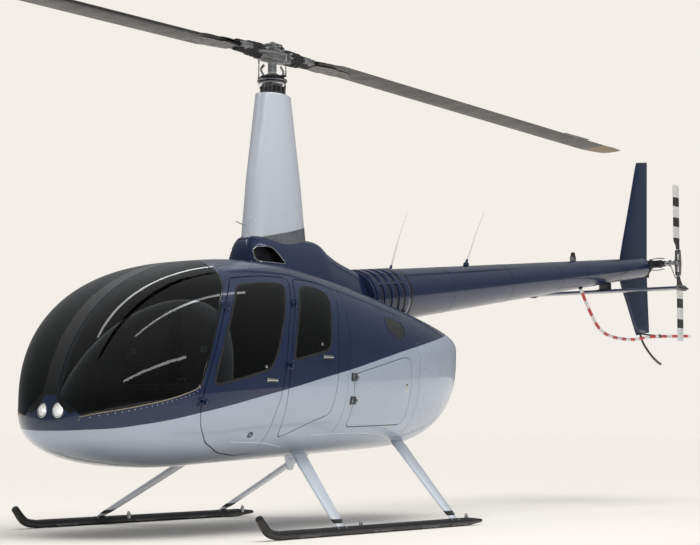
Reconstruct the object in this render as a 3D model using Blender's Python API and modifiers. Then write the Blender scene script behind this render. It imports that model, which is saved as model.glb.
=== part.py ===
"""Light turbine helicopter on skids: one named object per real piece.

Metres, +Z up, nose towards -Y, port side +X. Stations are measured from the rotor mast,
and everything hangs on the mast datum empty, so that the origin is the middle of the footprint.
"""
import math

import bmesh
import bpy
from mathutils import Matrix, Vector

# Overall layout, in metres from the mast axis
MAST_Y = -0.715
GAP = 0.0004
DOOR_GAP = 0.0084
SKIN = 0.030
GLASS = 0.005

# Fuselage pod: stations of nose and stern, widest half width, roof and belly heights
NOSE_Y, NOSE_Z = -2.16, 0.736
STERN_Y, STERN_Z = 2.07, 1.344
HALF_WIDTH = 0.735
ROOF_Z = 1.836
BELLY_Z, BELLY_SLOPE = 0.437, 0.045
WIDEST_Z = 1.014
POD_STATIONS = 26
POD_RING = 32

# Rotors
ROTOR_RADIUS = 5.03
ROTOR_HUB_Z = 3.385
BLADE_CHORD = 0.255
BLADE_THICK = 0.030
BLADE_DROOP = 0.07
SHAFT_RADIUS = 0.032
GEARBOX_TOP = 1.725
TAIL_HUB = (0.356, 5.89, 2.307)
TAIL_BLADE_ROOT, TAIL_BLADE_TIP = 0.1304, 0.762
TAIL_CHORD = 0.130

# Tail cone: centre height and radius at two stations
CONE_FRONT_Y, CONE_REAR_Y = 0.98, 5.80
CONE_Z_AT_2, CONE_Z_SLOPE = 1.7925, 0.1255
CONE_R_AT_2, CONE_R_SLOPE = 0.1925, -0.0258

# Landing gear
SKID_X = 1.067
SKID_R = 0.030
SKID_FRONT_Y, SKID_REAR_Y = -1.24, 1.117
FOOT_Y_FRONT, FOOT_Y_REAR = -0.602, 0.740
LEG_HALF_WIDE, LEG_HALF_LOW, LEG_HALF_HIGH = 0.020, 0.048, 0.078

# Cabin
FLOOR_Z = 0.600
FLOOR_THICK = 0.016
SEAT_Z = 0.86
SEAM_LEAN, SILL_TOP, SILL_RUN = 0.35, 0.95, 0.25
SPLIT_BOTTOM = (-0.12, 0.40)
SPLIT_TOP = (0.055, 1.90)

for old in list(bpy.data.objects):
    bpy.data.objects.remove(old, do_unlink=True)

parts = bpy.data.collections.new("helicopter")
cutters = bpy.data.collections.new("cutters")
bpy.context.scene.collection.children.link(parts)
bpy.context.scene.collection.children.link(cutters)

datum = bpy.data.objects.new("mast_datum", None)
datum.location = (0.0, MAST_Y, 0.0)
parts.objects.link(datum)


def material(name, colour, roughness, metallic=0.0, alpha=1.0):
    """A Principled material with a plain colour."""
    mat = bpy.data.materials.get(name) or bpy.data.materials.new(name)
    mat.use_nodes = True
    shader = mat.node_tree.nodes["Principled BSDF"]
    shader.inputs["Base Color"].default_value = (*colour, 1.0)
    shader.inputs["Roughness"].default_value = roughness
    shader.inputs["Metallic"].default_value = metallic
    shader.inputs["Alpha"].default_value = alpha
    mat.diffuse_color = (*colour, alpha)
    return mat


LIGHT_PAINT = material("light_paint", (0.42, 0.49, 0.62), 0.25)
DARK_PAINT = material("dark_paint", (0.030, 0.045, 0.110), 0.25)
BLACK_PAINT = material("black_paint", (0.012, 0.012, 0.014), 0.40)
GLAZING = material("glazing", (0.05, 0.05, 0.055), 0.05, alpha=0.45)
STEEL = material("steel", (0.55, 0.56, 0.58), 0.30, 1.0)
TRIM = material("trim", (0.05, 0.05, 0.055), 0.70)
LEATHER = material("leather", (0.10, 0.09, 0.085), 0.55)
WHITE_PAINT = material("white_paint", (0.85, 0.85, 0.85), 0.30)
LAMP = material("lamp", (0.75, 0.78, 0.80), 0.10)


def add_object(name, data, mat=None, collection=parts):
    """Links a new object under the mast datum."""
    obj = bpy.data.objects.new(name, data)
    collection.objects.link(obj)
    obj.parent = datum
    if mat is not None:
        data.materials.append(mat)
    if collection is cutters:
        obj.hide_render = True
        obj.display_type = "WIRE"
    return obj


def mesh_object(name, bm, mat=None, collection=parts):
    """Turns a bmesh into an object with outward faces."""
    bmesh.ops.recalc_face_normals(bm, faces=bm.faces)
    mesh = bpy.data.meshes.new(name)
    bm.to_mesh(mesh)
    bm.free()
    return add_object(name, mesh, mat, collection)


def set_pivot(obj, point):
    """Moves an object's origin onto a point without moving its shape."""
    obj.data.transform(Matrix.Translation(-Vector(point)))
    obj.location = point


def smooth(obj, angle=35.0):
    """Shades a round piece smooth, with sharp edges kept."""
    obj.data.shade_smooth()
    obj.data.set_sharp_from_angle(angle=math.radians(angle))


def boolean(obj, other, operation="DIFFERENCE"):
    """Adds a live Boolean."""
    mod = obj.modifiers.new(operation.lower(), "BOOLEAN")
    mod.operation = operation
    mod.object = other
    mod.solver = "EXACT"
    return mod


def loft(sections):
    """A closed bmesh through rings of points that all have the same count."""
    bm = bmesh.new()
    rings = [[bm.verts.new(p) for p in ring] for ring in sections]
    count = len(rings[0])
    for a, b in zip(rings, rings[1:]):
        for i in range(count):
            j = (i + 1) % count
            bm.faces.new((a[i], a[j], b[j], b[i]))
    bm.faces.new(rings[0])
    bm.faces.new(list(reversed(rings[-1])))
    return bm


def split(bm):
    """A bmesh cut to triangles the same way each time, so that offset copies keep their distance."""
    bmesh.ops.triangulate(bm, faces=bm.faces, quad_method="FIXED")
    return bm


def box(name, low, high, mat=None, collection=parts, bevel=0.0):
    """A box between two corners, with its edges rounded if asked."""
    bm = bmesh.new()
    bmesh.ops.create_cube(bm, size=1.0)
    size = [h - l for l, h in zip(low, high)]
    centre = [(l + h) / 2 for l, h in zip(low, high)]
    bmesh.ops.scale(bm, vec=size, verts=bm.verts)
    bmesh.ops.translate(bm, vec=centre, verts=bm.verts)
    obj = mesh_object(name, bm, mat, collection)
    if bevel:
        mod = obj.modifiers.new("bevel", "BEVEL")
        mod.width = bevel
        mod.segments = 2
    return obj


def cylinder(name, start, end, radius, mat=None, collection=parts, radius_end=None, sides=24):
    """A round bar or cone between two points."""
    start, end = Vector(start), Vector(end)
    axis = end - start
    bm = bmesh.new()
    bmesh.ops.create_cone(bm, cap_ends=True, segments=sides, radius1=radius,
                          radius2=radius if radius_end is None else radius_end, depth=axis.length)
    turn = Vector((0, 0, 1)).rotation_difference(axis).to_matrix().to_4x4()
    bm.transform(Matrix.Translation((start + end) / 2) @ turn)
    return mesh_object(name, bm, mat, collection)


def tube(name, points, radius, mat=None, collection=parts, kind="NURBS", resolution=4):
    """A round tube along points, as a curve with filled caps."""
    curve = bpy.data.curves.new(name, "CURVE")
    curve.dimensions = "3D"
    curve.bevel_depth = radius
    curve.bevel_resolution = 2
    curve.use_fill_caps = True
    curve.resolution_u = resolution
    spline = curve.splines.new(kind)
    spline.points.add(len(points) - 1)
    for slot, p in zip(spline.points, points):
        slot.co = (*p, 1.0)
    if kind == "NURBS":
        spline.order_u = 4
        spline.use_endpoint_u = True
    return add_object(name, curve, mat, collection)


def to_mesh(obj):
    """Replaces a curve object with its evaluated mesh, caps welded."""
    bpy.context.view_layer.update()
    depsgraph = bpy.context.evaluated_depsgraph_get()
    mesh = bpy.data.meshes.new_from_object(obj.evaluated_get(depsgraph))
    bm = bmesh.new()
    bm.from_mesh(mesh)
    bmesh.ops.remove_doubles(bm, verts=bm.verts, dist=0.0001)
    bmesh.ops.recalc_face_normals(bm, faces=bm.faces)
    bm.to_mesh(mesh)
    bm.free()
    name = obj.name
    collection = obj.users_collection[0]
    bpy.data.objects.remove(obj, do_unlink=True)
    mesh.name = name
    return add_object(name, mesh, None, collection)


def rounded(outline, radius, steps=4):
    """Rounds the corners of a closed outline with short arcs of Bezier shape."""
    points = []
    count = len(outline)
    for i, corner in enumerate(outline):
        corner = Vector(corner)
        before = Vector(outline[i - 1]) - corner
        after = Vector(outline[(i + 1) % count]) - corner
        cut = min(radius, before.length * 0.45, after.length * 0.45)
        a = corner + before.normalized() * cut
        b = corner + after.normalized() * cut
        for k in range(steps + 1):
            t = k / steps
            points.append(tuple((1 - t) ** 2 * a + 2 * t * (1 - t) * corner + t ** 2 * b))
    return points


def grown(outline, distance):
    """Moves each edge of a closed outline outwards by a distance."""
    area = sum(a[0] * b[1] - b[0] * a[1] for a, b in zip(outline, outline[1:] + outline[:1]))
    side = 1.0 if area > 0 else -1.0
    result = []
    count = len(outline)
    for i, corner in enumerate(outline):
        here = Vector(corner)
        into = (here - Vector(outline[i - 1])).normalized()
        out = (Vector(outline[(i + 1) % count]) - here).normalized()
        n1 = Vector((into.y, -into.x)) * side
        n2 = Vector((out.y, -out.x)) * side
        mitre = (n1 + n2).normalized()
        result.append(tuple(here + mitre * (distance / max(0.4, mitre.dot(n1)))))
    return result


# The pod's surface

def taper(y, front, rear, front_power, front_root, rear_power, rear_root):
    """One between the two stations, falling to zero at nose and stern."""
    if y < front:
        share = min(1.0, (front - y) / (front - NOSE_Y))
        return max(0.0, 1.0 - share ** front_power) ** (1.0 / front_root)
    if y > rear:
        share = min(1.0, (y - rear) / (STERN_Y - rear))
        return max(0.0, 1.0 - share ** rear_power) ** (1.0 / rear_root)
    return 1.0


def pod_station(y):
    """Half width, top, bottom and widest height of the pod at a station."""
    share = (y - NOSE_Y) / (STERN_Y - NOSE_Y)
    end_z = NOSE_Z + (STERN_Z - NOSE_Z) * share
    width = HALF_WIDTH * taper(y, -0.95, -0.65, 2.44, 2.42, 2.56, 2.50)
    rise = taper(y, -0.45, -0.45, 2.27, 2.09, 1.48, 1.42)
    sink = taper(y, -1.176, 0.99, 2.34, 2.11, 2.34, 2.44)
    belly = BELLY_Z + BELLY_SLOPE * (y + 1.176)
    top = end_z + (ROOF_Z - end_z) * rise
    bottom = end_z - (end_z - belly) * sink
    middle = end_z + (WIDEST_Z + 0.06 * (y + 0.8) - end_z) * rise * 0.9
    return width, top, bottom, middle


UPPER_POWERS = (3.5, 2.48)
LOWER_POWERS = (2.6, 2.74)


def pod_half_width(y, z):
    """Half width of the pod at a station and height."""
    width, top, bottom, middle = pod_station(y)
    (across, up), reach = (UPPER_POWERS, top - middle) if z > middle else (LOWER_POWERS, middle - bottom)
    share = min(1.0, abs(z - middle) / max(reach, 1e-6))
    return width * (1.0 - share ** up) ** (1.0 / across)


def pod_ring(y):
    """Points round the pod at one station."""
    width, top, bottom, middle = pod_station(y)
    ring = []
    for i in range(POD_RING):
        angle = 2.0 * math.pi * i / POD_RING
        c, s = math.cos(angle), math.sin(angle)
        (across, up), reach = (UPPER_POWERS, top - middle) if s >= 0 else (LOWER_POWERS, middle - bottom)
        x = math.copysign(abs(c) ** (2.0 / across), c) * width
        z = middle + math.copysign(abs(s) ** (2.0 / up), s) * reach
        ring.append((x, y, z))
    return ring


def pod_bmesh(inset=0.0):
    """The pod as a closed surface, moved in along its normals by an inset."""
    bm = bmesh.new()
    rings = []
    for i in range(1, POD_STATIONS):
        share = 0.5 - 0.5 * math.cos(math.pi * i / POD_STATIONS)
        y = NOSE_Y + (STERN_Y - NOSE_Y) * share
        rings.append([bm.verts.new(p) for p in pod_ring(y)])
    nose = bm.verts.new((0.0, NOSE_Y, NOSE_Z))
    stern = bm.verts.new((0.0, STERN_Y, STERN_Z))
    for a, b in zip(rings, rings[1:]):
        for i in range(POD_RING):
            j = (i + 1) % POD_RING
            bm.faces.new((a[i], a[j], b[j], b[i]))
    for i in range(POD_RING):
        j = (i + 1) % POD_RING
        bm.faces.new((nose, rings[0][j], rings[0][i]))
        bm.faces.new((stern, rings[-1][i], rings[-1][j]))
    bmesh.ops.recalc_face_normals(bm, faces=bm.faces)
    split(bm).normal_update()
    if inset:
        moves = [(v, v.normal.copy()) for v in bm.verts]
        for v, normal in moves:
            v.co -= normal * inset
    return bm


def pod_shell(name, outer, inner, mat, collection=parts):
    """A closed shell between two insets of the pod, its inner faces turned round."""
    bm = pod_bmesh(outer)
    other = pod_bmesh(inner)
    bmesh.ops.reverse_faces(other, faces=other.faces)
    scratch = bpy.data.meshes.new("scratch")
    other.to_mesh(scratch)
    other.free()
    bm.from_mesh(scratch)
    bpy.data.meshes.remove(scratch)
    mesh = bpy.data.meshes.new(name)
    bm.to_mesh(mesh)
    bm.free()
    return add_object(name, mesh, mat, collection)


def side_prism(name, outline, inner_x, outer_x, lean=0.0, room=0.0):
    """An outline in Y and Z, grown by some room, run through the side with its aft edge leaning aft outwards.

    A lean also drops the low edge outwards, which is the way a door on a raked hinge line swings.
    """
    near, far = [], []
    first = min(y for y, z in outline)
    length = max(y for y, z in outline) - first
    for (y, z), (edge_y, edge_z) in zip(outline, grown(outline, room)):
        surface = pod_half_width(y, z)
        lean_y = lean * (y - first) / length
        lean_z = -lean * min(1.0, max(0.0, (SILL_TOP - z) / SILL_RUN))
        for x, ring in ((inner_x, near), (outer_x, far)):
            out = abs(x) - surface
            ring.append((x, edge_y + lean_y * out, edge_z + lean_z * out))
    return mesh_object(name, loft([near, far]), None, cutters)


def front_prism(name, outline, y0, y1):
    """An outline in X and Z run fore and aft."""
    return mesh_object(name, loft([[(x, y0, z) for x, z in outline],
                                   [(x, y1, z) for x, z in outline]]), None, cutters)


# Outlines of the openings, as station and height on the pod's side

FRONT_EDGE = [(-1.400, 0.600), (-1.500, 0.700), (-1.525, 0.820), (-1.490, 0.954), (-1.432, 1.110),
              (-1.352, 1.300), (-1.245, 1.490), (-1.105, 1.655)]
FRONT_DOOR = FRONT_EDGE + [(-0.800, 1.690), (-0.525, 1.695), (-0.615, 1.520), (-0.700, 1.330),
                           (-0.755, 1.050), (-0.800, 0.870), (-0.838, 0.760), (-0.830, 0.610),
                           (-0.790, 0.525), (-0.950, 0.512), (-1.200, 0.535)]
FRONT_WINDOW = [(-1.430, 0.950), (-1.385, 1.110), (-1.300, 1.290), (-1.195, 1.470), (-1.085, 1.610),
                (-0.850, 1.640), (-0.605, 1.650), (-0.676, 1.510), (-0.789, 1.263), (-0.828, 1.170),
                (-0.895, 1.070), (-1.163, 1.006)]
REAR_DOOR = [(-0.690, 0.625), (-0.725, 0.700), (-0.722, 0.870), (-0.700, 1.050), (-0.648, 1.330),
             (-0.565, 1.520), (-0.475, 1.690), (-0.200, 1.690), (-0.085, 1.665), (-0.060, 1.570),
             (-0.120, 1.430), (-0.152, 1.300), (-0.170, 1.020), (-0.225, 0.785), (-0.390, 0.740)]
REAR_WINDOW = [(-0.662, 1.130), (-0.608, 1.330), (-0.525, 1.505), (-0.445, 1.640), (-0.276, 1.648),
               (-0.161, 1.616), (-0.155, 1.560), (-0.206, 1.424), (-0.250, 1.218)]
BAGGAGE_DOOR = [(0.030, 0.700), (0.030, 1.060), (0.700, 1.200), (0.800, 1.190), (0.800, 0.720)]
WINDSHIELD = [(-2.600, 0.740), (-2.129, 0.753), (-2.073, 0.778), (-1.905, 0.821), (-1.738, 0.865),
              (-1.573, 0.922), (-1.535, 0.954), (-1.478, 1.110), (-1.398, 1.300), (-1.292, 1.490),
              (-1.215, 1.602), (-1.170, 1.680), (-1.150, 1.730), (-1.085, 1.780), (-1.000, 1.950),
              (-2.600, 1.950)]
STRIP_HALF = 0.060
NOSE_PATCH = [(-0.262, 0.600), (-0.262, 0.748), (-0.110, 0.862), (-0.060, 0.930), (0.060, 0.930),
              (0.110, 0.862), (0.262, 0.748), (0.262, 0.600)]

shell = pod_shell("shell_guide", 0.0, SKIN, None, cutters)
glass_shell = pod_shell("glass_guide", 0.0, GLASS, None, cutters)


def shell_piece(name, mat, source=shell):
    """A copy of the shell guide, ready to be cut."""
    return add_object(name, source.data.copy(), mat)


def sign(side):
    """Plus one to port and minus one to starboard."""
    return 1.0 if side == "port" else -1.0


cabin_region = side_prism("cabin_region", [(-2.6, 0.0), SPLIT_BOTTOM, SPLIT_TOP, (-2.6, 2.4)], -1.2, 1.2)
cowl_region = side_prism("cowl_region", [(3.0, 0.0), (SPLIT_BOTTOM[0] + 0.002, SPLIT_BOTTOM[1]),
                                         (SPLIT_TOP[0] + 0.002, SPLIT_TOP[1]), (3.0, 2.4)], -1.2, 1.2)
nose_patch = front_prism("nose_patch", NOSE_PATCH, -2.6, -1.6)


def stood_off(points, offset):
    """Points on the skin moved outwards by an offset."""
    return [Vector((math.copysign(abs(x) + offset, x), y, z)) for x, y, z in points]


def hinge(door, frame, points, offset, stay_run):
    """Two hinges on a line through points on the skin, stood off outwards by an offset."""
    low, high = (Vector(p) for p in points)
    axis = (high - low).normalized()
    side = math.copysign(1.0, low.x)
    for k, skin_point in enumerate((low, high)):
        centre = skin_point + Vector((side * offset, 0, 0))
        knuckle = cylinder(f"{door.name}_knuckle_{k}", centre - axis * 0.014, centre + axis * 0.014,
                           0.008, None, cutters, sides=8)
        arm_end = skin_point + Vector((-side * 0.014, 0.034, 0))
        arm = cylinder(f"{door.name}_arm_{k}", centre, arm_end, 0.006, None, cutters, sides=7)
        boolean(door, knuckle, "UNION")
        boolean(door, arm, "UNION")
        for m, way in enumerate((-1.0, 1.0)):
            first = centre + axis * way * 0.0145
            last = centre + axis * way * 0.027
            lug = cylinder(f"{door.name}_lug_{k}_{m}", first, last, 0.008, None, cutters, sides=8)
            run = Vector((-side * (offset + 0.0135), -stay_run, 0.0))
            middle = (first + last) / 2
            stay = cylinder(f"{door.name}_stay_{k}_{m}", middle - run * 0.06, middle + run, 0.0052, None,
                            cutters, sides=7)
            boolean(frame, lug, "UNION")
            boolean(frame, stay, "UNION")
    set_pivot(door, stood_off(points, offset)[0])


def on_skin(points, side):
    """Stations and heights put on the pod's skin on either side."""
    return [(pod_half_width(y, z) * sign(side), y, z) for y, z in points]


FRONT_HINGE = [(-1.519, 0.849), (-1.257, 1.468)]
REAR_HINGE = [(-0.712, 1.103), (-0.585, 1.520)]
BAGGAGE_HINGE = [(0.021, 0.880), (0.021, 1.040)]
FRONT_HINGE_OFFSET = 0.034
REAR_HINGE_OFFSET = 0.026
BAGGAGE_HINGE_OFFSET = 0.018


def build_doors(cabin):
    """The four cabin doors with their panes, and their openings in the cabin shell."""
    sets = (("front_door", FRONT_DOOR, FRONT_WINDOW, FRONT_HINGE, FRONT_HINGE_OFFSET, 0.0215),
            ("rear_door", REAR_DOOR, REAR_WINDOW, REAR_HINGE, REAR_HINGE_OFFSET, 0.011))
    for side in ("port", "starboard"):
        way = sign(side)
        for kind, outline, window, points, offset, stay_run in sets:
            name = f"{kind}_{side}"
            edge = rounded(outline, 0.045, 2)
            panel = side_prism(f"{name}_edge", edge, 0.37 * way, 0.95 * way, SEAM_LEAN)
            opening = side_prism(f"{name}_opening", edge, 0.37 * way, 0.95 * way, SEAM_LEAN, DOOR_GAP)
            light = side_prism(f"{name}_light", rounded(window, 0.05, 2), 0.37 * way, 0.95 * way)
            pane = side_prism(f"{name}_pane", rounded(window, 0.05, 2), 0.37 * way, 0.95 * way, room=-GAP)
            boolean(cabin, opening)
            door = shell_piece(name, DARK_PAINT)
            boolean(door, panel, "INTERSECT")
            boolean(door, light)
            hinge(door, cabin, on_skin(points, side), offset, stay_run)
            glass = shell_piece(f"{kind}_window_{side}", GLAZING, glass_shell)
            boolean(glass, pane, "INTERSECT")
            set_pivot(glass, tuple(door.location))


def build_windshield(cabin):
    """The two windshield halves on either side of the centre strip."""
    for side in ("port", "starboard"):
        way = sign(side)
        edge = rounded(WINDSHIELD, 0.03, 2)
        hole = side_prism(f"windshield_hole_{side}", edge, STRIP_HALF * way, 0.95 * way)
        boolean(hole, nose_patch)
        pane = side_prism(f"windshield_pane_{side}", edge, (STRIP_HALF + GAP) * way, 0.95 * way, room=-GAP)
        patch = front_prism(f"nose_patch_{side}", grown(NOSE_PATCH, GAP), -2.6, -1.6)
        boolean(pane, patch)
        boolean(cabin, hole)
        glass = shell_piece(f"windshield_{side}", GLAZING, glass_shell)
        boolean(glass, pane, "INTERSECT")


LAMP_X, LAMP_Z, LAMP_R = 0.069, 0.795, 0.050


def build_cabin():
    """Cabin shell, its glazing and doors, floor and firewall."""
    cabin = shell_piece("cabin_shell", DARK_PAINT)
    boolean(cabin, cabin_region, "INTERSECT")
    build_windshield(cabin)
    for way in (-1.0, 1.0):
        boolean(cabin, cylinder(f"lamp_hole_{way:+.0f}", (way * LAMP_X, -2.4, LAMP_Z),
                                (way * LAMP_X, -2.0, LAMP_Z), LAMP_R + GAP, None, cutters))
    shaft_hole = cylinder("shaft_hole", (0, 0, 1.5), (0, 0, 2.6), 0.060, None, cutters)
    boolean(cabin, shaft_hole)
    build_doors(cabin)

    inner = mesh_object("inner_guide", pod_bmesh(SKIN + GAP), None, cutters)
    slope = (SPLIT_TOP[0] - SPLIT_BOTTOM[0]) / (SPLIT_TOP[1] - SPLIT_BOTTOM[1])
    wall_low = SPLIT_BOTTOM[0] - 0.050
    wall = mesh_object("firewall", loft([
        [(-1, wall_low, 0.4), (-1, wall_low + 0.02, 0.4),
         (-1, wall_low + 0.02 + slope * 1.5, 1.9), (-1, wall_low + slope * 1.5, 1.9)],
        [(1, wall_low, 0.4), (1, wall_low + 0.02, 0.4),
         (1, wall_low + 0.02 + slope * 1.5, 1.9), (1, wall_low + slope * 1.5, 1.9)]]), TRIM)
    boolean(wall, inner, "INTERSECT")
    boolean(wall, box("gearbox_notch", (-0.16 - GAP, -0.4, 1.50 - GAP), (0.16 + GAP, 0.4, 2.0), None,
                      cutters))
    floor = box("cabin_floor", (-1.0, -1.95, FLOOR_Z - FLOOR_THICK), (1.0, -0.152, FLOOR_Z), TRIM)
    boolean(floor, inner, "INTERSECT")
    lamps = box("landing_lights", (-0.13, -2.105, 0.73), (0.13, -2.095, 0.86), LAMP)
    for way in (-1.0, 1.0):
        bulb = cylinder(f"lamp_{way:+.0f}", (way * LAMP_X, -2.150, LAMP_Z), (way * LAMP_X, -2.100, LAMP_Z),
                        LAMP_R, None, cutters)
        boolean(lamps, bulb, "UNION")
    boolean(lamps, mesh_object("lamp_guide", pod_bmesh(0.001), None, cutters), "INTERSECT")
    return inner


def build_cowl(inner):
    """Engine cowling with the baggage door and bay, engine, gearbox and exhaust."""
    cowl = shell_piece("engine_cowl", LIGHT_PAINT)
    boolean(cowl, cowl_region, "INTERSECT")
    edge = rounded(BAGGAGE_DOOR, 0.05, 3)
    boolean(cowl, side_prism("baggage_opening", edge, 0.25, 0.95, room=DOOR_GAP))
    boolean(cowl, bpy.data.objects["shaft_hole"])
    boolean(cowl, cylinder("cone_hole", cone_centre(0.6), cone_centre(2.6), cone_radius(0.6) + GAP,
                           None, cutters, cone_radius(2.6) + GAP, 32))
    exhaust_hole = tube("exhaust_hole", EXHAUST_PATH, 0.125, None, cutters)
    boolean(cowl, to_mesh(exhaust_hole))

    door = shell_piece("baggage_door", LIGHT_PAINT)
    boolean(door, side_prism("baggage_edge", edge, 0.25, 0.95), "INTERSECT")
    hinge(door, cowl, on_skin(BAGGAGE_HINGE, "port"), BAGGAGE_HINGE_OFFSET, 0.024)

    bay = box("baggage_bay", (-0.45, 0.045, 0.665), (0.90, 0.785, 1.055), TRIM)
    boolean(bay, box("bay_pocket", (-0.44, 0.056, 0.677), (0.95, 0.774, 1.043), None, cutters))
    boolean(bay, inner, "INTERSECT")

    cylinder("engine_block", (0, 0.30, 1.2454), (0, 1.22, 1.2454), 0.19, STEEL, sides=20)
    box("main_gearbox", (-0.16, -0.16, 1.50), (0.16, 0.16, GEARBOX_TOP), STEEL, bevel=0.02)
    pipe = to_mesh(tube("exhaust_pipe", EXHAUST_PATH, 0.112))
    pipe.data.materials.append(STEEL)
    bore = [(x, y + dy, z + dz) for (x, y, z), (dy, dz) in zip(EXHAUST_PATH, EXHAUST_RUN_OUT)]
    boolean(pipe, to_mesh(tube("exhaust_bore", bore, 0.102, None, cutters)))


EXHAUST_PATH = [(0, 1.2204, 1.15), (0, 1.36, 1.15), (0, 1.56, 1.02), (0, 1.68, 0.86), (0, 1.770, 0.732)]
EXHAUST_RUN_OUT = [(-0.06, 0.012), (0, 0), (0, 0), (0, 0), (0.035, -0.050)]


def cone_centre(y):
    """Centre line of the tail cone."""
    return Vector((0.0, y, CONE_Z_AT_2 + CONE_Z_SLOPE * (y - 2.0)))


def cone_radius(y):
    """Radius of the tail cone."""
    return CONE_R_AT_2 + CONE_R_SLOPE * (y - 2.0)


def ellipse_ring(z, centre_y, half_x, half_y, count=28):
    """A level oval ring."""
    return [(half_x * math.cos(2 * math.pi * i / count), centre_y + half_y * math.sin(2 * math.pi * i / count), z)
            for i in range(count)]


BASE_STATIONS = [(-0.330, 0.05, 1.930), (-0.310, 0.10, 2.000), (-0.260, 0.145, 2.045), (-0.10, 0.165, 2.055),
                 (0.20, 0.165, 2.055), (0.42, 0.160, 2.050), (0.54, 0.155, 1.990), (0.68, 0.150, 1.935),
                 (0.84, 0.140, 1.895), (0.950, 0.122, 1.881)]
BASE_FOOT = 1.60


def base_rings(room):
    """Arched sections of the mast base fairing, grown all round by some room."""
    rings = []
    last = len(BASE_STATIONS) - 1
    for k, (y, half, top) in enumerate(BASE_STATIONS):
        y += -room if k == 0 else room if k == last else 0.0
        ring = []
        for i in range(17):
            c, s = math.cos(math.pi * i / 16), math.sin(math.pi * i / 16)
            x = (half + room) * math.copysign(abs(c) ** 0.6, c) * (1.0 + 0.45 * (1.0 - s) ** 2)
            ring.append((x, y, BASE_FOOT + (top + room - BASE_FOOT) * max(0.0, s) ** 0.5))
        rings.append(ring)
    return rings


def build_mast():
    """Mast fairing, its base on the roof, and the fixed swashplate."""
    base = mesh_object("mast_base_fairing", split(loft(base_rings(0.0))), DARK_PAINT)
    boolean(base, mesh_object("pod_guide", pod_bmesh(-GAP), None, cutters))
    boolean(base, bpy.data.objects["shaft_hole"])
    for way in (-1.0, 1.0):
        boolean(base, box(f"intake_{way:+.0f}", (way * 0.17 - 0.09, -0.25, 1.85),
                          (way * 0.17 + 0.09, -0.06, 2.02), None, cutters, bevel=0.03))

    low, high = 1.960, 3.085
    outer = loft([ellipse_ring(low, 0.040, 0.130, 0.340), ellipse_ring(2.45, 0.030, 0.120, 0.275),
                  ellipse_ring(high, 0.020, 0.100, 0.160)])
    fairing = mesh_object("mast_fairing", outer, LIGHT_PAINT)
    hollow = loft([ellipse_ring(low - 0.01, 0.040, 0.118, 0.328), ellipse_ring(2.45, 0.030, 0.108, 0.263),
                   ellipse_ring(high + 0.01, 0.020, 0.088, 0.148)])
    boolean(fairing, mesh_object("fairing_hollow", hollow, None, cutters))
    boolean(fairing, mesh_object("fairing_seat", split(loft(base_rings(0.0006))), None, cutters))
    smooth(fairing)

    plate = cylinder("fixed_swashplate", (0, 0, 3.178), (0, 0, 3.198), 0.108, BLACK_PAINT, sides=32)
    boolean(plate, cylinder("swash_sleeve", (0, 0, 3.07), (0, 0, 3.19), 0.058, None, cutters), "UNION")
    boolean(plate, cylinder("swash_foot", (0, 0, 3.0854), (0, 0, 3.10), 0.101, None, cutters, 0.095), "UNION")
    boolean(plate, cylinder("swash_bore", (0, 0, 3.0), (0, 0, 3.3), SHAFT_RADIUS + 0.005, None, cutters))


def aerofoil(chord, thickness, count=9):
    """Points round a blunt-nosed section, nose at a quarter chord ahead of the origin."""
    upper = []
    for i in range(count + 1):
        s = 0.5 - 0.5 * math.cos(math.pi * i / count)
        half = 2.6 * thickness * (0.2969 * math.sqrt(s) - 0.126 * s - 0.3516 * s ** 2
                                  + 0.2843 * s ** 3 - 0.0995 * s ** 4) + 0.0012
        upper.append(((0.25 - s) * chord, half))
    lower = [(x, -h) for x, h in reversed(upper)]
    return upper + lower


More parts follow.
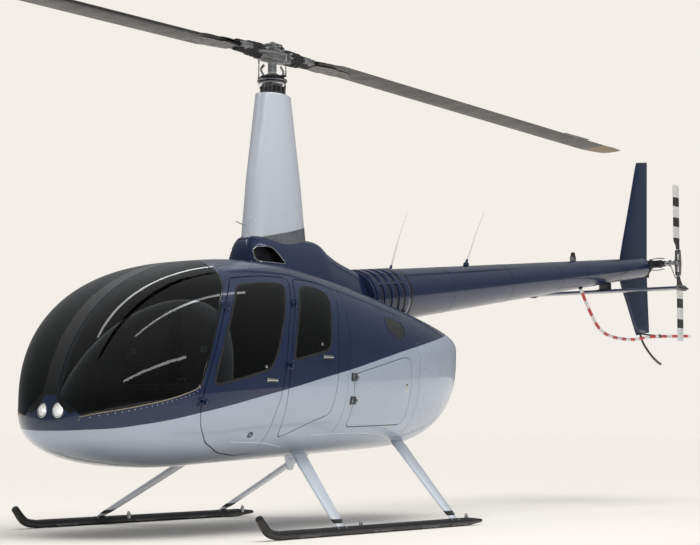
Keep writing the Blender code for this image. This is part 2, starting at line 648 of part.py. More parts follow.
def build_main_rotor():
    """Shaft, head and two blades that turn about the mast."""
    spin = bpy.data.objects.new("main_rotor_axis", None)
    spin.parent = datum
    parts.objects.link(spin)
    shaft = cylinder("rotor_shaft", (0, 0, GEARBOX_TOP + GAP), (0, 0, 3.325), SHAFT_RADIUS, STEEL)
    smooth(shaft)
    upper = cylinder("rotating_swashplate", (0, 0, 3.2035), (0, 0, 3.222), 0.088, BLACK_PAINT, sides=32)
    boolean(upper, cylinder("upper_bore", (0, 0, 3.1), (0, 0, 3.3), SHAFT_RADIUS + GAP, None, cutters))
    for way in (-1.0, 1.0):
        boolean(upper, cylinder(f"swash_ear_{way:+.0f}", (way * 0.07, 0, 3.2127), (way * 0.122, 0, 3.2127),
                                0.008, None, cutters, sides=12), "UNION")
    hub = box("rotor_hub", (-0.055, -0.17, 3.3254), (0.055, 0.17, 3.440), STEEL, bevel=0.012)
    boolean(hub, box("hub_crown", (-0.075, -0.075, 3.40), (0.075, 0.075, 3.475), None, cutters, bevel=0.02),
            "UNION")
    for way in (-1.0, 1.0):
        grip = cylinder(f"grip_{way:+.0f}", (0, way * 0.13, ROTOR_HUB_Z), (0, way * 0.4195, ROTOR_HUB_Z),
                        0.058, None, cutters, 0.046, 20)
        boolean(hub, grip, "UNION")
        horn = tube(f"horn_{way:+.0f}", [(way * -0.04, way * 0.20, 3.37), (way * -0.125, way * 0.12, 3.37),
                                         (way * -0.125, 0, 3.37)], 0.012, None, cutters, "POLY")
        boolean(hub, to_mesh(horn), "UNION")
    for name, way in (("fore", 1.0), ("aft", -1.0)):
        cylinder(f"pitch_link_{name}", (way * 0.125, 0, 3.2212), (way * 0.125, 0, 3.3576), 0.006, STEEL,
                 sides=12)
    for name, way in (("fore", -1.0), ("aft", 1.0)):
        rings = []
        for reach, chord in ((0.42, 0.16), (0.62, BLADE_CHORD), (4.70, BLADE_CHORD + 0.012), (5.03, 0.20)):
            droop = BLADE_DROOP * (reach / ROTOR_RADIUS)
            lead = 0.0 if reach < 4.8 else -0.04
            section = aerofoil(chord, BLADE_THICK / chord)
            rings.append([(-way * (x + lead), way * reach, ROTOR_HUB_Z - droop + h) for x, h in section])
        blade = mesh_object(f"main_blade_{name}", loft(rings), BLACK_PAINT)
        boolean(blade, cylinder(f"root_trim_{name}", (0, way * 0.1, ROTOR_HUB_Z),
                                (0, way * (0.4195 + GAP), ROTOR_HUB_Z), 0.2, None, cutters))
        blade.parent = spin
    for name in ("rotor_shaft", "rotating_swashplate", "rotor_hub", "pitch_link_fore", "pitch_link_aft"):
        bpy.data.objects[name].parent = spin


def build_tail():
    """Tail cone, fin, stabiliser, gearbox, guard and tail skid."""
    cone = cylinder("tailcone", cone_centre(CONE_FRONT_Y), cone_centre(CONE_REAR_Y), cone_radius(CONE_FRONT_Y),
                    DARK_PAINT, parts, cone_radius(CONE_REAR_Y), 32)
    smooth(cone)
    end = cone_centre(CONE_REAR_Y)
    along = (end - cone_centre(CONE_FRONT_Y)).normalized()
    gearbox = cylinder("tail_gearbox", end + along * GAP, end + along * 0.165, 0.075, DARK_PAINT)
    boolean(gearbox, cylinder("tail_output", (0, TAIL_HUB[1], TAIL_HUB[2]), (0.22, TAIL_HUB[1], TAIL_HUB[2]),
                              0.038, None, cutters), "UNION")
    fin_line = [(5.560, 2.310), (5.947, 3.338), (6.185, 3.369), (6.155, 2.380), (6.155, 2.160),
                (6.190, 1.654), (5.906, 1.613), (5.560, 2.150)]
    fin_x, fin_half = -0.115, 0.016
    fin = mesh_object("vertical_fin", loft([[(fin_x - fin_half, y, z) for y, z in fin_line],
                                            [(fin_x + fin_half, y, z) for y, z in fin_line]]), DARK_PAINT)
    mod = fin.modifiers.new("bevel", "BEVEL")
    mod.width = 0.012
    mod.segments = 2
    bridge = box("fin_bridge", (-0.12, 5.58, 2.20), (0.0, 5.78, 2.30), None, cutters)
    boolean(fin, bridge, "UNION")
    boolean(fin, cylinder("fin_cone", cone_centre(5.0), cone_centre(CONE_REAR_Y + 0.1),
                          cone_radius(5.0) + GAP, None, cutters, cone_radius(CONE_REAR_Y + 0.1) + GAP, 32))

    section = aerofoil(0.27, 0.11, 7)
    rings = [[(x, 4.99 - s, 1.985 + h) for s, h in section] for x in (-0.80, 0.80)]
    stabiliser = mesh_object("horizontal_stabiliser", loft(rings), DARK_PAINT)
    for k, y in enumerate((4.98, 5.10)):
        boolean(stabiliser, box(f"stabiliser_post_{k}", (-0.03, y, 1.98), (0.03, y + 0.03, 2.20), None, cutters),
                "UNION")
    boolean(stabiliser, cylinder("post_cone", cone_centre(4.5), cone_centre(5.5), cone_radius(4.5) + GAP,
                                 None, cutters, cone_radius(5.5) + GAP, 32))
    guard = to_mesh(tube("tail_rotor_guard", GUARD_PATH, GUARD_R))
    guard.data.materials.append(WHITE_PAINT)
    boolean(guard, cylinder("guard_cone", cone_centre(4.0), cone_centre(5.0), cone_radius(4.0) + GAP,
                            None, cutters, cone_radius(5.0) + GAP, 32))
    boolean(fin, cylinder("guard_bracket", (fin_x, 5.95, 1.640), (0.12, 5.95, 1.600), 0.012, None, cutters,
                          sides=12), "UNION")
    boolean(fin, to_mesh(tube("guard_room", GUARD_PATH, GUARD_R + GAP, None, cutters)))
    tube("tail_skid", TAIL_SKID_PATH, TAIL_SKID_R, BLACK_PAINT)
    socket = [(x, y, z + lift) for (x, y, z), lift in zip(TAIL_SKID_PATH, (GAP, 0.0, 0.0, 0.0, 0.0))]
    boolean(fin, to_mesh(tube("skid_socket", socket, TAIL_SKID_R + GAP, None, cutters)))


GUARD_R = 0.013
GUARD_PATH = [(0.05, 4.46, 2.000), (0.05, 4.54, 1.900), (0.05, 4.70, 1.720), (0.05, 4.85, 1.600),
              (0.05, 5.10, 1.545), (0.05, 5.58, 1.545), (0.06, 5.74, 1.585), (0.12, 5.95, 1.600),
              (0.20, 6.46, 1.620)]
TAIL_SKID_R = 0.011
TAIL_SKID_PATH = [(-0.115, 5.985, 1.680), (-0.115, 5.995, 1.580), (-0.115, 6.160, 1.461),
                  (-0.115, 6.332, 1.370), (-0.115, 6.440, 1.345)]


def build_tail_rotor():
    """Hub and two blades on the port side of the tail."""
    spin = bpy.data.objects.new("tail_rotor_axis", None)
    spin.location = TAIL_HUB
    spin.parent = datum
    parts.objects.link(spin)
    x, y, z = TAIL_HUB
    hub = cylinder("tail_rotor_hub", (0.2204, y, z), (x + 0.03, y, z), 0.024, STEEL, sides=20)
    boolean(hub, box("tail_yoke", (x - 0.022, y - 0.035, z - 0.13), (x + 0.022, y + 0.035, z + 0.13), None,
                     cutters, bevel=0.01), "UNION")
    set_pivot(hub, TAIL_HUB)
    hub.location = (0, 0, 0)
    hub.parent = spin
    for name, way in (("up", 1.0), ("down", -1.0)):
        section = aerofoil(TAIL_CHORD, 0.12, 7)
        rings = [[(h, -way * s, way * reach) for s, h in section] for reach in (TAIL_BLADE_ROOT, TAIL_BLADE_TIP)]
        blade = mesh_object(f"tail_blade_{name}", loft(rings), WHITE_PAINT)
        blade.parent = spin


def build_gear():
    """Skids and their four legs."""
    pod = bpy.data.objects["pod_guide"]
    for side in ("port", "starboard"):
        way = sign(side)
        path = [(way * SKID_X, SKID_REAR_Y, SKID_R), (way * SKID_X, 0.0, SKID_R),
                (way * SKID_X, SKID_FRONT_Y, SKID_R), (way * SKID_X, SKID_FRONT_Y - 0.10, SKID_R + 0.025),
                (way * SKID_X, SKID_FRONT_Y - 0.19, SKID_R + 0.115)]
        tube(f"skid_{side}", path, SKID_R, BLACK_PAINT, kind="POLY")
        for place, foot_y, top in (("front", FOOT_Y_FRONT, (0.36, -0.205, 0.580)),
                                   ("rear", FOOT_Y_REAR, (0.28, 1.110, 0.640))):
            foot = Vector((way * SKID_X, foot_y, 2 * SKID_R + GAP))
            head = Vector((way * top[0], top[1], top[2]))
            ring = [(math.cos(2 * math.pi * i / 14), math.sin(2 * math.pi * i / 14)) for i in range(14)]
            low = [(foot.x + LEG_HALF_WIDE * a, foot.y + LEG_HALF_LOW * b, foot.z) for a, b in ring]
            high = [(head.x + LEG_HALF_WIDE * a, head.y + LEG_HALF_HIGH * b, head.z) for a, b in ring]
            leg = mesh_object(f"{place}_leg_{side}", loft([low, high]), LIGHT_PAINT)
            boolean(leg, pod)


def build_interior():
    """Seats, instrument console and stick."""
    box("front_seat_base", (-0.49, -1.46, FLOOR_Z + GAP), (0.49, -0.95, SEAT_Z), TRIM, bevel=0.02)
    box("rear_seat_base", (-0.47, -0.66, FLOOR_Z + GAP), (0.47, -0.17, SEAT_Z), TRIM, bevel=0.02)
    for side in ("port", "starboard"):
        way = sign(side)
        near, far = sorted((way * 0.03, way * 0.48))
        box(f"front_cushion_{side}", (near, -1.47, SEAT_Z + GAP), (far, -1.04 - GAP, 0.97), LEATHER, bevel=0.03)
        box(f"front_back_{side}", (near, -1.04, SEAT_Z + GAP), (far, -0.955, 1.50), LEATHER, bevel=0.03)
        near, far = sorted((way * 0.01, way * 0.53))
        box(f"rear_cushion_{side}", (near, -0.66, SEAT_Z + GAP), (far, -0.265 - GAP, 0.96), LEATHER, bevel=0.03)
        box(f"rear_back_{side}", (near, -0.265, SEAT_Z + GAP), (far, -0.185, 1.45), LEATHER, bevel=0.03)
    box("instrument_console", (-0.22, -1.93, FLOOR_Z + GAP), (0.22, -1.66, 1.12), TRIM, bevel=0.03)
    tube("cyclic_stick", [(0, -1.60, FLOOR_Z + GAP), (0, -1.60, 0.80), (0, -1.52, 1.08)], 0.014, BLACK_PAINT,
         kind="POLY")


inner_guide = build_cabin()
build_cowl(inner_guide)
build_mast()
build_main_rotor()
build_tail()
build_tail_rotor()
build_gear()
build_interior()
bpy.context.view_layer.update()
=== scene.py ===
"""Looks of a light turbine helicopter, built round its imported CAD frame.

Every surface is a formula worked out with numpy in metres from the rotor mast, nose towards -Y and port
side towards +X. It is moved onto the frame as it becomes a mesh.
"""
import math

import bpy
import numpy as np
from bpy.props import FloatProperty, FloatVectorProperty, IntProperty, PointerProperty
from mathutils import Matrix, Vector


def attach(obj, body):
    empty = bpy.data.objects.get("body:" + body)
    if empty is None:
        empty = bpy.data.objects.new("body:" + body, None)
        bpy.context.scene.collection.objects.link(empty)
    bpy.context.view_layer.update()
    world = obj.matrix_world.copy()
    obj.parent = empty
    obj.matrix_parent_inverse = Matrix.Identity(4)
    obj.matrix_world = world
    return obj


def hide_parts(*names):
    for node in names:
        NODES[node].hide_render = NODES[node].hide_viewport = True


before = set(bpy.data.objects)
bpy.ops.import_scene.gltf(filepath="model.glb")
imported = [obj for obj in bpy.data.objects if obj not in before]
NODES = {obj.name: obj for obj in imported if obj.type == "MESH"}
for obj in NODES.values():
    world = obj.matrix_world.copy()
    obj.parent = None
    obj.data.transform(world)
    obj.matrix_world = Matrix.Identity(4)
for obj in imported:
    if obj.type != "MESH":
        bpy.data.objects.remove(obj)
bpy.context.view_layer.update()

bl_info = {
    "name": "Light Turbine Helicopter",
    "version": (1, 0, 0),
    "blender": (4, 5, 0),
    "location": "View3D > Sidebar > Helicopter",
    "description": "Panels, glazing, rotors, landing gear, seats and fittings of a light helicopter",
    "category": "Object",
}

MAST = np.array([0.0, -0.715, 0.0])

# The pod's own measures, in metres from the mast
NOSE_Y, NOSE_Z = -2.16, 0.736
STERN_Y, STERN_Z = 2.07, 1.344
HALF_WIDTH = 0.735
ROOF_Z = 1.836
BELLY_Z, BELLY_SLOPE = 0.437, 0.045
WIDEST_Z = 1.014
STRIP_HALF = 0.060
LAMP_X, LAMP_Z, LAMP_R = 0.069, 0.795, 0.050
TAIL_HUB = np.array([0.356, 5.89, 2.307])
HEAD_Z = 3.385
BLADE_TIP, BLADE_DROOP = 5.03, 0.07
CONE_FRONT, CONE_REAR, CONE_RISE = 0.98, 5.80, 0.1255
FIN_X = -0.115
SKID_X = 1.067

# The photo's camera: its place in metres, and its yaw, pitch and roll in degrees
CAMERA_PLACE = (7.86807, -10.49622, 0.68708)
CAMERA_TURN = (-36.226374, 5.075897, 0.149115)

FRONT_EDGE = [(-1.400, 0.600), (-1.500, 0.700), (-1.525, 0.820), (-1.490, 0.954), (-1.432, 1.110),
              (-1.352, 1.300), (-1.245, 1.490), (-1.105, 1.655)]
FRONT_DOOR = FRONT_EDGE + [(-0.800, 1.690), (-0.525, 1.695), (-0.615, 1.520), (-0.700, 1.330),
                           (-0.755, 1.050), (-0.800, 0.870), (-0.838, 0.760), (-0.830, 0.610),
                           (-0.790, 0.525), (-0.950, 0.512), (-1.200, 0.535)]
FRONT_WINDOW = [(-1.430, 0.950), (-1.385, 1.110), (-1.300, 1.290), (-1.195, 1.470), (-1.085, 1.610),
                (-0.850, 1.640), (-0.605, 1.650), (-0.676, 1.510), (-0.789, 1.263), (-0.828, 1.170),
                (-0.895, 1.070), (-1.163, 1.006)]
REAR_DOOR = [(-0.690, 0.625), (-0.725, 0.700), (-0.722, 0.870), (-0.700, 1.050), (-0.648, 1.330),
             (-0.565, 1.520), (-0.475, 1.690), (-0.200, 1.690), (-0.085, 1.665), (-0.060, 1.570),
             (-0.120, 1.430), (-0.152, 1.300), (-0.170, 1.020), (-0.225, 0.785), (-0.390, 0.740)]
REAR_WINDOW = [(-0.662, 1.130), (-0.608, 1.330), (-0.525, 1.505), (-0.445, 1.640), (-0.276, 1.648),
               (-0.161, 1.616), (-0.155, 1.560), (-0.206, 1.424), (-0.250, 1.218)]
BAGGAGE_DOOR = [(0.030, 0.700), (0.030, 1.060), (0.700, 1.200), (0.800, 1.190), (0.800, 0.720)]
WINDSHIELD = [(-2.600, 0.740), (-2.129, 0.753), (-2.073, 0.778), (-1.905, 0.821), (-1.738, 0.865),
              (-1.573, 0.922), (-1.535, 0.954), (-1.478, 1.110), (-1.398, 1.300), (-1.292, 1.490),
              (-1.215, 1.602), (-1.170, 1.680), (-1.150, 1.730), (-1.085, 1.780), (-1.000, 1.950),
              (-2.600, 1.950)]
NOSE_PATCH = [(-0.262, 0.600), (-0.262, 0.748), (-0.110, 0.862), (-0.060, 0.930), (0.060, 0.930),
              (0.110, 0.862), (0.262, 0.748), (0.262, 0.600)]
SPLIT = [(-2.6, 0.0), (-0.12, 0.40), (0.055, 1.90), (-2.6, 2.4)]
PAINT_LINE = [(-2.16, 0.667), (-2.10, 0.676), (-2.02, 0.683), (-1.89, 0.706), (-1.725, 0.737),
              (-1.526, 0.781), (-1.289, 0.830), (-1.013, 0.888), (-0.705, 0.948), (-0.267, 1.041),
              (-0.032, 1.088), (0.488, 1.203), (0.79, 1.265), (1.385, 1.371), (2.10, 1.48)]


class HelicopterPaint(bpy.types.PropertyGroup):
    """Colours that a user would change."""

    upper: FloatVectorProperty(
        name="Upper paint", description="Colour above the waist line", subtype="COLOR",
        default=(0.008, 0.020, 0.066), min=0.0, max=1.0)
    lower: FloatVectorProperty(
        name="Lower paint", description="Colour below the waist line", subtype="COLOR",
        default=(0.42, 0.49, 0.60), min=0.0, max=1.0)
    fairing: FloatVectorProperty(
        name="Mast paint", description="Colour of the mast fairing and legs", subtype="COLOR",
        default=(0.72, 0.77, 0.85), min=0.0, max=1.0)
    seat: FloatVectorProperty(
        name="Seat leather", description="Colour of the seats", subtype="COLOR",
        default=(0.060, 0.052, 0.048), min=0.0, max=1.0)
    warning: FloatVectorProperty(
        name="Guard stripes", description="Colour of the stripes on the tail guard", subtype="COLOR",
        default=(0.62, 0.035, 0.030), min=0.0, max=1.0)
    floor: FloatVectorProperty(
        name="Studio floor", description="Colour of the floor and backdrop", subtype="COLOR",
        default=(0.896, 0.855, 0.807), min=0.0, max=1.0)


class HelicopterSizes(bpy.types.PropertyGroup):
    """Sizes that a user would change."""

    skin: FloatProperty(name="Skin thickness", description="Thickness of the body panels", default=0.006,
                        min=0.003, max=0.012, subtype="DISTANCE", unit="LENGTH")
    pane: FloatProperty(name="Pane thickness", description="Thickness of the windows", default=0.0045,
                        min=0.002, max=0.006, subtype="DISTANCE", unit="LENGTH")
    door_gap: FloatProperty(name="Door gap", description="Width of the gap round each door",
                            default=0.0045, min=0.002, max=0.008, subtype="DISTANCE", unit="LENGTH")
    seam: FloatProperty(name="Seam width", description="Width of the gap between fixed panels",
                        default=0.0022, min=0.001, max=0.005, subtype="DISTANCE", unit="LENGTH")
    cell: FloatProperty(name="Panel mesh", description="Size of the cells of the body panels",
                        default=0.030, min=0.010, max=0.050, subtype="DISTANCE", unit="LENGTH")


class HelicopterStage(bpy.types.PropertyGroup):
    """Light and floor."""

    sky: FloatProperty(name="Sky light", description="Strength of the even light from overhead",
                       default=0.42, min=0.0, max=3.0)
    horizon: FloatProperty(name="Horizon light", description="Strength of the even light at the horizon",
                           default=0.16, min=0.0, max=3.0)
    key: FloatProperty(name="Key light", description="Strength of the large soft light overhead",
                       default=2.02,
                       min=0.0, max=20.0)
    strips: FloatProperty(name="Strip lights", description="Power of each of the long lamps", default=26.0,
                          min=0.0, max=500.0, unit="POWER")
    lens: FloatProperty(name="Lens", description="Focal length of the camera", default=90.42, min=20.0,
                        max=200.0, subtype="DISTANCE_CAMERA")


def paint():
    """The colours in use."""
    return bpy.context.scene.helicopter_paint


def sizes():
    """The sizes in use."""
    return bpy.context.scene.helicopter_sizes


# Arrays of points and faces

def grid_faces(rows, cols, round_rows=False, round_cols=False):
    """Two triangles for each cell of a grid; a round direction joins its last point to its first."""
    r = np.arange(rows if round_rows else rows - 1)
    c = np.arange(cols if round_cols else cols - 1)
    r, c = (a.ravel() for a in np.meshgrid(r, c, indexing="ij"))
    down, along = (r + 1) % rows, (c + 1) % cols
    a, b = r * cols + c, r * cols + along
    d, e = down * cols + along, down * cols + c
    return np.concatenate([np.stack([a, b, d], -1), np.stack([a, d, e], -1)])


def unit(vectors):
    """Vectors divided by their own lengths."""
    vectors = np.asarray(vectors, float)
    return vectors / np.maximum(np.linalg.norm(vectors, axis=-1, keepdims=True), 1e-12)


def weld(points, faces):
    """Merges points closer than two micrometres and drops faces with no area."""
    keys = np.round(points / 2e-6).astype(np.int64)
    _, first, place = np.unique(keys, axis=0, return_index=True, return_inverse=True)
    faces = place.ravel()[faces]
    real = (faces[:, 0] != faces[:, 1]) & (faces[:, 1] != faces[:, 2]) & (faces[:, 2] != faces[:, 0])
    return first, faces[real], real


def volume(points, faces):
    """Signed volume inside a closed surface: the sum of a.(b x c) / 6 over its triangles."""
    a, b, c = (points[faces[:, k]] for k in range(3))
    return np.einsum("ij,ij->i", a, np.cross(b, c)).sum() / 6.0


class Solid:
    """Closed surfaces gathered into one piece, each with a material number and perhaps its own normals."""

    def __init__(self):
        self.points, self.faces, self.marks, self.normals, self.fields = [], [], [], [], []
        self.count = 0

    def add(self, points, faces, mark=0, normals=None, field=0.0):
        """Adds a closed surface, turned so that its faces point outwards."""
        points = np.asarray(points, float).reshape(-1, 3)
        faces = np.asarray(faces)
        first, faces, real = weld(points, faces)
        points = points[first]
        corner = np.zeros((len(faces), 3, 3)) if normals is None else normals[real]
        if volume(points - points.mean(0), faces) < 0.0:
            faces, corner = faces[:, ::-1], corner[:, ::-1]
        mark = np.broadcast_to(np.asarray(mark), (len(real),))[real]
        self.points.append(points)
        self.fields.append(np.broadcast_to(np.asarray(field, float).ravel(),
                                           (len(first) if np.size(field) == 1
                           else np.size(field),))[first if np.size(field) > 1 else slice(None)])
        self.faces.append(faces + self.count)
        self.marks.append(mark)
        self.normals.append(corner)
        self.count += len(points)
        return self

    def join(self, *parts):
        """Takes in the surfaces of other solids."""
        for part in parts:
            self.faces.extend(f + self.count for f in part.faces)
            for name in ("points", "marks", "normals", "fields"):
                getattr(self, name).extend(getattr(part, name))
            self.count += part.count

    def mirrored(self):
        """The same solid on the other side, with X turned round."""
        other = Solid()
        flip = np.array([-1.0, 1.0, 1.0])
        other.points = [p * flip for p in self.points]
        other.faces = [f[:, ::-1] for f in self.faces]
        other.marks = list(self.marks)
        other.normals = [n[:, ::-1] * flip for n in self.normals]
        other.fields = list(self.fields)
        other.count = self.count
        return other


def piece(name, solid, materials, body, stands_for=(), sharp=38.0):
    """Makes one finished object from a solid, moved from the mast's frame to the row frame."""
    points = (np.concatenate(solid.points) + MAST).astype(np.float32)
    faces = np.concatenate(solid.faces).astype(np.int32)
    mesh = bpy.data.meshes.new(name)
    mesh.vertices.add(len(points))
    mesh.vertices.foreach_set("co", points.ravel())
    mesh.loops.add(faces.size)
    mesh.loops.foreach_set("vertex_index", faces.ravel())
    mesh.polygons.add(len(faces))
    mesh.polygons.foreach_set("loop_start", np.arange(0, faces.size, 3, dtype=np.int32))
    mesh.polygons.foreach_set("material_index", np.concatenate(solid.marks).astype(np.int32))
    mesh.update(calc_edges=True)
    field = np.concatenate([np.asarray(f, float) for f in solid.fields])
    if np.any(field):
        mesh.attributes.new("run", "FLOAT", "POINT").data.foreach_set("value", field.astype(np.float32))
    mesh.shade_smooth()
    mesh.set_sharp_from_angle(angle=math.radians(sharp))
    normals = np.concatenate(solid.normals)
    if np.any(normals):
        mesh.normals_split_custom_set(normals.reshape(-1, 3).tolist())
    obj = bpy.data.objects.new(name, mesh)
    bpy.context.scene.collection.objects.link(obj)
    for mat in materials:
        mesh.materials.append(mat)
    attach(obj, body)
    if stands_for:
        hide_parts(*stands_for)
    return obj


def curve(points, count):
    """A smooth curve through points: Catmull-Rom pieces, each a cubic blend of four neighbours."""
    p = np.asarray(points, float)
    p = np.concatenate([[2 * p[0] - p[1]], p, [2 * p[-1] - p[-2]]])
    t = np.linspace(0.0, len(p) - 3 - 1e-9, count)
    k = t.astype(int)
    s = (t - k)[:, None]
    a, b, c, d = p[k], p[k + 1], p[k + 2], p[k + 3]
    return 0.5 * (2 * b + (c - a) * s + (2 * a - 5 * b + 4 * c - d) * s ** 2
                  + (3 * b - a - 3 * c + d) * s ** 3)


def spline(points, count, degree=3):
    """A B-spline with held ends: Cox and de Boor's blend of its control points on even knots."""
    p = np.asarray(points, float)
    n = len(p)
    knots = np.concatenate([np.zeros(degree), np.arange(n - degree + 1),
                            np.full(degree, n - degree)]).astype(float)
    t = np.linspace(0.0, n - degree - 1e-9, count)
    basis = ((t[:, None] >= knots[None, :-1]) & (t[:, None] < knots[None, 1:])).astype(float)
    for d in range(1, degree + 1):
        m = len(knots) - 1 - d
        first, last = knots[d:d + m] - knots[:m], knots[d + 1:d + 1 + m] - knots[1:1 + m]
        a = np.divide(t[:, None] - knots[None, :m], first, out=np.zeros((count, m)), where=first > 0)
        b = np.divide(knots[None, d + 1:d + 1 + m] - t[:, None], last, out=np.zeros((count, m)),
                      where=last > 0)
        basis = a * basis[:, :m] + b * basis[:, 1:m + 1]
    return basis @ p


def even(points, count, loop=False):
    """Points at equal distances along a broken line."""
    p = np.asarray(points, float)
    if loop:
        p = np.concatenate([p, p[:1]])
    run = np.concatenate([[0.0], np.cumsum(np.linalg.norm(np.diff(p, axis=0), axis=1))])
    at = np.linspace(0.0, run[-1], count, endpoint=not loop)
    return np.stack([np.interp(at, run, p[:, k]) for k in range(p.shape[1])], -1)


def rounded(outline, radius, steps=7):
    """A closed outline with each corner replaced by a quadratic arc between points a radius away from it."""
    corner = np.asarray(outline, float)
    before = np.roll(corner, 1, 0) - corner
    after = np.roll(corner, -1, 0) - corner
    reach_b, reach_a = np.linalg.norm(before, axis=1), np.linalg.norm(after, axis=1)
    cut = np.minimum(radius, np.minimum(reach_b, reach_a) * 0.45)[:, None]
    a = corner + unit(before) * cut
    b = corner + unit(after) * cut
    t = np.linspace(0.0, 1.0, steps)[None, :, None]
    arcs = (1 - t) ** 2 * a[:, None] + 2 * t * (1 - t) * corner[:, None] + t ** 2 * b[:, None]
    return arcs.reshape(-1, corner.shape[1])


def ring(sides, start=0.0):
    """Unit points round a circle."""
    turn = start + 2.0 * math.pi * np.arange(sides) / sides
    return np.stack([np.cos(turn), np.sin(turn)], -1)


def capped(sections):
    """Closed surface through rings of points, its two ends drawn in to their middles."""
    sections = np.asarray(sections, float)
    ends = [np.broadcast_to(s.mean(0), s.shape)[None] for s in (sections[0], sections[-1])]
    rows = np.concatenate([ends[0], sections, ends[1]])
    return rows.reshape(-1, 3), grid_faces(rows.shape[0], rows.shape[1], round_cols=True)


def frames(path, up):
    """Unit directions across and over a path, square to its own run."""
    path = np.asarray(path, float)
    run = unit(np.gradient(path, axis=0))
    across = unit(np.cross(run, np.broadcast_to(np.asarray(up, float), path.shape)))
    return across, np.cross(across, run)


def swept(path, section, up=(0.0, 0.0, 1.0), scale=None):
    """A closed flat section carried along a path, square to it, with both ends closed."""
    path = np.asarray(path, float)
    across, over = frames(path, up)
    scale = np.ones(len(path)) if scale is None else np.asarray(scale, float)
    section = np.asarray(section, float)
    rows = (path[:, None] + across[:, None] * section[None, :, :1] * scale[:, None, None]
            + over[:, None] * section[None, :, 1:] * scale[:, None, None])
    return capped(rows)


def pipe(path, radius, sides=16, up=(0.0, 0.0, 1.0), scale=None):
    """A round bar along a path, its ends rounded over by two smaller rings."""
    path = np.asarray(path, float)
    a, b = unit(path[0] - path[1]), unit(path[-1] - path[-2])
    scale = np.ones(len(path)) if scale is None else np.asarray(scale, float)
    lip = radius * 0.3
    path = np.concatenate([[path[0], path[0] - a * lip * 0.35, path[0] - a * lip], path[1:-1],
                           [path[-1] - b * lip, path[-1] - b * lip * 0.35, path[-1]]])
    scale = np.concatenate([[scale[0] * 0.72, scale[0] * 0.92, scale[0]], scale[1:-1],
                            [scale[-1], scale[-1] * 0.92, scale[-1] * 0.72]])
    return swept(path, ring(sides) * radius, up, scale)


def spokes(axis, sides):
    """Unit vectors evenly round an axis and square to it."""
    side = unit(np.cross(axis, (0.0, 0.0, 1.0) if abs(axis[2]) < 0.9 else (0.0, 1.0, 0.0)))
    turn = ring(sides)
    return side * turn[:, :1] + np.cross(axis, side) * turn[:, 1:]


def rounds(profile, centre, axis, sides):
    """Rings of points, one for each (radius, distance) pair of a profile, round an axis through a centre."""
    axis = unit(axis)
    profile = np.asarray(profile, float)
    return (np.asarray(centre, float) + axis * profile[:, None, 1:]
            + spokes(axis, sides)[None] * profile[:, None, :1])


def turned(profile, centre, axis, sides=32):
    """A profile of (radius, distance) pairs turned round an axis through a centre."""
    return capped(rounds(profile, centre, axis, sides))


def edged(profile, radius=0.002, steps=4):
    """An open profile with its inner corners rounded."""
    p = np.asarray(profile, float)
    if len(p) < 3:
        return p
    before, after = p[:-2] - p[1:-1], p[2:] - p[1:-1]
    cut = np.minimum(radius, np.minimum(np.linalg.norm(before, axis=1), np.linalg.norm(after, axis=1)) * 0.45)
    a = p[1:-1] + unit(before) * cut[:, None]
    b = p[1:-1] + unit(after) * cut[:, None]
    t = np.linspace(0.0, 1.0, steps)[None, :, None]
    arcs = (1 - t) ** 2 * a[:, None] + 2 * t * (1 - t) * p[1:-1][:, None] + t ** 2 * b[:, None]
    return np.concatenate([p[:1], arcs.reshape(-1, 2), p[-1:]])


def washer(inner, outer, low, high, edge=0.001):
    """Profile of a ring with a bore, as (radius, distance) pairs that run all the way round."""
    return np.array([(inner, low), (outer - edge, low), (outer, low + edge), (outer, high - edge),
                     (outer - edge, high), (inner, high)])


def hollow(profile, centre, axis, sides=40):
    """A closed profile turned round an axis that it doesn't touch, such as a ring or a sleeve."""
    rows = rounds(profile, centre, axis, sides)
    return rows.reshape(-1, 3), grid_faces(len(profile), sides, True, True)


def slab(outline, low, high, edge, axis=2):
    """A flat outline run from low to high along an axis, its rims rounded by quarter circles.

    The outline shrinks along its own normals by edge (1 - cos t) while the height moves by edge sin t.
    """
    p = np.asarray(outline, float)
    run = unit(np.roll(p, -1, 0) - np.roll(p, 1, 0))
    out = np.stack([run[:, 1], -run[:, 0]], -1)
    area = (p[:, 0] * np.roll(p[:, 1], -1) - np.roll(p[:, 0], -1) * p[:, 1]).sum()
    out = out * (1.0 if area > 0 else -1.0)
    t = np.linspace(0.0, 0.5 * math.pi, 4)
    inset = np.concatenate([edge * (1 - np.sin(t)), edge * (1 - np.sin(t[::-1]))])
    height = np.concatenate([low + edge * (1 - np.cos(t)), high - edge * (1 - np.cos(t[::-1]))])
    flat = p[None] - out[None] * inset[:, None, None]
    rows = np.empty((len(height), len(p), 3))
    rows[:, :, [k for k in range(3) if k != axis]] = flat
    rows[:, :, axis] = height[:, None]
    return capped(rows)


def block(low, high, radius, edge=None, axis=2, steps=5):
    """A box between two corners with rounded upright edges and rounded rims."""
    low, high = np.asarray(low, float), np.asarray(high, float)
    a, b = [k for k in range(3) if k != axis]
    outline = rounded([(low[a], low[b]), (high[a], low[b]), (high[a], high[b]), (low[a], high[b])], radius,
                      steps)
    return slab(outline, low[axis], high[axis], radius * 0.5 if edge is None else edge, axis)


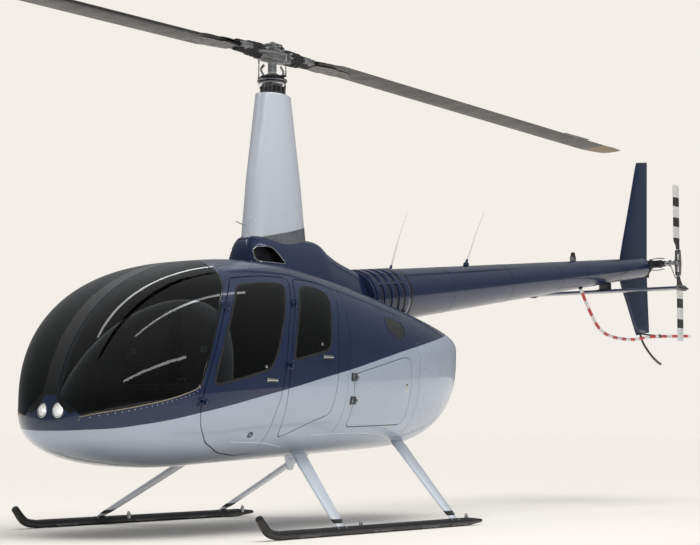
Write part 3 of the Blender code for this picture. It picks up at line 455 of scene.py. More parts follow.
def studs(centres, normals, radius, height, sides=8):
    """Many small domes on a surface: each is a ring, a smaller ring above it and a top point."""
    centres, normals = np.atleast_2d(centres).astype(float), unit(np.atleast_2d(normals))
    helper = np.where(np.abs(normals[:, 2:]) < 0.9, [[0.0, 0.0, 1.0]], [[0.0, 1.0, 0.0]])
    across = unit(np.cross(normals, helper))
    over = np.cross(normals, across)
    turn = ring(sides)
    flat = across[:, None] * turn[None, :, :1] + over[:, None] * turn[None, :, 1:]
    levels = [(1.0, -0.6), (1.0, 0.25), (0.72, 0.85), (0.0, 1.0)]
    rows = [centres[:, None] + flat * radius * wide + normals[:, None] * height * up for wide, up in levels]
    base = centres[:, None] - normals[:, None] * height * 0.6
    rows = np.stack([np.broadcast_to(base, rows[0].shape)] + rows, 1)
    faces = grid_faces(5, sides, round_cols=True)
    shift = np.arange(len(centres)) * 5 * sides
    return rows.reshape(-1, 3), (faces[None] + shift[:, None, None]).reshape(-1, 3)


# Fields and cut surfaces

def outline_field(outline, plane=(1, 2)):
    """Signed distance to a closed outline: negative where a line crosses its edges an odd number of times."""
    a = np.asarray(outline, float)
    b = np.roll(a, -1, 0)
    edge = b - a
    length = np.maximum((edge ** 2).sum(1), 1e-15)

    def field(points):
        p = points[:, plane]
        q = p[:, None] - a[None]
        along = np.clip((q * edge).sum(2) / length, 0.0, 1.0)
        far = ((q - edge * along[..., None]) ** 2).sum(2).min(1)
        over = (a[None, :, 1] > p[:, None, 1]) != (b[None, :, 1] > p[:, None, 1])
        rise = np.where(np.abs(edge[:, 1]) < 1e-12, 1e-12, edge[:, 1])
        left = p[:, None, 0] < a[None, :, 0] + q[..., 1] * (edge[:, 0] / rise)[None]
        inside = (over & left).sum(1) % 2 == 1
        return np.sqrt(far) * np.where(inside, -1.0, 1.0)
    return field


def overlap(a, b, radius=0.0):
    """Distance field of the common part of two regions, with its outer corners rounded."""
    if radius == 0.0:
        return np.maximum(a, b)
    both = np.hypot(np.maximum(a + radius, 0.0), np.maximum(b + radius, 0.0))
    return np.minimum(np.maximum(a, b), -radius) + both


def surface_normals(surface, uv, step=1e-4):
    """Unit normals from the cross product of the surface's two small differences."""
    low, high = np.array([step, 0.0]), np.array([0.0, step])
    first = surface(np.clip(uv + low, [0, -9], [1, 9])) - surface(np.clip(uv - low, [0, -9], [1, 9]))
    second = surface(uv + high) - surface(uv - high)
    normal = np.cross(first, second)
    size = np.linalg.norm(normal, axis=1)
    pole = size < 1e-14
    normal[pole] = np.where(uv[pole, :1] < 0.5, [[0.0, -1.0, 0.0]], [[0.0, 1.0, 0.0]])
    return unit(normal)


def clipped(surface, field, u_range, v_range, cells):
    """Part of a two-parameter surface where a field of its points is below zero, cut along the zero line.

    A grid triangle with some corners outside keeps its inside part. The crossing on each edge comes from
    false position steps on the parameters, so it lies on the surface.
    """
    us = np.linspace(*u_range, cells[0] + 1)
    vs = np.linspace(*v_range, cells[1] + 1)
    uv = np.stack(np.meshgrid(us, vs, indexing="ij"), -1).reshape(-1, 2)
    faces = grid_faces(cells[0] + 1, cells[1] + 1)
    value = field(surface(uv))
    value = np.where(np.abs(value) < 1e-7, -1e-7, value)
    inside = value < 0.0
    kind = inside[faces].sum(1)

    def odd_first(rows, odd):
        turn = (odd[rows].argmax(1)[:, None] + np.arange(3)) % 3
        return np.take_along_axis(rows, turn, 1)

    one = odd_first(faces[kind == 1], inside)
    two = odd_first(faces[kind == 2], ~inside)
    edges = np.sort(np.concatenate([one[:, [0, 1]], one[:, [0, 2]], two[:, [0, 1]], two[:, [0, 2]]]), 1)
    if len(edges):
        edges, place = np.unique(edges, axis=0, return_inverse=True)
        place = place.ravel() + len(uv)
        a, b = uv[edges[:, 0]], uv[edges[:, 1]]
        low, high = np.zeros(len(edges)), np.ones(len(edges))
        at_low, at_high = value[edges[:, 0]], value[edges[:, 1]]
        for _ in range(4):
            share = np.clip(at_low / (at_low - at_high), 0.02, 0.98)
            middle = low + (high - low) * share
            here = field(surface(a + (b - a) * middle[:, None]))
            same = (here < 0) == (at_low < 0)
            low, at_low = np.where(same, middle, low), np.where(same, here, at_low)
            high, at_high = np.where(same, high, middle), np.where(same, at_high, here)
        middle = low + (high - low) * at_low / np.where(at_low == at_high, 1.0, at_low - at_high)
        uv = np.concatenate([uv, a + (b - a) * middle[:, None]])
        n1, n2 = len(one), len(two)
        ab, ac = place[:n1], place[n1:2 * n1]
        cd, ce = place[2 * n1:2 * n1 + n2], place[2 * n1 + n2:]
        cut = [np.stack([one[:, 0], ab, ac], -1), np.stack([cd, two[:, 1], two[:, 2]], -1),
               np.stack([cd, two[:, 2], ce], -1)]
        faces = np.concatenate([faces[kind == 3]] + cut)
    else:
        faces = faces[kind == 3]
    used, faces = np.unique(faces, return_inverse=True)
    return uv[used], faces.reshape(-1, 3)


def panel(solid, surface, field, u_range, v_range, cells, thick, lift=0.0, marks=(0, 1), edge=0.0014):
    """A curved panel: a cut surface, the same surface inset by its thickness, and a rounded rim between.

    The rim leaves the outer face a little inside the field's zero line and turns down over it.
    """
    uv, faces = clipped(surface, lambda p: field(p) + edge, u_range, v_range, cells)
    points = surface(uv)
    normals = surface_normals(surface, uv)
    first, faces, _ = weld(points, faces)
    points, normals = points[first], normals[first]
    sides = np.concatenate([faces[:, [0, 1]], faces[:, [1, 2]], faces[:, [2, 0]]])
    key = np.sort(sides, 1)
    _, place, times = np.unique(key, axis=0, return_inverse=True, return_counts=True)
    rim = sides[times[place.ravel()] == 1]
    lip = np.unique(rim)
    where = np.full(len(points), -1)
    where[lip] = np.arange(len(lip))
    base = points[lip]
    slope = np.zeros((len(lip), 3))
    for k in range(3):
        move = np.zeros(3)
        move[k] = 2e-4
        slope[:, k] = field(base + move) - field(base - move)
    n = normals[lip]
    slope = unit(slope - (slope * n).sum(1, keepdims=True) * n)
    top = points + normals * lift
    turn = base + n * (lift - edge) + slope * edge
    foot = base + n * (lift - thick) + slope * edge
    low = top - normals * thick
    low[lip] = foot
    total = len(points)
    allpoints = np.concatenate([top, low, turn])
    i, j = rim[:, 0], rim[:, 1]
    ti, tj = 2 * total + where[i], 2 * total + where[j]
    quads = [(j, i, ti), (j, ti, tj), (tj, ti, i + total), (tj, i + total, j + total)]
    allfaces = np.concatenate([faces, faces[:, ::-1] + total] + [np.stack(q, -1) for q in quads])
    ni, nj, si, sj = normals[i], normals[j], slope[where[i]], slope[where[j]]
    rims = [(nj, ni, si), (nj, si, sj), (sj, si, si), (sj, si, sj)]
    corners = np.concatenate([normals[faces], -normals[faces[:, ::-1]]] + [np.stack(q, 1) for q in rims])
    mark = np.concatenate([np.full(len(faces), marks[0]), np.full(len(faces), marks[1]),
                           np.full(4 * len(rim), marks[0])])
    solid.add(allpoints, allfaces, mark, corners)
    return solid


# The pod

def taper(y, front, rear, front_power, front_root, rear_power, rear_root):
    """One between two stations, falling to zero at nose and stern as (1 - s^p)^(1/q)."""
    ahead = np.clip((front - y) / (front - NOSE_Y), 0.0, 1.0)
    behind = np.clip((y - rear) / (STERN_Y - rear), 0.0, 1.0)
    return (1 - ahead ** front_power) ** (1 / front_root) * (1 - behind ** rear_power) ** (1 / rear_root)


def pod_station(y):
    """Half width, top, bottom and widest height of the pod at stations."""
    share = (y - NOSE_Y) / (STERN_Y - NOSE_Y)
    end_z = NOSE_Z + (STERN_Z - NOSE_Z) * share
    width = HALF_WIDTH * taper(y, -0.95, -0.65, 2.44, 2.42, 2.56, 2.50)
    rise = taper(y, -0.45, -0.45, 2.27, 2.09, 1.48, 1.42)
    sink = taper(y, -1.176, 0.99, 2.34, 2.11, 2.34, 2.44)
    top = end_z + (ROOF_Z - end_z) * rise
    bottom = end_z - (end_z - BELLY_Z - BELLY_SLOPE * (y + 1.176)) * sink
    middle = end_z + (WIDEST_Z + 0.06 * (y + 0.8) - end_z) * rise * 0.9
    return width, top, bottom, middle


def pod(uv):
    """Pod surface: station from u by a cosine rule, and the direction v round the widest line.

    The distance r along v solves (r cos v / width)^a + (r sin v / reach)^b = 1 by Newton's method, with
    powers 3.5 and 2.48 above the widest line and 2.6 and 2.74 below it.
    """
    y = NOSE_Y + (STERN_Y - NOSE_Y) * (0.5 - 0.5 * np.cos(math.pi * np.clip(uv[:, 0], 0.0, 1.0)))
    width, top, bottom, middle = pod_station(y)
    c, s = np.cos(uv[:, 1]), np.sin(uv[:, 1])
    upper = s >= 0
    a, b = np.where(upper, 3.5, 2.6), np.where(upper, 2.48, 2.74)
    reach = np.maximum(np.where(upper, top - middle, middle - bottom), 1e-7)
    width = np.maximum(width, 1e-7)
    flat, tall = np.abs(c) / width, np.abs(s) / reach
    r = 1.0 / np.maximum(flat, tall)
    for _ in range(9):
        x_term, z_term = (r * flat) ** a, (r * tall) ** b
        r = r * (1 - (x_term + z_term - 1) / (a * x_term + b * z_term))
    return np.stack([r * c, y, middle + r * s], -1)


def pod_half_width(y, z):
    """Half width of the pod at stations and heights."""
    width, top, bottom, middle = pod_station(y)
    upper = z > middle
    a, b = np.where(upper, 3.5, 2.6), np.where(upper, 2.48, 2.74)
    reach = np.maximum(np.where(upper, top - middle, middle - bottom), 1e-6)
    share = np.clip(np.abs(z - middle) / reach, 0.0, 1.0)
    return width * (1.0 - share ** b) ** (1.0 / a)


def pod_normal(points):
    """Outward directions on the pod's side, from the slopes of its half width."""
    y, z = points[:, 1], points[:, 2]
    step = 1e-4
    by_y = (pod_half_width(y + step, z) - pod_half_width(y - step, z)) / (2 * step)
    by_z = (pod_half_width(y, z + step) - pod_half_width(y, z - step)) / (2 * step)
    way = np.sign(points[:, 0])
    return unit(np.stack([way, -by_y, -by_z], -1))


def on_side(line, way=1.0, lift=0.0):
    """Stations and heights put on the pod's skin, and moved off it along its normals."""
    line = np.asarray(line, float)
    points = np.stack([pod_half_width(line[:, 0], line[:, 1]) * way, line[:, 0], line[:, 1]], -1)
    normals = pod_normal(points)
    return points + normals * lift, normals


def station_u(y):
    """The parameter u of a station."""
    return np.arccos(np.clip(1 - 2 * (y - NOSE_Y) / (STERN_Y - NOSE_Y), -1.0, 1.0)) / math.pi


def pod_cells(u_range, v_range, cell):
    """Counts of cells that keep the pod's grid near a size."""
    length = (STERN_Y - NOSE_Y) * abs(np.cos(math.pi * u_range[0]) - np.cos(math.pi * u_range[1])) / 2
    across = 0.78 * (v_range[1] - v_range[0])
    return max(4, int(length * 1.25 / cell)), max(4, int(across / cell))


def pod_panel(solid, field, stations, turn, thick, lift=0.0, marks=(0, 1), cell=None, edge=0.0014):
    """A panel of the pod between two stations and two directions."""
    u_range = tuple(float(station_u(np.float64(y))) for y in stations)
    cells = pod_cells(u_range, turn, cell or sizes().cell)
    return panel(solid, pod, field, u_range, turn, cells, thick, lift, marks, edge)


FULL = (-0.5 * math.pi, 1.5 * math.pi)
PORT = (-0.5 * math.pi, 0.5 * math.pi)

door_edges = {"front_door": outline_field(rounded(FRONT_DOOR, 0.045)),
              "rear_door": outline_field(rounded(REAR_DOOR, 0.045))}
door_windows = {"front_door": outline_field(rounded(FRONT_WINDOW, 0.055)),
                "rear_door": outline_field(rounded(REAR_WINDOW, 0.055))}
baggage_edge = outline_field(rounded(BAGGAGE_DOOR, 0.05))
cabin_region = outline_field(SPLIT)
screen_outline = outline_field(rounded(WINDSHIELD, 0.03))
patch_outline = outline_field(rounded(NOSE_PATCH, 0.03), (0, 2))


def screen_field(points):
    """Signed distance to either windshield half: its outline, less the centre strip and the nose patch."""
    strip = STRIP_HALF - np.abs(points[:, 0])
    patch = np.where(points[:, 1] < -1.6, -patch_outline(points), -1.0)
    return overlap(overlap(screen_outline(points), strip, 0.02), patch, 0.012)


def lamp_field(points):
    """Signed distance to the two lamp openings, ahead of the cabin."""
    far = np.hypot(np.abs(points[:, 0]) - LAMP_X, points[:, 2] - LAMP_Z) - LAMP_R
    return np.where(points[:, 1] < -1.6, far, 1.0)


def cabin_field(points):
    """The cabin skin: the region ahead of the split, less its doors, windshields and lamps."""
    gap = sizes().door_gap
    field = np.maximum(cabin_region(points), -screen_field(points))
    for edge in door_edges.values():
        field = np.maximum(field, gap - edge(points))
    return np.maximum(field, 0.001 - lamp_field(points))


def looped(path, ups, section):
    """A closed flat section carried round a closed path, with its own up direction at each point."""
    path = np.asarray(path, float)
    run = unit(np.roll(path, -1, 0) - np.roll(path, 1, 0))
    across = unit(np.cross(run, ups))
    over = np.cross(across, run)
    section = np.asarray(section, float)
    rows = path[:, None] + across[:, None] * section[None, :, :1] + over[:, None] * section[None, :, 1:]
    return rows.reshape(-1, 3), grid_faces(len(path), len(section), True, True)


def strip_section(low, high, base, top, edge=0.0006):
    """Section of a flat strip with softened upper corners."""
    return [(low, base), (high, base), (high, top - edge), (high - edge, top), (low + edge, top),
            (low, top - edge)]


def placed(points, origin, across, normal):
    """Points given along (across, over, normal) at an origin."""
    normal = unit(normal)
    across = unit(np.asarray(across, float) - np.dot(across, normal) * normal)
    over = np.cross(normal, across)
    return np.asarray(origin, float) + points @ np.stack([across, over, normal])


def sided(solid, side):
    """The port solid, or its mirror image for starboard."""
    return solid if side == "port" else solid.mirrored()


# Finishes

class Finish:
    """One procedural material as it is wired up, on Object coordinates."""

    def __init__(self, name, colour=(0.5, 0.5, 0.5), rough=0.5, metallic=0.0, coat=0.0, coat_rough=0.03):
        self.mat = bpy.data.materials.new(name)
        self.mat.use_nodes = True
        self.tree = self.mat.node_tree
        self.shader = self.tree.nodes["Principled BSDF"]
        self.shader.inputs["Base Color"].default_value = (*colour, 1.0)
        self.shader.inputs["Roughness"].default_value = rough
        self.shader.inputs["Metallic"].default_value = metallic
        self.shader.inputs["Coat Weight"].default_value = coat
        self.shader.inputs["Coat Roughness"].default_value = coat_rough
        self.mat.diffuse_color = (*colour, 1.0)
        self.place = self.node("ShaderNodeTexCoord").outputs["Object"]
        self.height = None

    def node(self, kind, values=(), **settings):
        """A node with some of its inputs linked or set, by name or number."""
        made = self.tree.nodes.new(kind)
        for key, value in settings.items():
            setattr(made, key, value)
        for key, value in dict(values).items():
            if isinstance(value, bpy.types.NodeSocket):
                self.tree.links.new(value, made.inputs[key])
            else:
                made.inputs[key].default_value = value
        return made

    def math(self, operation, a, b=0.0, c=0.0, clamp=False):
        """One sum."""
        return self.node("ShaderNodeMath", {0: a, 1: b, 2: c}, operation=operation,
                         use_clamp=clamp).outputs[0]

    def noise(self, scale, detail=3.0, stretch=(1.0, 1.0, 1.0), rough=0.55):
        """Noise of a scale, drawn out along an axis where stretch is below one."""
        place = self.place
        if stretch != (1.0, 1.0, 1.0):
            place = self.node("ShaderNodeMapping", {"Vector": place, "Scale": stretch}).outputs[0]
        return self.node("ShaderNodeTexNoise", {"Vector": place, "Scale": scale, "Detail": detail,
                                                "Roughness": rough}).outputs["Fac"]

    def ranged(self, value, low, high, to_low=0.0, to_high=1.0):
        """A value carried from one range to another and held there."""
        return self.node("ShaderNodeMapRange", {"Value": value, "From Min": low, "From Max": high,
                                                "To Min": to_low, "To Max": to_high}).outputs[0]

    def mix(self, share, a, b):
        """Colour a where share is nought and b where it is one."""
        made = self.node("ShaderNodeMix", data_type="RGBA")
        for key, value in ((0, share), (6, a), (7, b)):
            if isinstance(value, bpy.types.NodeSocket):
                self.tree.links.new(value, made.inputs[key])
            else:
                made.inputs[key].default_value = value if key == 0 else (*value, 1.0)
        return made.outputs[2]

    def varied(self, colour, share, amount, scale=3.0):
        """A colour made lighter and darker by an amount, following noise."""
        light = tuple(min(1.0, c * (1 + amount)) for c in colour)
        dark = tuple(c * (1 - amount) for c in colour)
        return self.mix(self.noise(scale, 4.0) if share is None else share, dark, light)

    def axis(self, name):
        """One coordinate in the row frame."""
        return self.node("ShaderNodeSeparateXYZ", {0: self.place}).outputs[name]

    def colour(self, socket):
        """Links the base colour."""
        self.tree.links.new(socket, self.shader.inputs["Base Color"])
        return self

    def roughness(self, low, high, scale=20.0, stretch=(1.0, 1.0, 1.0)):
        """Roughness that moves between two values."""
        self.tree.links.new(self.ranged(self.noise(scale, 4.0, stretch), 0.3, 0.7, low, high),
                            self.shader.inputs["Roughness"])
        return self

    def bump(self, height, strength, distance=0.001):
        """One more layer of relief on top of those already there."""
        values = {"Height": height, "Strength": strength, "Distance": distance}
        if self.height is not None:
            values["Normal"] = self.height
        self.height = self.node("ShaderNodeBump", values).outputs[0]
        self.tree.links.new(self.height, self.shader.inputs["Normal"])
        return self


def painted(name, colour, rough=0.32, metallic=0.25, amount=0.10):
    """Sprayed paint under clear coat, slightly cloudy in its colour and its gloss."""
    f = Finish(name, colour, rough, metallic, 0.7)
    f.shader.inputs["Specular IOR Level"].default_value = 0.3
    f.colour(f.varied(colour, f.ranged(f.noise(1.7, 2.0), 0.3, 0.7), amount * 0.4))
    f.roughness(rough * 0.85, rough * 1.2, 1.2)
    return f.mat


def body_paint():
    """Two-tone body paint, parted along a curve of height against station, with painted shade on the belly.
    """
    upper, lower = tuple(paint().upper), tuple(paint().lower)
    f = Finish("body_paint", upper, 0.3, 0.2, 0.7)
    f.shader.inputs["Specular IOR Level"].default_value = 0.3
    y, z = f.axis("Y"), f.axis("Z")
    span, tall = STERN_Y - NOSE_Y, 1.6
    share = f.ranged(y, NOSE_Y + MAST[1], STERN_Y + MAST[1])
    line = f.node("ShaderNodeFloatCurve", {"Value": share})
    points = line.mapping.curves[0].points
    table = [((a - NOSE_Y) / span, b / tall) for a, b in PAINT_LINE]
    points[0].location, points[-1].location = table[0], (1.0, table[-1][1])
    for spot in table[1:-1]:
        points.new(*spot)
    line.mapping.update()
    above = f.ranged(f.math("SUBTRACT", z, f.math("MULTIPLY", line.outputs[0], tall)), -0.0006, 0.0006)
    cloud = f.ranged(f.noise(1.5, 2.0), 0.3, 0.7)
    # Painted shade: the lower colour darkens smoothly to 0.3 of itself from height 0.66 down to the belly at
    # 0.42.
    belly = f.node("ShaderNodeMapRange", {"Value": z, "From Min": 0.42, "From Max": 0.66, "To Min": 0.0,
                                          "To Max": 1.0}, interpolation_type="SMOOTHSTEP").outputs[0]
    painted_belly_shade = f.mix(belly, tuple(c * 0.30 for c in lower), lower)
    pale = f.node("ShaderNodeMix", {0: 1.0, 6: painted_belly_shade, 7: f.varied((0.97, 0.97, 0.97), cloud, 0.03)},
                  data_type="RGBA", blend_type="MULTIPLY").outputs[2]
    f.colour(f.mix(above, pale, f.varied(upper, cloud, 0.05)))
    f.roughness(0.24, 0.34, 1.2)
    return f.mat


def satin(name, colour, rough=0.45, grain=180.0, amount=0.12, relief=0.12, metallic=0.0):
    """Moulded or powder-coated surface: fine pebble grain, uneven sheen and a little dust."""
    f = Finish(name, colour, rough, metallic)
    f.colour(f.varied(colour, f.ranged(f.noise(14.0, 6.0), 0.3, 0.7), amount))
    f.roughness(rough * 0.8, min(1.0, rough * 1.25), 30.0)
    return f.bump(f.noise(grain, 3.0), relief, 0.0006).mat


def metal(name, colour, rough=0.3, stretch=(1.0, 1.0, 1.0), grain=260.0, relief=0.10):
    """Bare metal with brush marks along the stretched axis, stains and uneven polish."""
    f = Finish(name, colour, rough, 1.0)
    stain = f.ranged(f.noise(9.0, 6.0), 0.35, 0.75)
    f.colour(f.mix(stain, tuple(c * 0.72 for c in colour), colour))
    f.roughness(rough * 0.7, rough * 1.35, 40.0, stretch)
    return f.bump(f.noise(grain, 2.0, stretch), relief, 0.0004).mat


def rubber(name, colour=(0.012, 0.012, 0.013), rough=0.62):
    """Black rubber or sealant with a faint bloom."""
    return satin(name, colour, rough, 320.0, 0.25, 0.10)


def smoked(name, tint, rough=0.015):
    """Tinted acrylic pane: light passes straight through it tinted, or is mirrored by Fresnel's law."""
    f = Finish(name, tint, rough)
    haze = f.ranged(f.noise(2.5, 3.0), 0.3, 0.7)
    through = f.node("ShaderNodeBsdfTransparent", {"Color": f.varied(tint, haze, 0.05)})
    relief = f.node("ShaderNodeBump", {"Height": f.noise(3.0, 2.0), "Strength": 0.04,
                                       "Distance": 0.002}).outputs[0]
    mirror = f.node("ShaderNodeBsdfGlossy", {"Color": (0.95, 0.96, 0.97, 1.0), "Normal": relief,
                                             "Roughness": f.ranged(haze, 0.0, 1.0, rough * 0.6, rough * 1.8)})
    share = f.node("ShaderNodeFresnel", {"IOR": 1.42, "Normal": relief}).outputs[0]
    both = f.node("ShaderNodeMixShader", {0: share, 1: through.outputs[0], 2: mirror.outputs[0]})
    f.tree.links.new(both.outputs[0], f.tree.nodes["Material Output"].inputs["Surface"])
    f.tree.nodes.remove(f.shader)
    return f.mat


FINISHES = {}


def finish_of(name):
    """A named finish, made the first time that it is asked for."""
    if name not in FINISHES:
        FINISHES[name] = RECIPES[name]()
    return FINISHES[name]


def leather():
    """Seat leather: small cell grain, and soft creases, the colour lighter where they rise and darker where
    they sink.
    """
    colour = tuple(paint().seat)
    f = Finish("seat_leather", colour, 0.48)
    cells = f.node("ShaderNodeTexVoronoi", {"Vector": f.place, "Scale": 420.0}, feature="DISTANCE_TO_EDGE")
    crease = f.noise(26.0, 5.0)
    f.colour(f.varied(colour, f.ranged(crease, 0.3, 0.7), 0.22))
    f.roughness(0.40, 0.58, 18.0)
    f.bump(f.ranged(cells.outputs[0], 0.0, 0.25), 0.20, 0.0006)
    return f.bump(crease, 0.25, 0.002).mat


def carpet():
    """Looped pile carpet."""
    f = Finish("cabin_carpet", (0.030, 0.031, 0.034), 0.95)
    loops = f.node("ShaderNodeTexVoronoi", {"Vector": f.place, "Scale": 260.0}).outputs[0]
    f.colour(f.mix(loops, (0.045, 0.046, 0.050), (0.016, 0.017, 0.019)))
    return f.bump(loops, 0.7, 0.003).mat


RECIPES = {
    "body": body_paint,
    "navy": lambda: painted("navy_paint", tuple(paint().upper)),
    "silver": lambda: painted("silver_paint", tuple(paint().fairing), 0.30, 0.35, 0.05),
    "mask": lambda: painted("black_mask", (0.003, 0.003, 0.0035), 0.12, 0.0, 0.2),
    "trim": lambda: satin("cabin_trim", (0.050, 0.050, 0.053), 0.6),
    "liner": lambda: satin("cabin_liner", (0.090, 0.088, 0.085), 0.8, 120.0, 0.15, 0.2),
    "rubber": lambda: rubber("seal_rubber"),
    "seal": lambda: rubber("door_seal", (0.085, 0.09, 0.10)),
    "sealant": lambda: satin("edge_sealant", (0.32, 0.27, 0.19), 0.55, 90.0, 0.2, 0.2),
    "smoke": lambda: smoked("smoked_acrylic", (0.62, 0.63, 0.64)),
    "dark_smoke": lambda: smoked("dark_acrylic", (0.50, 0.505, 0.51)),
    "black": lambda: satin("satin_black", (0.014, 0.014, 0.015), 0.38, 150.0, 0.2, 0.08),
    "steel": lambda: metal("bright_steel", (0.60, 0.61, 0.62), 0.28),
    "dark_steel": lambda: metal("dark_steel", (0.16, 0.16, 0.165), 0.42),
    "chrome": lambda: metal("polished_metal", (0.82, 0.83, 0.84), 0.12),
    "cast": lambda: metal("cast_alloy", (0.34, 0.35, 0.36), 0.5, grain=90.0, relief=0.3),
    "leather": leather,
    "carpet": carpet,
}


def several(*names):
    """Finishes in the order of a piece's material numbers."""
    return [finish_of(n) for n in names]


# The fuselage

DOOR_TURN = (-0.5 * math.pi, 0.42 * math.pi)
DOOR_STATIONS = {"front_door": (-1.60, -0.48), "rear_door": (-0.78, -0.02)}


def outward(path, normals, field):
    """Plus one where the section's first axis points out of a region, minus one if not."""
    run = unit(np.roll(path, -1, 0) - np.roll(path, 1, 0))
    across = unit(np.cross(run, normals))
    return 1.0 if (field(path + across * 0.003) - field(path)).mean() > 0 else -1.0


def round_edge(solid, outline, radius, field, low, high, base, top, mark, count=260):
    """A flat strip that follows a rounded outline on the pod's side, from low inside it to high outside."""
    path, normals = on_side(even(rounded(outline, radius), count, True))
    way = outward(path, normals, field)
    section = np.array(strip_section(low, high, base, top)) * [way, 1.0]
    solid.add(*looped(path, normals, section), mark)


def bead(solid, line, width, height, mark, way=1.0, count=60, base=-0.001):
    """A low raised strip along stations and heights on the pod's side."""
    path, normals = on_side(curve(line, count), way)
    run = unit(np.gradient(path, axis=0))
    across = unit(np.cross(run, normals))
    half = width / 2
    section = np.array([(-half, base), (half, base), (half, height * 0.5), (half * 0.5, height),
                        (-half * 0.5, height), (-half, height * 0.5)])
    rows = path[:, None] + across[:, None] * section[None, :, :1] + normals[:, None] * section[None, :, 1:]
    solid.add(*capped(rows), mark)


HINGES = {"front_door": ([(-1.519, 0.849), (-1.257, 1.468)], 0.034),
          "rear_door": ([(-0.712, 1.103), (-0.585, 1.520)], 0.026),
          "baggage_door": ([(0.021, 0.880), (0.021, 1.040)], 0.018)}


def hinge_leaf(points, offset):
    """Door side of two hinges: barrel, strap and foot plate with two screws."""
    solid = Solid()
    skin, normals = on_side(points)
    axis = unit(skin[1] - skin[0])
    for spot, normal in zip(skin, normals):
        centre = spot + np.array([offset, 0.0, 0.0])
        solid.add(*pipe([centre - axis * 0.0138, centre, centre + axis * 0.0138], 0.0082, 20), 1)
        foot = spot + np.array([-0.001, 0.036, 0.0])
        foot[0] = pod_half_width(foot[1], foot[2]) + 0.001
        bend = (centre + foot) / 2 + np.array([0.004, 0.004, 0.0])
        solid.add(*swept(curve([centre, bend, foot], 12), ring(14) * [0.0045, 0.0085], axis), 1)
        plate = slab(rounded([(-0.014, -0.011), (0.020, -0.009), (0.020, 0.009), (-0.014, 0.011)], 0.006),
                     -0.001, 0.0025, 0.0008)
        solid.add(placed(plate[0], foot, (0.0, 1.0, 0.0), normal), plate[1], 1)
        screws = placed(np.array([(0.013, 0.0, 0.0026), (-0.008, 0.006, 0.0026)]), foot, (0.0, 1.0, 0.0),
                        normal)
        solid.add(*studs(screws, np.tile(normal, (2, 1)), 0.0028, 0.0014, 10), 2)
    return solid


def hinge_lugs(points, offset, run):
    """Frame side of two hinges: a lug above and below each barrel on a stay that goes to the skin."""
    solid = Solid()
    skin, normals = on_side(points)
    axis = unit(skin[1] - skin[0])
    for spot, normal in zip(skin, normals):
        centre = spot + np.array([offset, 0.0, 0.0])
        for way in (-1.0, 1.0):
            first, last = centre + axis * way * 0.0148, centre + axis * way * 0.0262
            solid.add(*pipe([first, (first + last) / 2, last], 0.0082, 20), 1)
            foot = (first + last) / 2 + np.array([-offset - 0.002, -run, 0.0])
            solid.add(*swept(curve([(first + last) / 2, foot], 6), ring(12) * [0.0042, 0.0056], axis), 1)
        foot = spot + np.array([0.0, -run, 0.0])
        foot[0] = pod_half_width(foot[1], foot[2]) + 0.0005
        plate = slab(rounded([(-0.010, -0.030), (0.010, -0.030), (0.010, 0.030), (-0.010, 0.030)], 0.006),
                     -0.001, 0.002, 0.0008)
        solid.add(placed(plate[0], foot, (0.0, 1.0, 0.0), normal), plate[1], 1)
        solid.add(*pipe([centre - axis * 0.030, centre, centre + axis * 0.030], 0.0028, 12), 2)
    return solid


def cabin_skin():
    """The cabin skin with its lamp, windshield and door openings."""
    solid = Solid()
    pod_panel(solid, cabin_field, (NOSE_Y, 0.065), FULL, sizes().skin)
    piece("cabin_skin", solid, several("body", "trim"), "airframe", ["cabin_shell"])


def door_surrounds():
    """The flanges and seals that stand behind the door gaps, and the hinge lugs."""
    stays = {"front_door": 0.0215, "rear_door": 0.011}
    outlines = {"front_door": FRONT_DOOR, "rear_door": REAR_DOOR}
    seals, lugs = Solid(), Solid()
    for kind, outline in outlines.items():
        edge = door_edges[kind]
        round_edge(seals, outline, 0.045, edge, -0.014, 0.030, -0.0165, -0.0140, 0)
        round_edge(seals, outline, 0.045, edge, -0.009, -0.001, -0.0140, -0.0095, 1)
        points, offset = HINGES[kind]
        lugs.join(hinge_lugs(points, offset, stays[kind]))
    for side in ("port", "starboard"):
        piece(f"door_seals_{side}", sided(seals, side), several("seal", "rubber"), "airframe")
        piece(f"door_hinge_lugs_{side}", sided(lugs, side), several("body", "body", "steel"), "airframe")


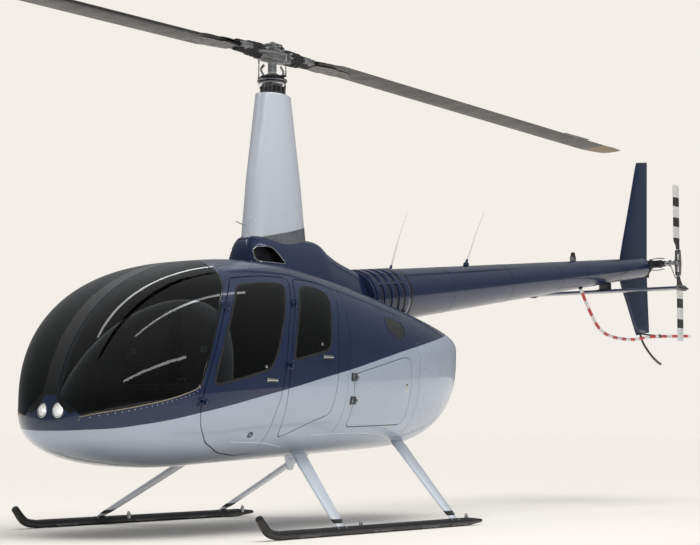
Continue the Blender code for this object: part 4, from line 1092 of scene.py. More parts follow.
def cabin_doors():
    """The four doors: skin, inner trim, gasket round the window, handle and hinge leaves."""
    outlines = {"front_door": (FRONT_DOOR, FRONT_WINDOW), "rear_door": (REAR_DOOR, REAR_WINDOW)}
    handles = {"front_door": (-0.895, 0.999), "rear_door": (-0.288, 1.169)}
    for kind, stations in DOOR_STATIONS.items():
        edge, window = door_edges[kind], door_windows[kind]
        skin = Solid()
        pod_panel(skin, lambda p: np.maximum(edge(p), 0.0005 - window(p)), stations, DOOR_TURN, sizes().skin,
                  cell=0.014)
        round_edge(skin, outlines[kind][1], 0.055, window, -0.010, 0.007, -0.0085, 0.0012, 2)
        points, offset = HINGES[kind]
        skin.join(hinge_leaf(points, offset), door_handle(handles[kind]))
        lining = Solid()
        pod_panel(lining, lambda p: np.maximum(edge(p) + 0.034, 0.022 - window(p)), stations, DOOR_TURN,
                  0.010,
                  -0.0065, (0, 0), 0.016, 0.003)
        arm = curve([(-0.13, 0.0), (0.0, 0.004), (0.13, 0.0)], 14)
        rest_y, rest_z = handles[kind][0] - (0.20 if kind == "front_door" else 0.16), handles[kind][1] - 0.14
        spots = on_side(np.stack([rest_y + arm[:, 0], rest_z + arm[:, 1] * 2], -1), 1.0, -0.033)[0]
        lining.add(*swept(spots, ring(14) * [0.020, 0.011]), 1)
        pane = Solid()
        pod_panel(pane, lambda p: window(p) + 0.0012, stations, DOOR_TURN, sizes().pane, -0.0012, (0, 0),
                  0.02, 0.0006)
        for side in ("port", "starboard"):
            body = f"{kind}_{side}_leaf"
            piece(f"{kind}_skin_{side}", sided(skin, side),
                  several("body", "body", "rubber", "steel", "black"), body, [f"{kind}_{side}"])
            piece(f"{kind}_lining_{side}", sided(lining, side), several("liner", "trim"), body)
            piece(f"{kind}_pane_{side}", sided(pane, side), several("smoke"), body,
                  [f"{kind}_window_{side}"])


def door_handle(spot):
    """A lever handle on a shaped plate, with a round lock above it."""
    solid = Solid()
    points, normals = on_side([spot, (spot[0] - 0.055, spot[1] + 0.085)])
    plate = slab(rounded([(-0.060, -0.017), (0.052, -0.013), (0.052, 0.013), (-0.060, 0.017)], 0.012),
                 -0.001, 0.003, 0.001)
    solid.add(placed(plate[0], points[0], (0.0, 1.0, 0.0), normals[0]), plate[1], 4)
    lever = curve([(-0.046, 0.0, 0.010), (-0.020, 0.001, 0.0125), (0.020, 0.001, 0.0135),
                   (0.048, 0.0, 0.011)], 16)
    solid.add(*swept(placed(lever, points[0], (0.0, 1.0, 0.0), normals[0]), ring(14) * [0.0085, 0.0036],
                     normals[0]), 3)
    solid.add(*turned([(0.012, -0.001), (0.012, 0.009), (0.009, 0.012)],
                      placed(np.array([[-0.046, 0.0, 0.0]]), points[0], (0.0, 1.0, 0.0), normals[0])[0],
                      normals[0],
                      20), 3)
    solid.add(*turned(edged([(0.0105, -0.001), (0.0105, 0.0022), (0.0085, 0.0032), (0.004, 0.0036)], 0.0006),
                      points[1], normals[1], 24), 3)
    return solid


def windshield():
    """The two windshield halves, their edge seal, and the row of screws along the sill."""
    pane = Solid()
    pod_panel(pane, lambda p: screen_field(p) + 0.0015, (NOSE_Y, -0.95), PORT, sizes().pane, -0.0008, (0, 0),
              0.016, 0.0006)
    for side in ("port", "starboard"):
        piece(f"windshield_pane_{side}", sided(pane, side), several("dark_smoke"), "airframe",
              [f"windshield_{side}"])
    sill = WINDSHIELD[1:7]
    edge = Solid()
    low = [(y, z - 0.0165) for y, z in sill]
    for way in (-1.0, 1.0):
        bead(edge, sill, 0.005, 0.0016, 0, way, 90)
        rows, normals = on_side(even(curve(low, 60), 22), way)
        edge.add(*studs(rows, normals, 0.0036, 0.0016, 10), 1)
    piece("windshield_edge", edge, several("sealant", "steel"), "airframe")


def cone_radius(y):
    """Radius of the tail cone."""
    return 0.1925 - 0.0258 * (y - 2.0)


def cone_z(y):
    """Height of the tail cone's middle."""
    return 1.7925 + CONE_RISE * (y - 2.0)


EXHAUST_PATH = [(0, 1.2204, 1.15), (0, 1.36, 1.15), (0, 1.56, 1.02), (0, 1.68, 0.86), (0, 1.770, 0.732)]


def cowl_field(points):
    """The cowling: behind the split, less the tail cone, shaft, exhaust and baggage door."""
    seam = sizes().seam
    x, y, z = points[:, 0], points[:, 1], points[:, 2]
    field = seam - cabin_region(points)
    field = np.maximum(field, cone_radius(y) + 0.003 - np.hypot(x, z - cone_z(y)))
    field = np.maximum(field, 0.058 - np.where(z > 1.2, np.hypot(x, y), 1.0))
    line = spline(EXHAUST_PATH, 24)[8:]
    near = np.sqrt(((points[:, None] - line[None]) ** 2).sum(2)).min(1)
    field = np.maximum(field, 0.124 - near)
    return np.maximum(field, np.where(x > 0, sizes().door_gap - baggage_edge(points), -1.0))


BELLY_SEAM = [(-0.40, 0.640), (0.03, 0.652), (0.454, 0.648), (0.868, 0.612), (1.30, 0.70), (2.2, 1.10)]


def belly_height(y):
    """Height of the seam between the side cowls and the belly pan."""
    line = np.array(BELLY_SEAM)
    return np.interp(y, line[:, 0], line[:, 1])


def engine_cowling():
    """Side cowls, rear cowl and belly pan, with their seams and screws."""
    half = sizes().seam / 2
    solid = Solid()
    def side(p):
        return np.maximum(np.maximum(cowl_field(p), p[:, 1] - 0.93 + half),
                          half - p[:, 2] + belly_height(p[:, 1]))
    def rear(p):
        return np.maximum(np.maximum(cowl_field(p), 0.93 + half - p[:, 1]),
                          half - p[:, 2] + belly_height(p[:, 1]))
    def belly(p):
        return np.maximum(cowl_field(p), p[:, 2] - belly_height(p[:, 1]) + half)
    pod_panel(solid, side, (-0.16, 0.95), FULL, sizes().skin)
    pod_panel(solid, rear, (0.91, STERN_Y), FULL, sizes().skin)
    pod_panel(solid, belly, (-0.16, STERN_Y), (-0.5 * math.pi, 0.0), sizes().skin)
    pod_panel(solid, belly, (-0.16, STERN_Y), (math.pi, 1.5 * math.pi), sizes().skin)
    rows = np.array([(0.913, z) for z in np.linspace(0.70, 1.45, 12)]
                    + [(0.947, z) for z in np.linspace(0.70, 1.45, 12)]
                    + [(y, belly_height(y) + 0.016) for y in np.linspace(-0.08, 1.30, 22)])
    for way in (-1.0, 1.0):
        spots, normals = on_side(rows, way)
        solid.add(*studs(spots, normals, 0.0040, 0.0013, 10), 2)
    piece("cowl_panels", solid, several("body", "trim", "steel"), "airframe", ["engine_cowl"])


def baggage_door():
    """The baggage door with its hinges and flush latch."""
    solid = Solid()
    pod_panel(solid, baggage_edge, (0.0, 0.86), DOOR_TURN, sizes().skin, cell=0.014)
    points, offset = HINGES["baggage_door"]
    solid.join(hinge_leaf(points, offset))
    spot, normal = (a[0] for a in on_side([(0.735, 0.978)]))
    plate = slab(rounded([(-0.018, -0.030), (0.018, -0.030), (0.018, 0.030), (-0.018, 0.030)], 0.006), -0.001,
                 0.0022, 0.0008)
    solid.add(placed(plate[0], spot, (0.0, 1.0, 0.0), normal), plate[1], 3)
    key = slab(rounded([(-0.006, -0.020), (0.006, -0.020), (0.006, 0.010), (-0.006, 0.010)], 0.004), 0.0,
               0.0050, 0.0015)
    solid.add(placed(key[0], spot, (0.0, 1.0, 0.0), normal), key[1], 2)
    piece("baggage_door_skin", solid, several("body", "dark_steel", "steel", "chrome"), "baggage_door_leaf",
          ["baggage_door"])
    lugs = hinge_lugs(points, offset, 0.024)
    seal = Solid()
    round_edge(seal, BAGGAGE_DOOR, 0.05, baggage_edge, -0.012, 0.022, -0.0165, -0.0140, 0)
    round_edge(seal, BAGGAGE_DOOR, 0.05, baggage_edge, -0.009, -0.001, -0.0140, -0.0090, 1)
    piece("baggage_door_lugs", lugs, several("navy", "dark_steel", "steel"), "airframe")
    piece("baggage_door_seal", seal, several("trim", "rubber"), "airframe")


def flank(centre, axis, count, radius):
    """Points and directions evenly round an axis, for rows of bolts and rivets."""
    out = spokes(unit(axis), count)
    return np.asarray(centre, float) + out * radius, out


# Mast

BASE = np.array([(-0.352, 0.020, 1.780), (-0.349, 0.060, 1.880), (-0.338, 0.095, 1.955),
                 (-0.310, 0.128, 2.010),
                 (-0.250, 0.152, 2.045), (-0.100, 0.165, 2.055), (0.200, 0.165, 2.055), (0.420, 0.160, 2.050),
                 (0.540, 0.155, 1.990), (0.680, 0.150, 1.935), (0.840, 0.140, 1.895), (0.980, 0.120, 1.870)])
BASE_CURVE = curve(BASE, 400)


def mast_base(uv):
    """Arched sections: x = half |cos|^0.6 (1 + 0.45 (1 - sin)^2), height rising as the root of the sine."""
    at = np.clip(uv[:, 0], 0.0, 1.0) * (len(BASE_CURVE) - 1)
    y, half, top = (np.interp(at, np.arange(len(BASE_CURVE)), BASE_CURVE[:, k]) for k in range(3))
    turn = math.pi * np.clip(uv[:, 1], 0.0, 1.0)
    c, s = np.cos(turn), np.maximum(np.sin(turn), 0.0)
    x = half * np.sign(c) * np.abs(c) ** 0.6 * (1 + 0.45 * (1 - s) ** 2)
    return np.stack([x, y, 1.60 + (top - 1.60) * s ** 0.5], -1)


INTAKE = [(-0.326, 1.846), (-0.324, 1.951), (-0.209, 1.964), (-0.158, 1.950), (-0.070, 1.844)]
WIRE_R = 0.0014
intake_edge = outline_field(rounded(INTAKE, 0.035))


def base_fairing():
    """The fairing at the foot of the mast, with a framed screen in each side."""
    solid = Solid()
    panel(solid, mast_base, lambda p: -intake_edge(p) + np.where(np.abs(p[:, 0]) > 0.03, 0.0, -1.0),
          (0.0, 1.0),
          (0.0, 1.0), (110, 90), 0.004, 0.0, (0, 1))
    outline = even(rounded(INTAKE, 0.035), 120, True)
    half = np.interp(outline[:, 0], BASE_CURVE[:, 0], BASE_CURVE[:, 1])
    top = np.interp(outline[:, 0], BASE_CURVE[:, 0], BASE_CURVE[:, 2])
    s = np.clip((outline[:, 1] - 1.60) / (top - 1.60), 0.0, 1.0) ** 2
    x = half * np.sqrt(1 - s ** 2) ** 0.6 * (1 + 0.45 * (1 - s) ** 2)
    for way in (-1.0, 1.0):
        path = np.stack([x * way, outline[:, 0], outline[:, 1]], -1)
        frame_ring = looped(path, np.tile([way, 0.0, 0.25], (len(path), 1)),
                            strip_section(-0.0028, 0.0028, -0.003, 0.0016))
        solid.add(*frame_ring, 2)
        for y in np.linspace(-0.30, -0.05, 26):
            bar = [(way * 0.075, y, 1.82), (way * 0.075, y, 1.90), (way * 0.075, y, 2.0)]
            solid.add(*pipe(bar, WIRE_R, 6, (0, 1, 0)), 3)
        for z in np.linspace(1.84, 1.99, 16):
            bar = [(way * 0.078, -0.31, z), (way * 0.078, -0.2, z), (way * 0.078, -0.04, z)]
            solid.add(*pipe(bar, WIRE_R, 6), 3)
    solid.add(*block((-0.060, -0.31, 1.80), (0.060, -0.02, 2.02), 0.01), 1)
    piece("base_fairing", solid, several("navy", "navy", "chrome", "dark_steel"), "airframe",
          ["mast_base_fairing"])


def mast_section(z, turn, inset=0.0):
    """Teardrop ring of the mast fairing: y = centre - long cos t, x = wide sin t (1 + 0.13 cos t)."""
    centre = np.interp(z, [1.96, 3.085], [0.040, 0.020])
    wide = np.interp(z, [1.96, 2.45, 3.085], [0.131, 0.121, 0.101]) - inset
    long = np.interp(z, [1.96, 2.45, 3.085], [0.341, 0.276, 0.161]) - inset
    c, s = np.cos(turn), np.sin(turn)
    return np.stack([wide * s * (1 + 0.13 * c), centre - long * c, z + 0 * s], -1)


def mast_cover():
    """The tall mast fairing: two skins joined at lip and foot, its screen, seam, rivets and air probe."""
    turn = 2.0 * math.pi * np.arange(72) / 72
    levels = np.concatenate([np.linspace(1.962, 3.075, 44), [3.081, 3.084]])
    outer = [mast_section(z, turn, 0.0 if z < 3.08 else 0.0015 if z > 3.083 else 0.0004) for z in levels]
    inner = [mast_section(z, turn, 0.004) for z in levels[::-1]]
    rows = np.array(outer + inner)
    solid = Solid()
    solid.add(rows.reshape(-1, 3), grid_faces(len(rows), 72, True, True), 0)
    aft = np.linspace(0.05 * math.pi, 0.985 * math.pi, 40)
    top_line = 2.025 + 0.209 * (0.291 - 0.333 * np.cos(aft))
    for way in (-1.0, 1.0):
        low = mast_section(np.full(40, 1.99), aft, -0.0012) * [way, 1, 1]
        high = mast_section(top_line, aft, -0.0012) * [way, 1, 1]
        share = np.linspace(0.0, 1.0, 6)[:, None, None]
        face = low[None] * (1 - share) + high[None] * share
        back = face - np.array([way, 0, 0]) * 0.003
        rows = np.concatenate([face, back[::-1]])
        solid.add(*capped(rows.transpose(1, 0, 2)), 1)
        for k in range(1, 39):
            solid.add(*pipe([low[k], (low[k] + high[k]) / 2, high[k]], 0.0016, 6, (0, 1, 0)), 3)
        solid.add(*swept(high, ring(10) * 0.0022, (0, 0, 1)), 2)
    seam = mast_section(np.linspace(2.0, 3.07, 30), np.full(30, math.pi), -0.0003)
    solid.add(*swept(seam, np.array([(-0.012, -0.002), (0.012, -0.002), (0.010, 0.001), (-0.010, 0.001)]),
                     (0, 1, 0)), 0)
    for way in (-1.0, 1.0):
        zs = np.linspace(2.03, 3.04, 22)
        spots = mast_section(zs, np.full(22, 0.93 * math.pi)) * [way, 1, 1]
        solid.add(*studs(spots, np.tile([way, 0.35, 0.1], (22, 1)), 0.0030, 0.0010, 8), 2)
    probe = curve([(0.0, -0.292, 2.115), (0.0, -0.330, 2.118), (0.0, -0.395, 2.130)], 12)
    solid.add(*pipe(probe, 0.0042, 12, (0, 0, 1), np.linspace(1.3, 0.8, 12)), 2)
    piece("mast_cover", solid, several("silver", "screen", "steel", "dark_steel"), "airframe",
          ["mast_fairing"])


def fixed_swash():
    """The part of the swashplate that tilts but doesn't turn: sleeve, silver ring, plate and its bolts."""
    solid = Solid()
    solid.add(*hollow(washer(0.0385, 0.056, 3.0862, 3.176, 0.003), (0, 0, 0), (0, 0, 1)), 1)
    solid.add(*hollow(washer(0.0385, 0.099, 3.0862, 3.0990, 0.002), (0, 0, 0), (0, 0, 1)), 1)
    solid.add(*hollow(washer(0.0385, 0.100, 3.158, 3.1775, 0.004), (0, 0, 0), (0, 0, 1), 56), 2)
    solid.add(*hollow(washer(0.0385, 0.108, 3.1780, 3.1980, 0.003), (0, 0, 0), (0, 0, 1), 64), 0)
    solid.add(*hollow(washer(0.1065, 0.1095, 3.185, 3.191, 0.001), (0, 0, 0), (0, 0, 1), 64), 2)
    for k in range(10):
        a = 2 * math.pi * k / 10
        spot = np.array([0.080 * math.cos(a), 0.080 * math.sin(a), 3.0990])
        solid.add(*turned(edged([(0.0125, 0.0), (0.0125, 0.012), (0.007, 0.013), (0.007, 0.032),
                                 (0.0115, 0.033),
                                 (0.0115, 0.048)], 0.001), spot, (0, 0, 1), 8), 0 if k % 2 else 1)
    for k in range(3):
        a = 2 * math.pi * k / 3 + 0.5
        out = np.array([math.cos(a), math.sin(a), 0.0])
        rod = [out * 0.092 + [0, 0, 3.092], out * 0.096 + [0, 0, 3.14], out * 0.094 + [0, 0, 3.176]]
        solid.add(*pipe(rod, 0.0055, 12, (0, 1, 0)), 1)
    piece("fixed_swash", solid, several("black", "dark_steel", "chrome"), "airframe",
          ["fixed_swashplate"])


def rod_end(solid, spot, axis, radius, mark):
    """A ball end: a narrow ring round a ball."""
    solid.add(*hollow(washer(radius * 0.55, radius, -radius * 0.45, radius * 0.45, radius * 0.15), spot, axis,
                      20), mark)
    solid.add(*turned([(radius * 0.30, -radius * 0.75), (radius * 0.55, -radius * 0.35), (radius * 0.60, 0.0),
                       (radius * 0.55, radius * 0.35), (radius * 0.30, radius * 0.75)], spot, axis, 16), mark)


def rotor_head():
    """Shaft, rotating swashplate, links, and the teetering hub with its grips, horns and boots."""
    shaft = Solid()
    shaft.add(*turned(edged([(0.0, 1.727), (0.0316, 1.727), (0.0316, 3.16), (0.0300, 3.165), (0.0300, 3.245),
                             (0.0316, 3.25), (0.0316, 3.3246), (0.0, 3.3246)][1:-1], 0.001), (0, 0, 0),
                             (0, 0, 1),
                     40), 0)
    piece("mast_shaft", shaft, several("steel"), "main_rotor", ["rotor_shaft"])

    plate = Solid()
    plate.add(*hollow(washer(0.0328, 0.088, 3.2036, 3.2218, 0.003), (0, 0, 0), (0, 0, 1), 56), 0)
    plate.add(*hollow(washer(0.0328, 0.050, 3.2218, 3.236, 0.003), (0, 0, 0), (0, 0, 1), 40), 1)
    for way in (-1.0, 1.0):
        plate.add(*swept(curve([(way * 0.070, 0, 3.2126), (way * 0.100, 0, 3.2126), (way * 0.124, 0, 3.2126)],
                               8),
                         ring(16) * [0.012, 0.0082], (0, 0, 1)), 0)
        arm = curve([(way * 0.020, way * 0.075, 3.224), (way * 0.030, way * 0.092, 3.262),
                     (way * 0.028, way * 0.060, 3.300)], 14)
        plate.add(*swept(arm, ring(12) * [0.010, 0.0055], (1, 0, 0)), 1)
    for k in range(8):
        a = 2 * math.pi * (k + 0.5) / 8
        spot = (0.070 * math.cos(a), 0.070 * math.sin(a), 3.2216)
        plate.add(*turned(edged([(0.006, 0.0), (0.006, 0.005), (0.0035, 0.0058)], 0.0008), spot, (0, 0, 1),
                          6), 2)
    piece("turning_swash", plate, several("black", "cast", "steel"), "main_rotor",
          ["rotating_swashplate"])

    for name, way in (("fore", 1.0), ("aft", -1.0)):
        link = Solid()
        spot = np.array([way * 0.125, 0.0, 0.0])
        link.add(*turned(edged([(0.0032, 3.236), (0.0055, 3.240), (0.0055, 3.252), (0.0040, 3.256),
                                (0.0040, 3.322),
                                (0.0055, 3.326), (0.0055, 3.338), (0.0032, 3.342)], 0.001), spot, (0, 0, 1),
                                16), 0)
        rod_end(link, spot + [0, 0, 3.2290], (0, 1, 0), 0.0085, 1)
        rod_end(link, spot + [0, 0, 3.3490], (0, 1, 0), 0.0085, 1)
        piece(f"link_rod_{name}", link, several("chrome", "steel"), "main_rotor",
              [f"pitch_link_{name}"])

    hub = Solid()
    hub.add(*block((-0.052, -0.165, 3.334), (0.052, 0.165, 3.408), 0.014, 0.008), 0)
    hub.add(*block((-0.040, -0.085, 3.3256), (0.040, 0.085, 3.336), 0.012, 0.002), 0)
    hub.add(*slab(rounded([(-0.074, -0.060), (0.074, -0.060), (0.074, 0.060), (-0.074, 0.060)], 0.02), 3.400,
                  3.436,
                  0.008), 3)
    crown = rounded([(-0.060, -0.050), (-0.015, -0.068), (0.060, -0.050), (0.060, 0.050), (0.015, 0.068),
                     (-0.060, 0.050)], 0.015)
    hub.add(*slab(crown, 3.434, 3.456, 0.006), 0)
    hub.add(*turned(edged([(0.030, 3.454), (0.030, 3.464), (0.020, 3.468), (0.020, 3.474), (0.006, 3.475)],
                          0.002),
                    (0, 0, 0), (0, 0, 1), 32), 1)
    for y in (-0.135, 0.0, 0.135):
        z = 3.385 if y else 3.418
        hub.add(*turned(edged([(0.013, -0.088), (0.013, -0.078), (0.021, -0.077), (0.021, -0.066),
                               (0.012, -0.064),
                               (0.012, 0.064), (0.021, 0.066), (0.021, 0.077), (0.013, 0.078),
                               (0.013, 0.088)],
                              0.0015), (0, y, z), (1, 0, 0), 24), 1)
        for way in (-1.0, 1.0):
            hub.add(*turned(edged([(0.0155, 0.0), (0.0155, 0.009), (0.011, 0.011)], 0.001),
                            (way * 0.077, y, z), (way, 0, 0), 6), 2)
    for way in (-1.0, 1.0):
        axis = np.array([0.0, way, 0.0])
        base = np.array([0.0, 0.0, HEAD_Z])
        hub.add(*turned(edged([(0.048, 0.130), (0.057, 0.150), (0.057, 0.190), (0.050, 0.196), (0.050, 0.212),
                               (0.056, 0.218), (0.056, 0.236), (0.049, 0.242), (0.049, 0.258), (0.054, 0.264),
                               (0.054, 0.284), (0.046, 0.300), (0.044, 0.405), (0.040, 0.4185)], 0.004),
                        base, axis, 40), 4)
        hub.add(*block(*sorted_corners((-0.078, way * 0.300, 3.366), (0.078, way * 0.4185, 3.404)), 0.016,
                       0.008), 3)
        for x in (-0.052, 0.0, 0.052):
            hub.add(*turned(edged([(0.0105, -0.028), (0.0105, -0.020), (0.014, -0.0195), (0.014, 0.0195),
                                   (0.0105, 0.020), (0.0105, 0.028)], 0.001), (x, way * 0.368, 3.385),
                                   (0, 0, 1),
                            14), 1)
        horn = curve([(way * -0.035, way * 0.215, 3.372), (way * -0.085, way * 0.190, 3.366),
                      (way * -0.120, way * 0.110, 3.366), (way * -0.125, way * 0.030, 3.368),
                      (way * -0.125, way * 0.0, 3.369)], 26)
        hub.add(*swept(horn, ring(16) * [0.013, 0.0105], (0, 0, 1), np.linspace(1.25, 0.8, 26)), 3)
        rod_end(hub, (way * -0.125, 0.0, 3.366), (0, 1, 0), 0.0088, 1)
    piece("hub_and_grips", hub, several("cast", "steel", "dark_steel", "cast", "rubber"), "main_rotor",
          ["rotor_hub"])


def sorted_corners(a, b):
    """Lower and upper corner of a box from any two opposite ones."""
    return tuple(map(min, a, b)), tuple(map(max, a, b))


def aerofoil(count):
    """Four-digit section as (chord share, half thickness for unit thickness), from tail over nose to tail."""
    s = 0.5 - 0.5 * np.cos(math.pi * np.arange(count + 1) / count)
    half = 5.0 * (0.2969 * np.sqrt(s) - 0.126 * s - 0.3516 * s ** 2 + 0.2843 * s ** 3 - 0.1015 * s ** 4)
    return s, half


def wing_rows(nose, chord, thick, blunt=0.0010, count=26):
    """Rings of an aerofoil: nose points, chord vectors and thickness vectors for each station."""
    s, half = aerofoil(count)
    nose, chord, thick = (np.asarray(a, float) for a in (nose, chord, thick))
    size = np.linalg.norm(thick, axis=1, keepdims=True)
    lean = thick / np.maximum(size, 1e-9)
    upper = (nose[:, None] + chord[:, None] * s[None, :, None] + thick[:, None] * half[None, :, None]
             + lean[:, None] * blunt * (s > 0.02)[None, :, None])
    lower = (nose[:, None] + chord[:, None] * s[None, :, None] - thick[:, None] * half[None, :, None]
             - lean[:, None] * blunt * (s > 0.02)[None, :, None])
    return np.concatenate([upper, lower[:, :0:-1]], 1)


def main_blades():
    """Two blades: root doublers, constant section, swept tip and trim tab."""
    reach = np.concatenate([np.linspace(0.4192, 0.64, 12), np.linspace(0.70, 4.60, 28),
                            np.linspace(4.66, 5.022, 14)])
    chord = np.interp(reach, [0.42, 0.50, 0.62, 4.70, 4.86, 5.03], [0.150, 0.190, 0.256, 0.266, 0.255, 0.200])
    thick = np.interp(reach, [0.42, 0.62, 4.9, 5.03], [0.036, 0.030, 0.030, 0.014])
    lead = np.interp(reach, [4.70, 5.03], [0.0, 0.045])
    for name, way in (("fore", -1.0), ("aft", 1.0)):
        solid = Solid()
        droop = BLADE_DROOP * reach / BLADE_TIP
        nose = np.stack([-way * (0.25 * chord - lead), way * reach, HEAD_Z - droop], -1)
        rows = wing_rows(nose, np.stack([way * chord, 0 * chord, 0 * chord], -1),
                         np.stack([0 * chord, 0 * chord, thick], -1))
        cap = rows[-1:]
        middle = cap.mean(1, keepdims=True)
        end = np.concatenate([middle + (cap - middle) * k + [0, way * d, 0]
                              for k, d in ((0.96, 0.004), (0.80, 0.007), (0.4, 0.008))])
        run = np.repeat(np.concatenate([reach, [5.034, 5.037, 5.038]]), rows.shape[1])
        rows = np.concatenate([rows, end])
        points, faces = capped(rows)
        run = np.concatenate([run[:rows.shape[1]], run, run[-rows.shape[1]:]])
        solid.add(points, faces, 0, field=run)
        for k, (start, stop, wide) in enumerate(((0.421, 0.90, 0.16), (0.421, 0.74, 0.19),
                                                 (0.421, 0.62, 0.21))):
            for side in (-1.0, 1.0):
                r = np.linspace(start, stop, 14)
                c = np.interp(r, [0.42, 0.50, 0.62, 4.70], [0.150, 0.190, 0.256, 0.266])
                half = np.minimum(wide, c * 0.86) * np.interp(r, [stop - 0.12, stop], [1.0, 0.25]) / 2
                x0 = way * 0.10 * c
                z = HEAD_Z - BLADE_DROOP * r / BLADE_TIP + side * (0.0142 + 0.0012 * k)
                corners = ((-half, -0.0015), (-half, 0.0015), (half, 0.0015), (half, -0.0015))
                strip = np.stack([np.stack([x0 + a, way * r, z + b], -1) for a, b in corners], 1)
                points, faces = capped(strip)
                solid.add(points, faces, 1)
        tab = slab(rounded([(0.195, 3.90), (0.232, 3.90), (0.232, 4.35), (0.195, 4.35)], 0.004), -0.0016,
                   0.0006, 0.0004)
        points = tab[0] * [way, way, 1.0] + [0, 0, HEAD_Z - 0.058]
        solid.add(points, tab[1], 1)
        piece(f"blade_{name}", solid, several("blade", "dark_steel"), "main_rotor",
              [f"main_blade_{name}"], 50.0)


# Tail

def cone_frame(y):
    """Middle of the tail cone at a station, and its direction."""
    return np.array([0.0, y, cone_z(y)]), unit(np.array([0.0, 1.0, CONE_RISE]))


def tail_cone():
    """The boom: one tapered skin with lap seams, rivets, cooling collars, beacon and whips."""
    middle, axis = cone_frame(CONE_FRONT)
    slant = math.hypot(1.0, CONE_RISE)
    length = (CONE_REAR - CONE_FRONT) * slant
    dist = np.linspace(0.0, length, 60)
    radius = cone_radius(CONE_FRONT + dist / slant)
    solid = Solid()
    wall = np.stack([radius, np.clip(dist, 0.002, length - 0.003)], -1)
    profile = np.concatenate([[(radius[0] - 0.003, 0.0)], wall, [(radius[-1] - 0.004, length)]])
    points, faces = turned(profile, middle, axis, 72)
    solid.add(points, faces, 0)
    spots, outs = [], []
    for y in (2.15, 3.10, 4.00, 4.50, 5.20):
        here, _ = cone_frame(y)
        r = cone_radius(y)
        solid.add(*hollow([(r - 0.002, -0.011), (r + 0.0007, -0.0105), (r + 0.0009, 0.0105),
                           (r - 0.002, 0.011)],
                          here, axis, 72), 0)
        for shift in (-0.020, 0.020):
            p, o = flank(here + axis * shift, axis, 44, cone_radius(y + shift))
            spots.append(p)
            outs.append(o)
    for turn in (0.55, 2.60, 4.15, 5.30):
        y = np.arange(1.55, 5.70, 0.055)
        across = np.array([math.cos(turn), 0.0, math.sin(turn)])
        out = unit(across - np.dot(across, axis) * axis)
        spots.append(np.stack([0 * y, y, cone_z(y)], -1) + out * cone_radius(y)[:, None])
        outs.append(np.tile(out, (len(y), 1)))
    solid.add(*studs(np.concatenate(spots), np.concatenate(outs), 0.0030, 0.0008, 6), 0)
    for k, y in enumerate((1.04, 1.14, 1.24, 1.34, 1.44)):
        here, _ = cone_frame(y)
        r = cone_radius(y)
        wide = 0.030 if k < 4 else 0.046
        solid.add(*hollow([(r - 0.002, -wide), (r + 0.007, -wide), (r + 0.010, -wide * 0.4),
                           (r + 0.0085, wide * 0.6),
                           (r - 0.002, wide)], here, axis, 72), 1 if k < 4 else 0)
        solid.add(*hollow([(r - 0.001, wide), (r + 0.0012, wide), (r + 0.0012, wide + 0.022),
                           (r - 0.001, wide + 0.022)],
                          here, axis, 72), 2)
    for way in (-1.0, 1.0):
        y = np.linspace(1.02, 1.46, 12)
        rail = np.stack([way * (cone_radius(y) + 0.008) * math.cos(0.5), y, cone_z(y)
                         + (cone_radius(y) + 0.008) * math.sin(0.5)], -1)
        solid.add(*swept(rail, strip_section(-0.012, 0.012, -0.002, 0.003), (way, 0, 0.5)), 1)
    here, _ = cone_frame(4.43)
    foot = here + [0, 0, cone_radius(4.43) - 0.004]
    solid.add(*slab(rounded([(-0.018, 4.395), (0.018, 4.395), (0.018, 4.468), (-0.018, 4.468)], 0.016),
                    foot[2], foot[2] + 0.046, 0.004), 3)
    solid.add(*turned(edged([(0.0, 0.0), (0.024, 0.0), (0.024, 0.008), (0.021, 0.012), (0.021, 0.028),
                             (0.016, 0.038),
                             (0.008, 0.043), (0.0, 0.044)][1:-1], 0.003), foot + [0, 0.002, 0.045], (0, 0, 1),
                             32), 4)
    piece("boom_skin", solid, several("navy", "navy", "black", "cast", "beacon"), "airframe",
          ["tailcone"])
    for k, (low, high) in enumerate((((0, 1.49, 1.915), (0, 1.73, 2.41)),
                                     ((0, 2.60, 2.05), (0, 2.89, 2.53)))):
        whip = Solid()
        path = curve([low, (0, (low[1] + high[1]) / 2 - 0.01, (low[2] + high[2]) / 2), high], 24)
        whip.add(*pipe(path, 0.0085, 12, (1, 0, 0), np.linspace(1.0, 0.32, 24) ** 1.2), 0)
        whip.add(*turned(edged([(0.024, -0.02), (0.024, 0.006), (0.012, 0.018), (0.008, 0.045)], 0.003),
                         np.array(low) + [0, 0.002, 0.010], (0, 0.35, 0.94), 24), 1)
        piece(f"whip_aerial_{k}", whip, several("ivory", "navy"), "airframe")


FIN_NOSE = np.array([(5.906, 1.613), (5.730, 1.885), (5.575, 2.120), (5.562, 2.230), (5.585, 2.380),
                     (5.760, 2.842), (5.947, 3.338)])
FIN_TAIL = np.array([(6.190, 1.654), (6.172, 1.905), (6.157, 2.150), (6.155, 2.270), (6.157, 2.420),
                     (6.170, 2.890), (6.185, 3.369)])


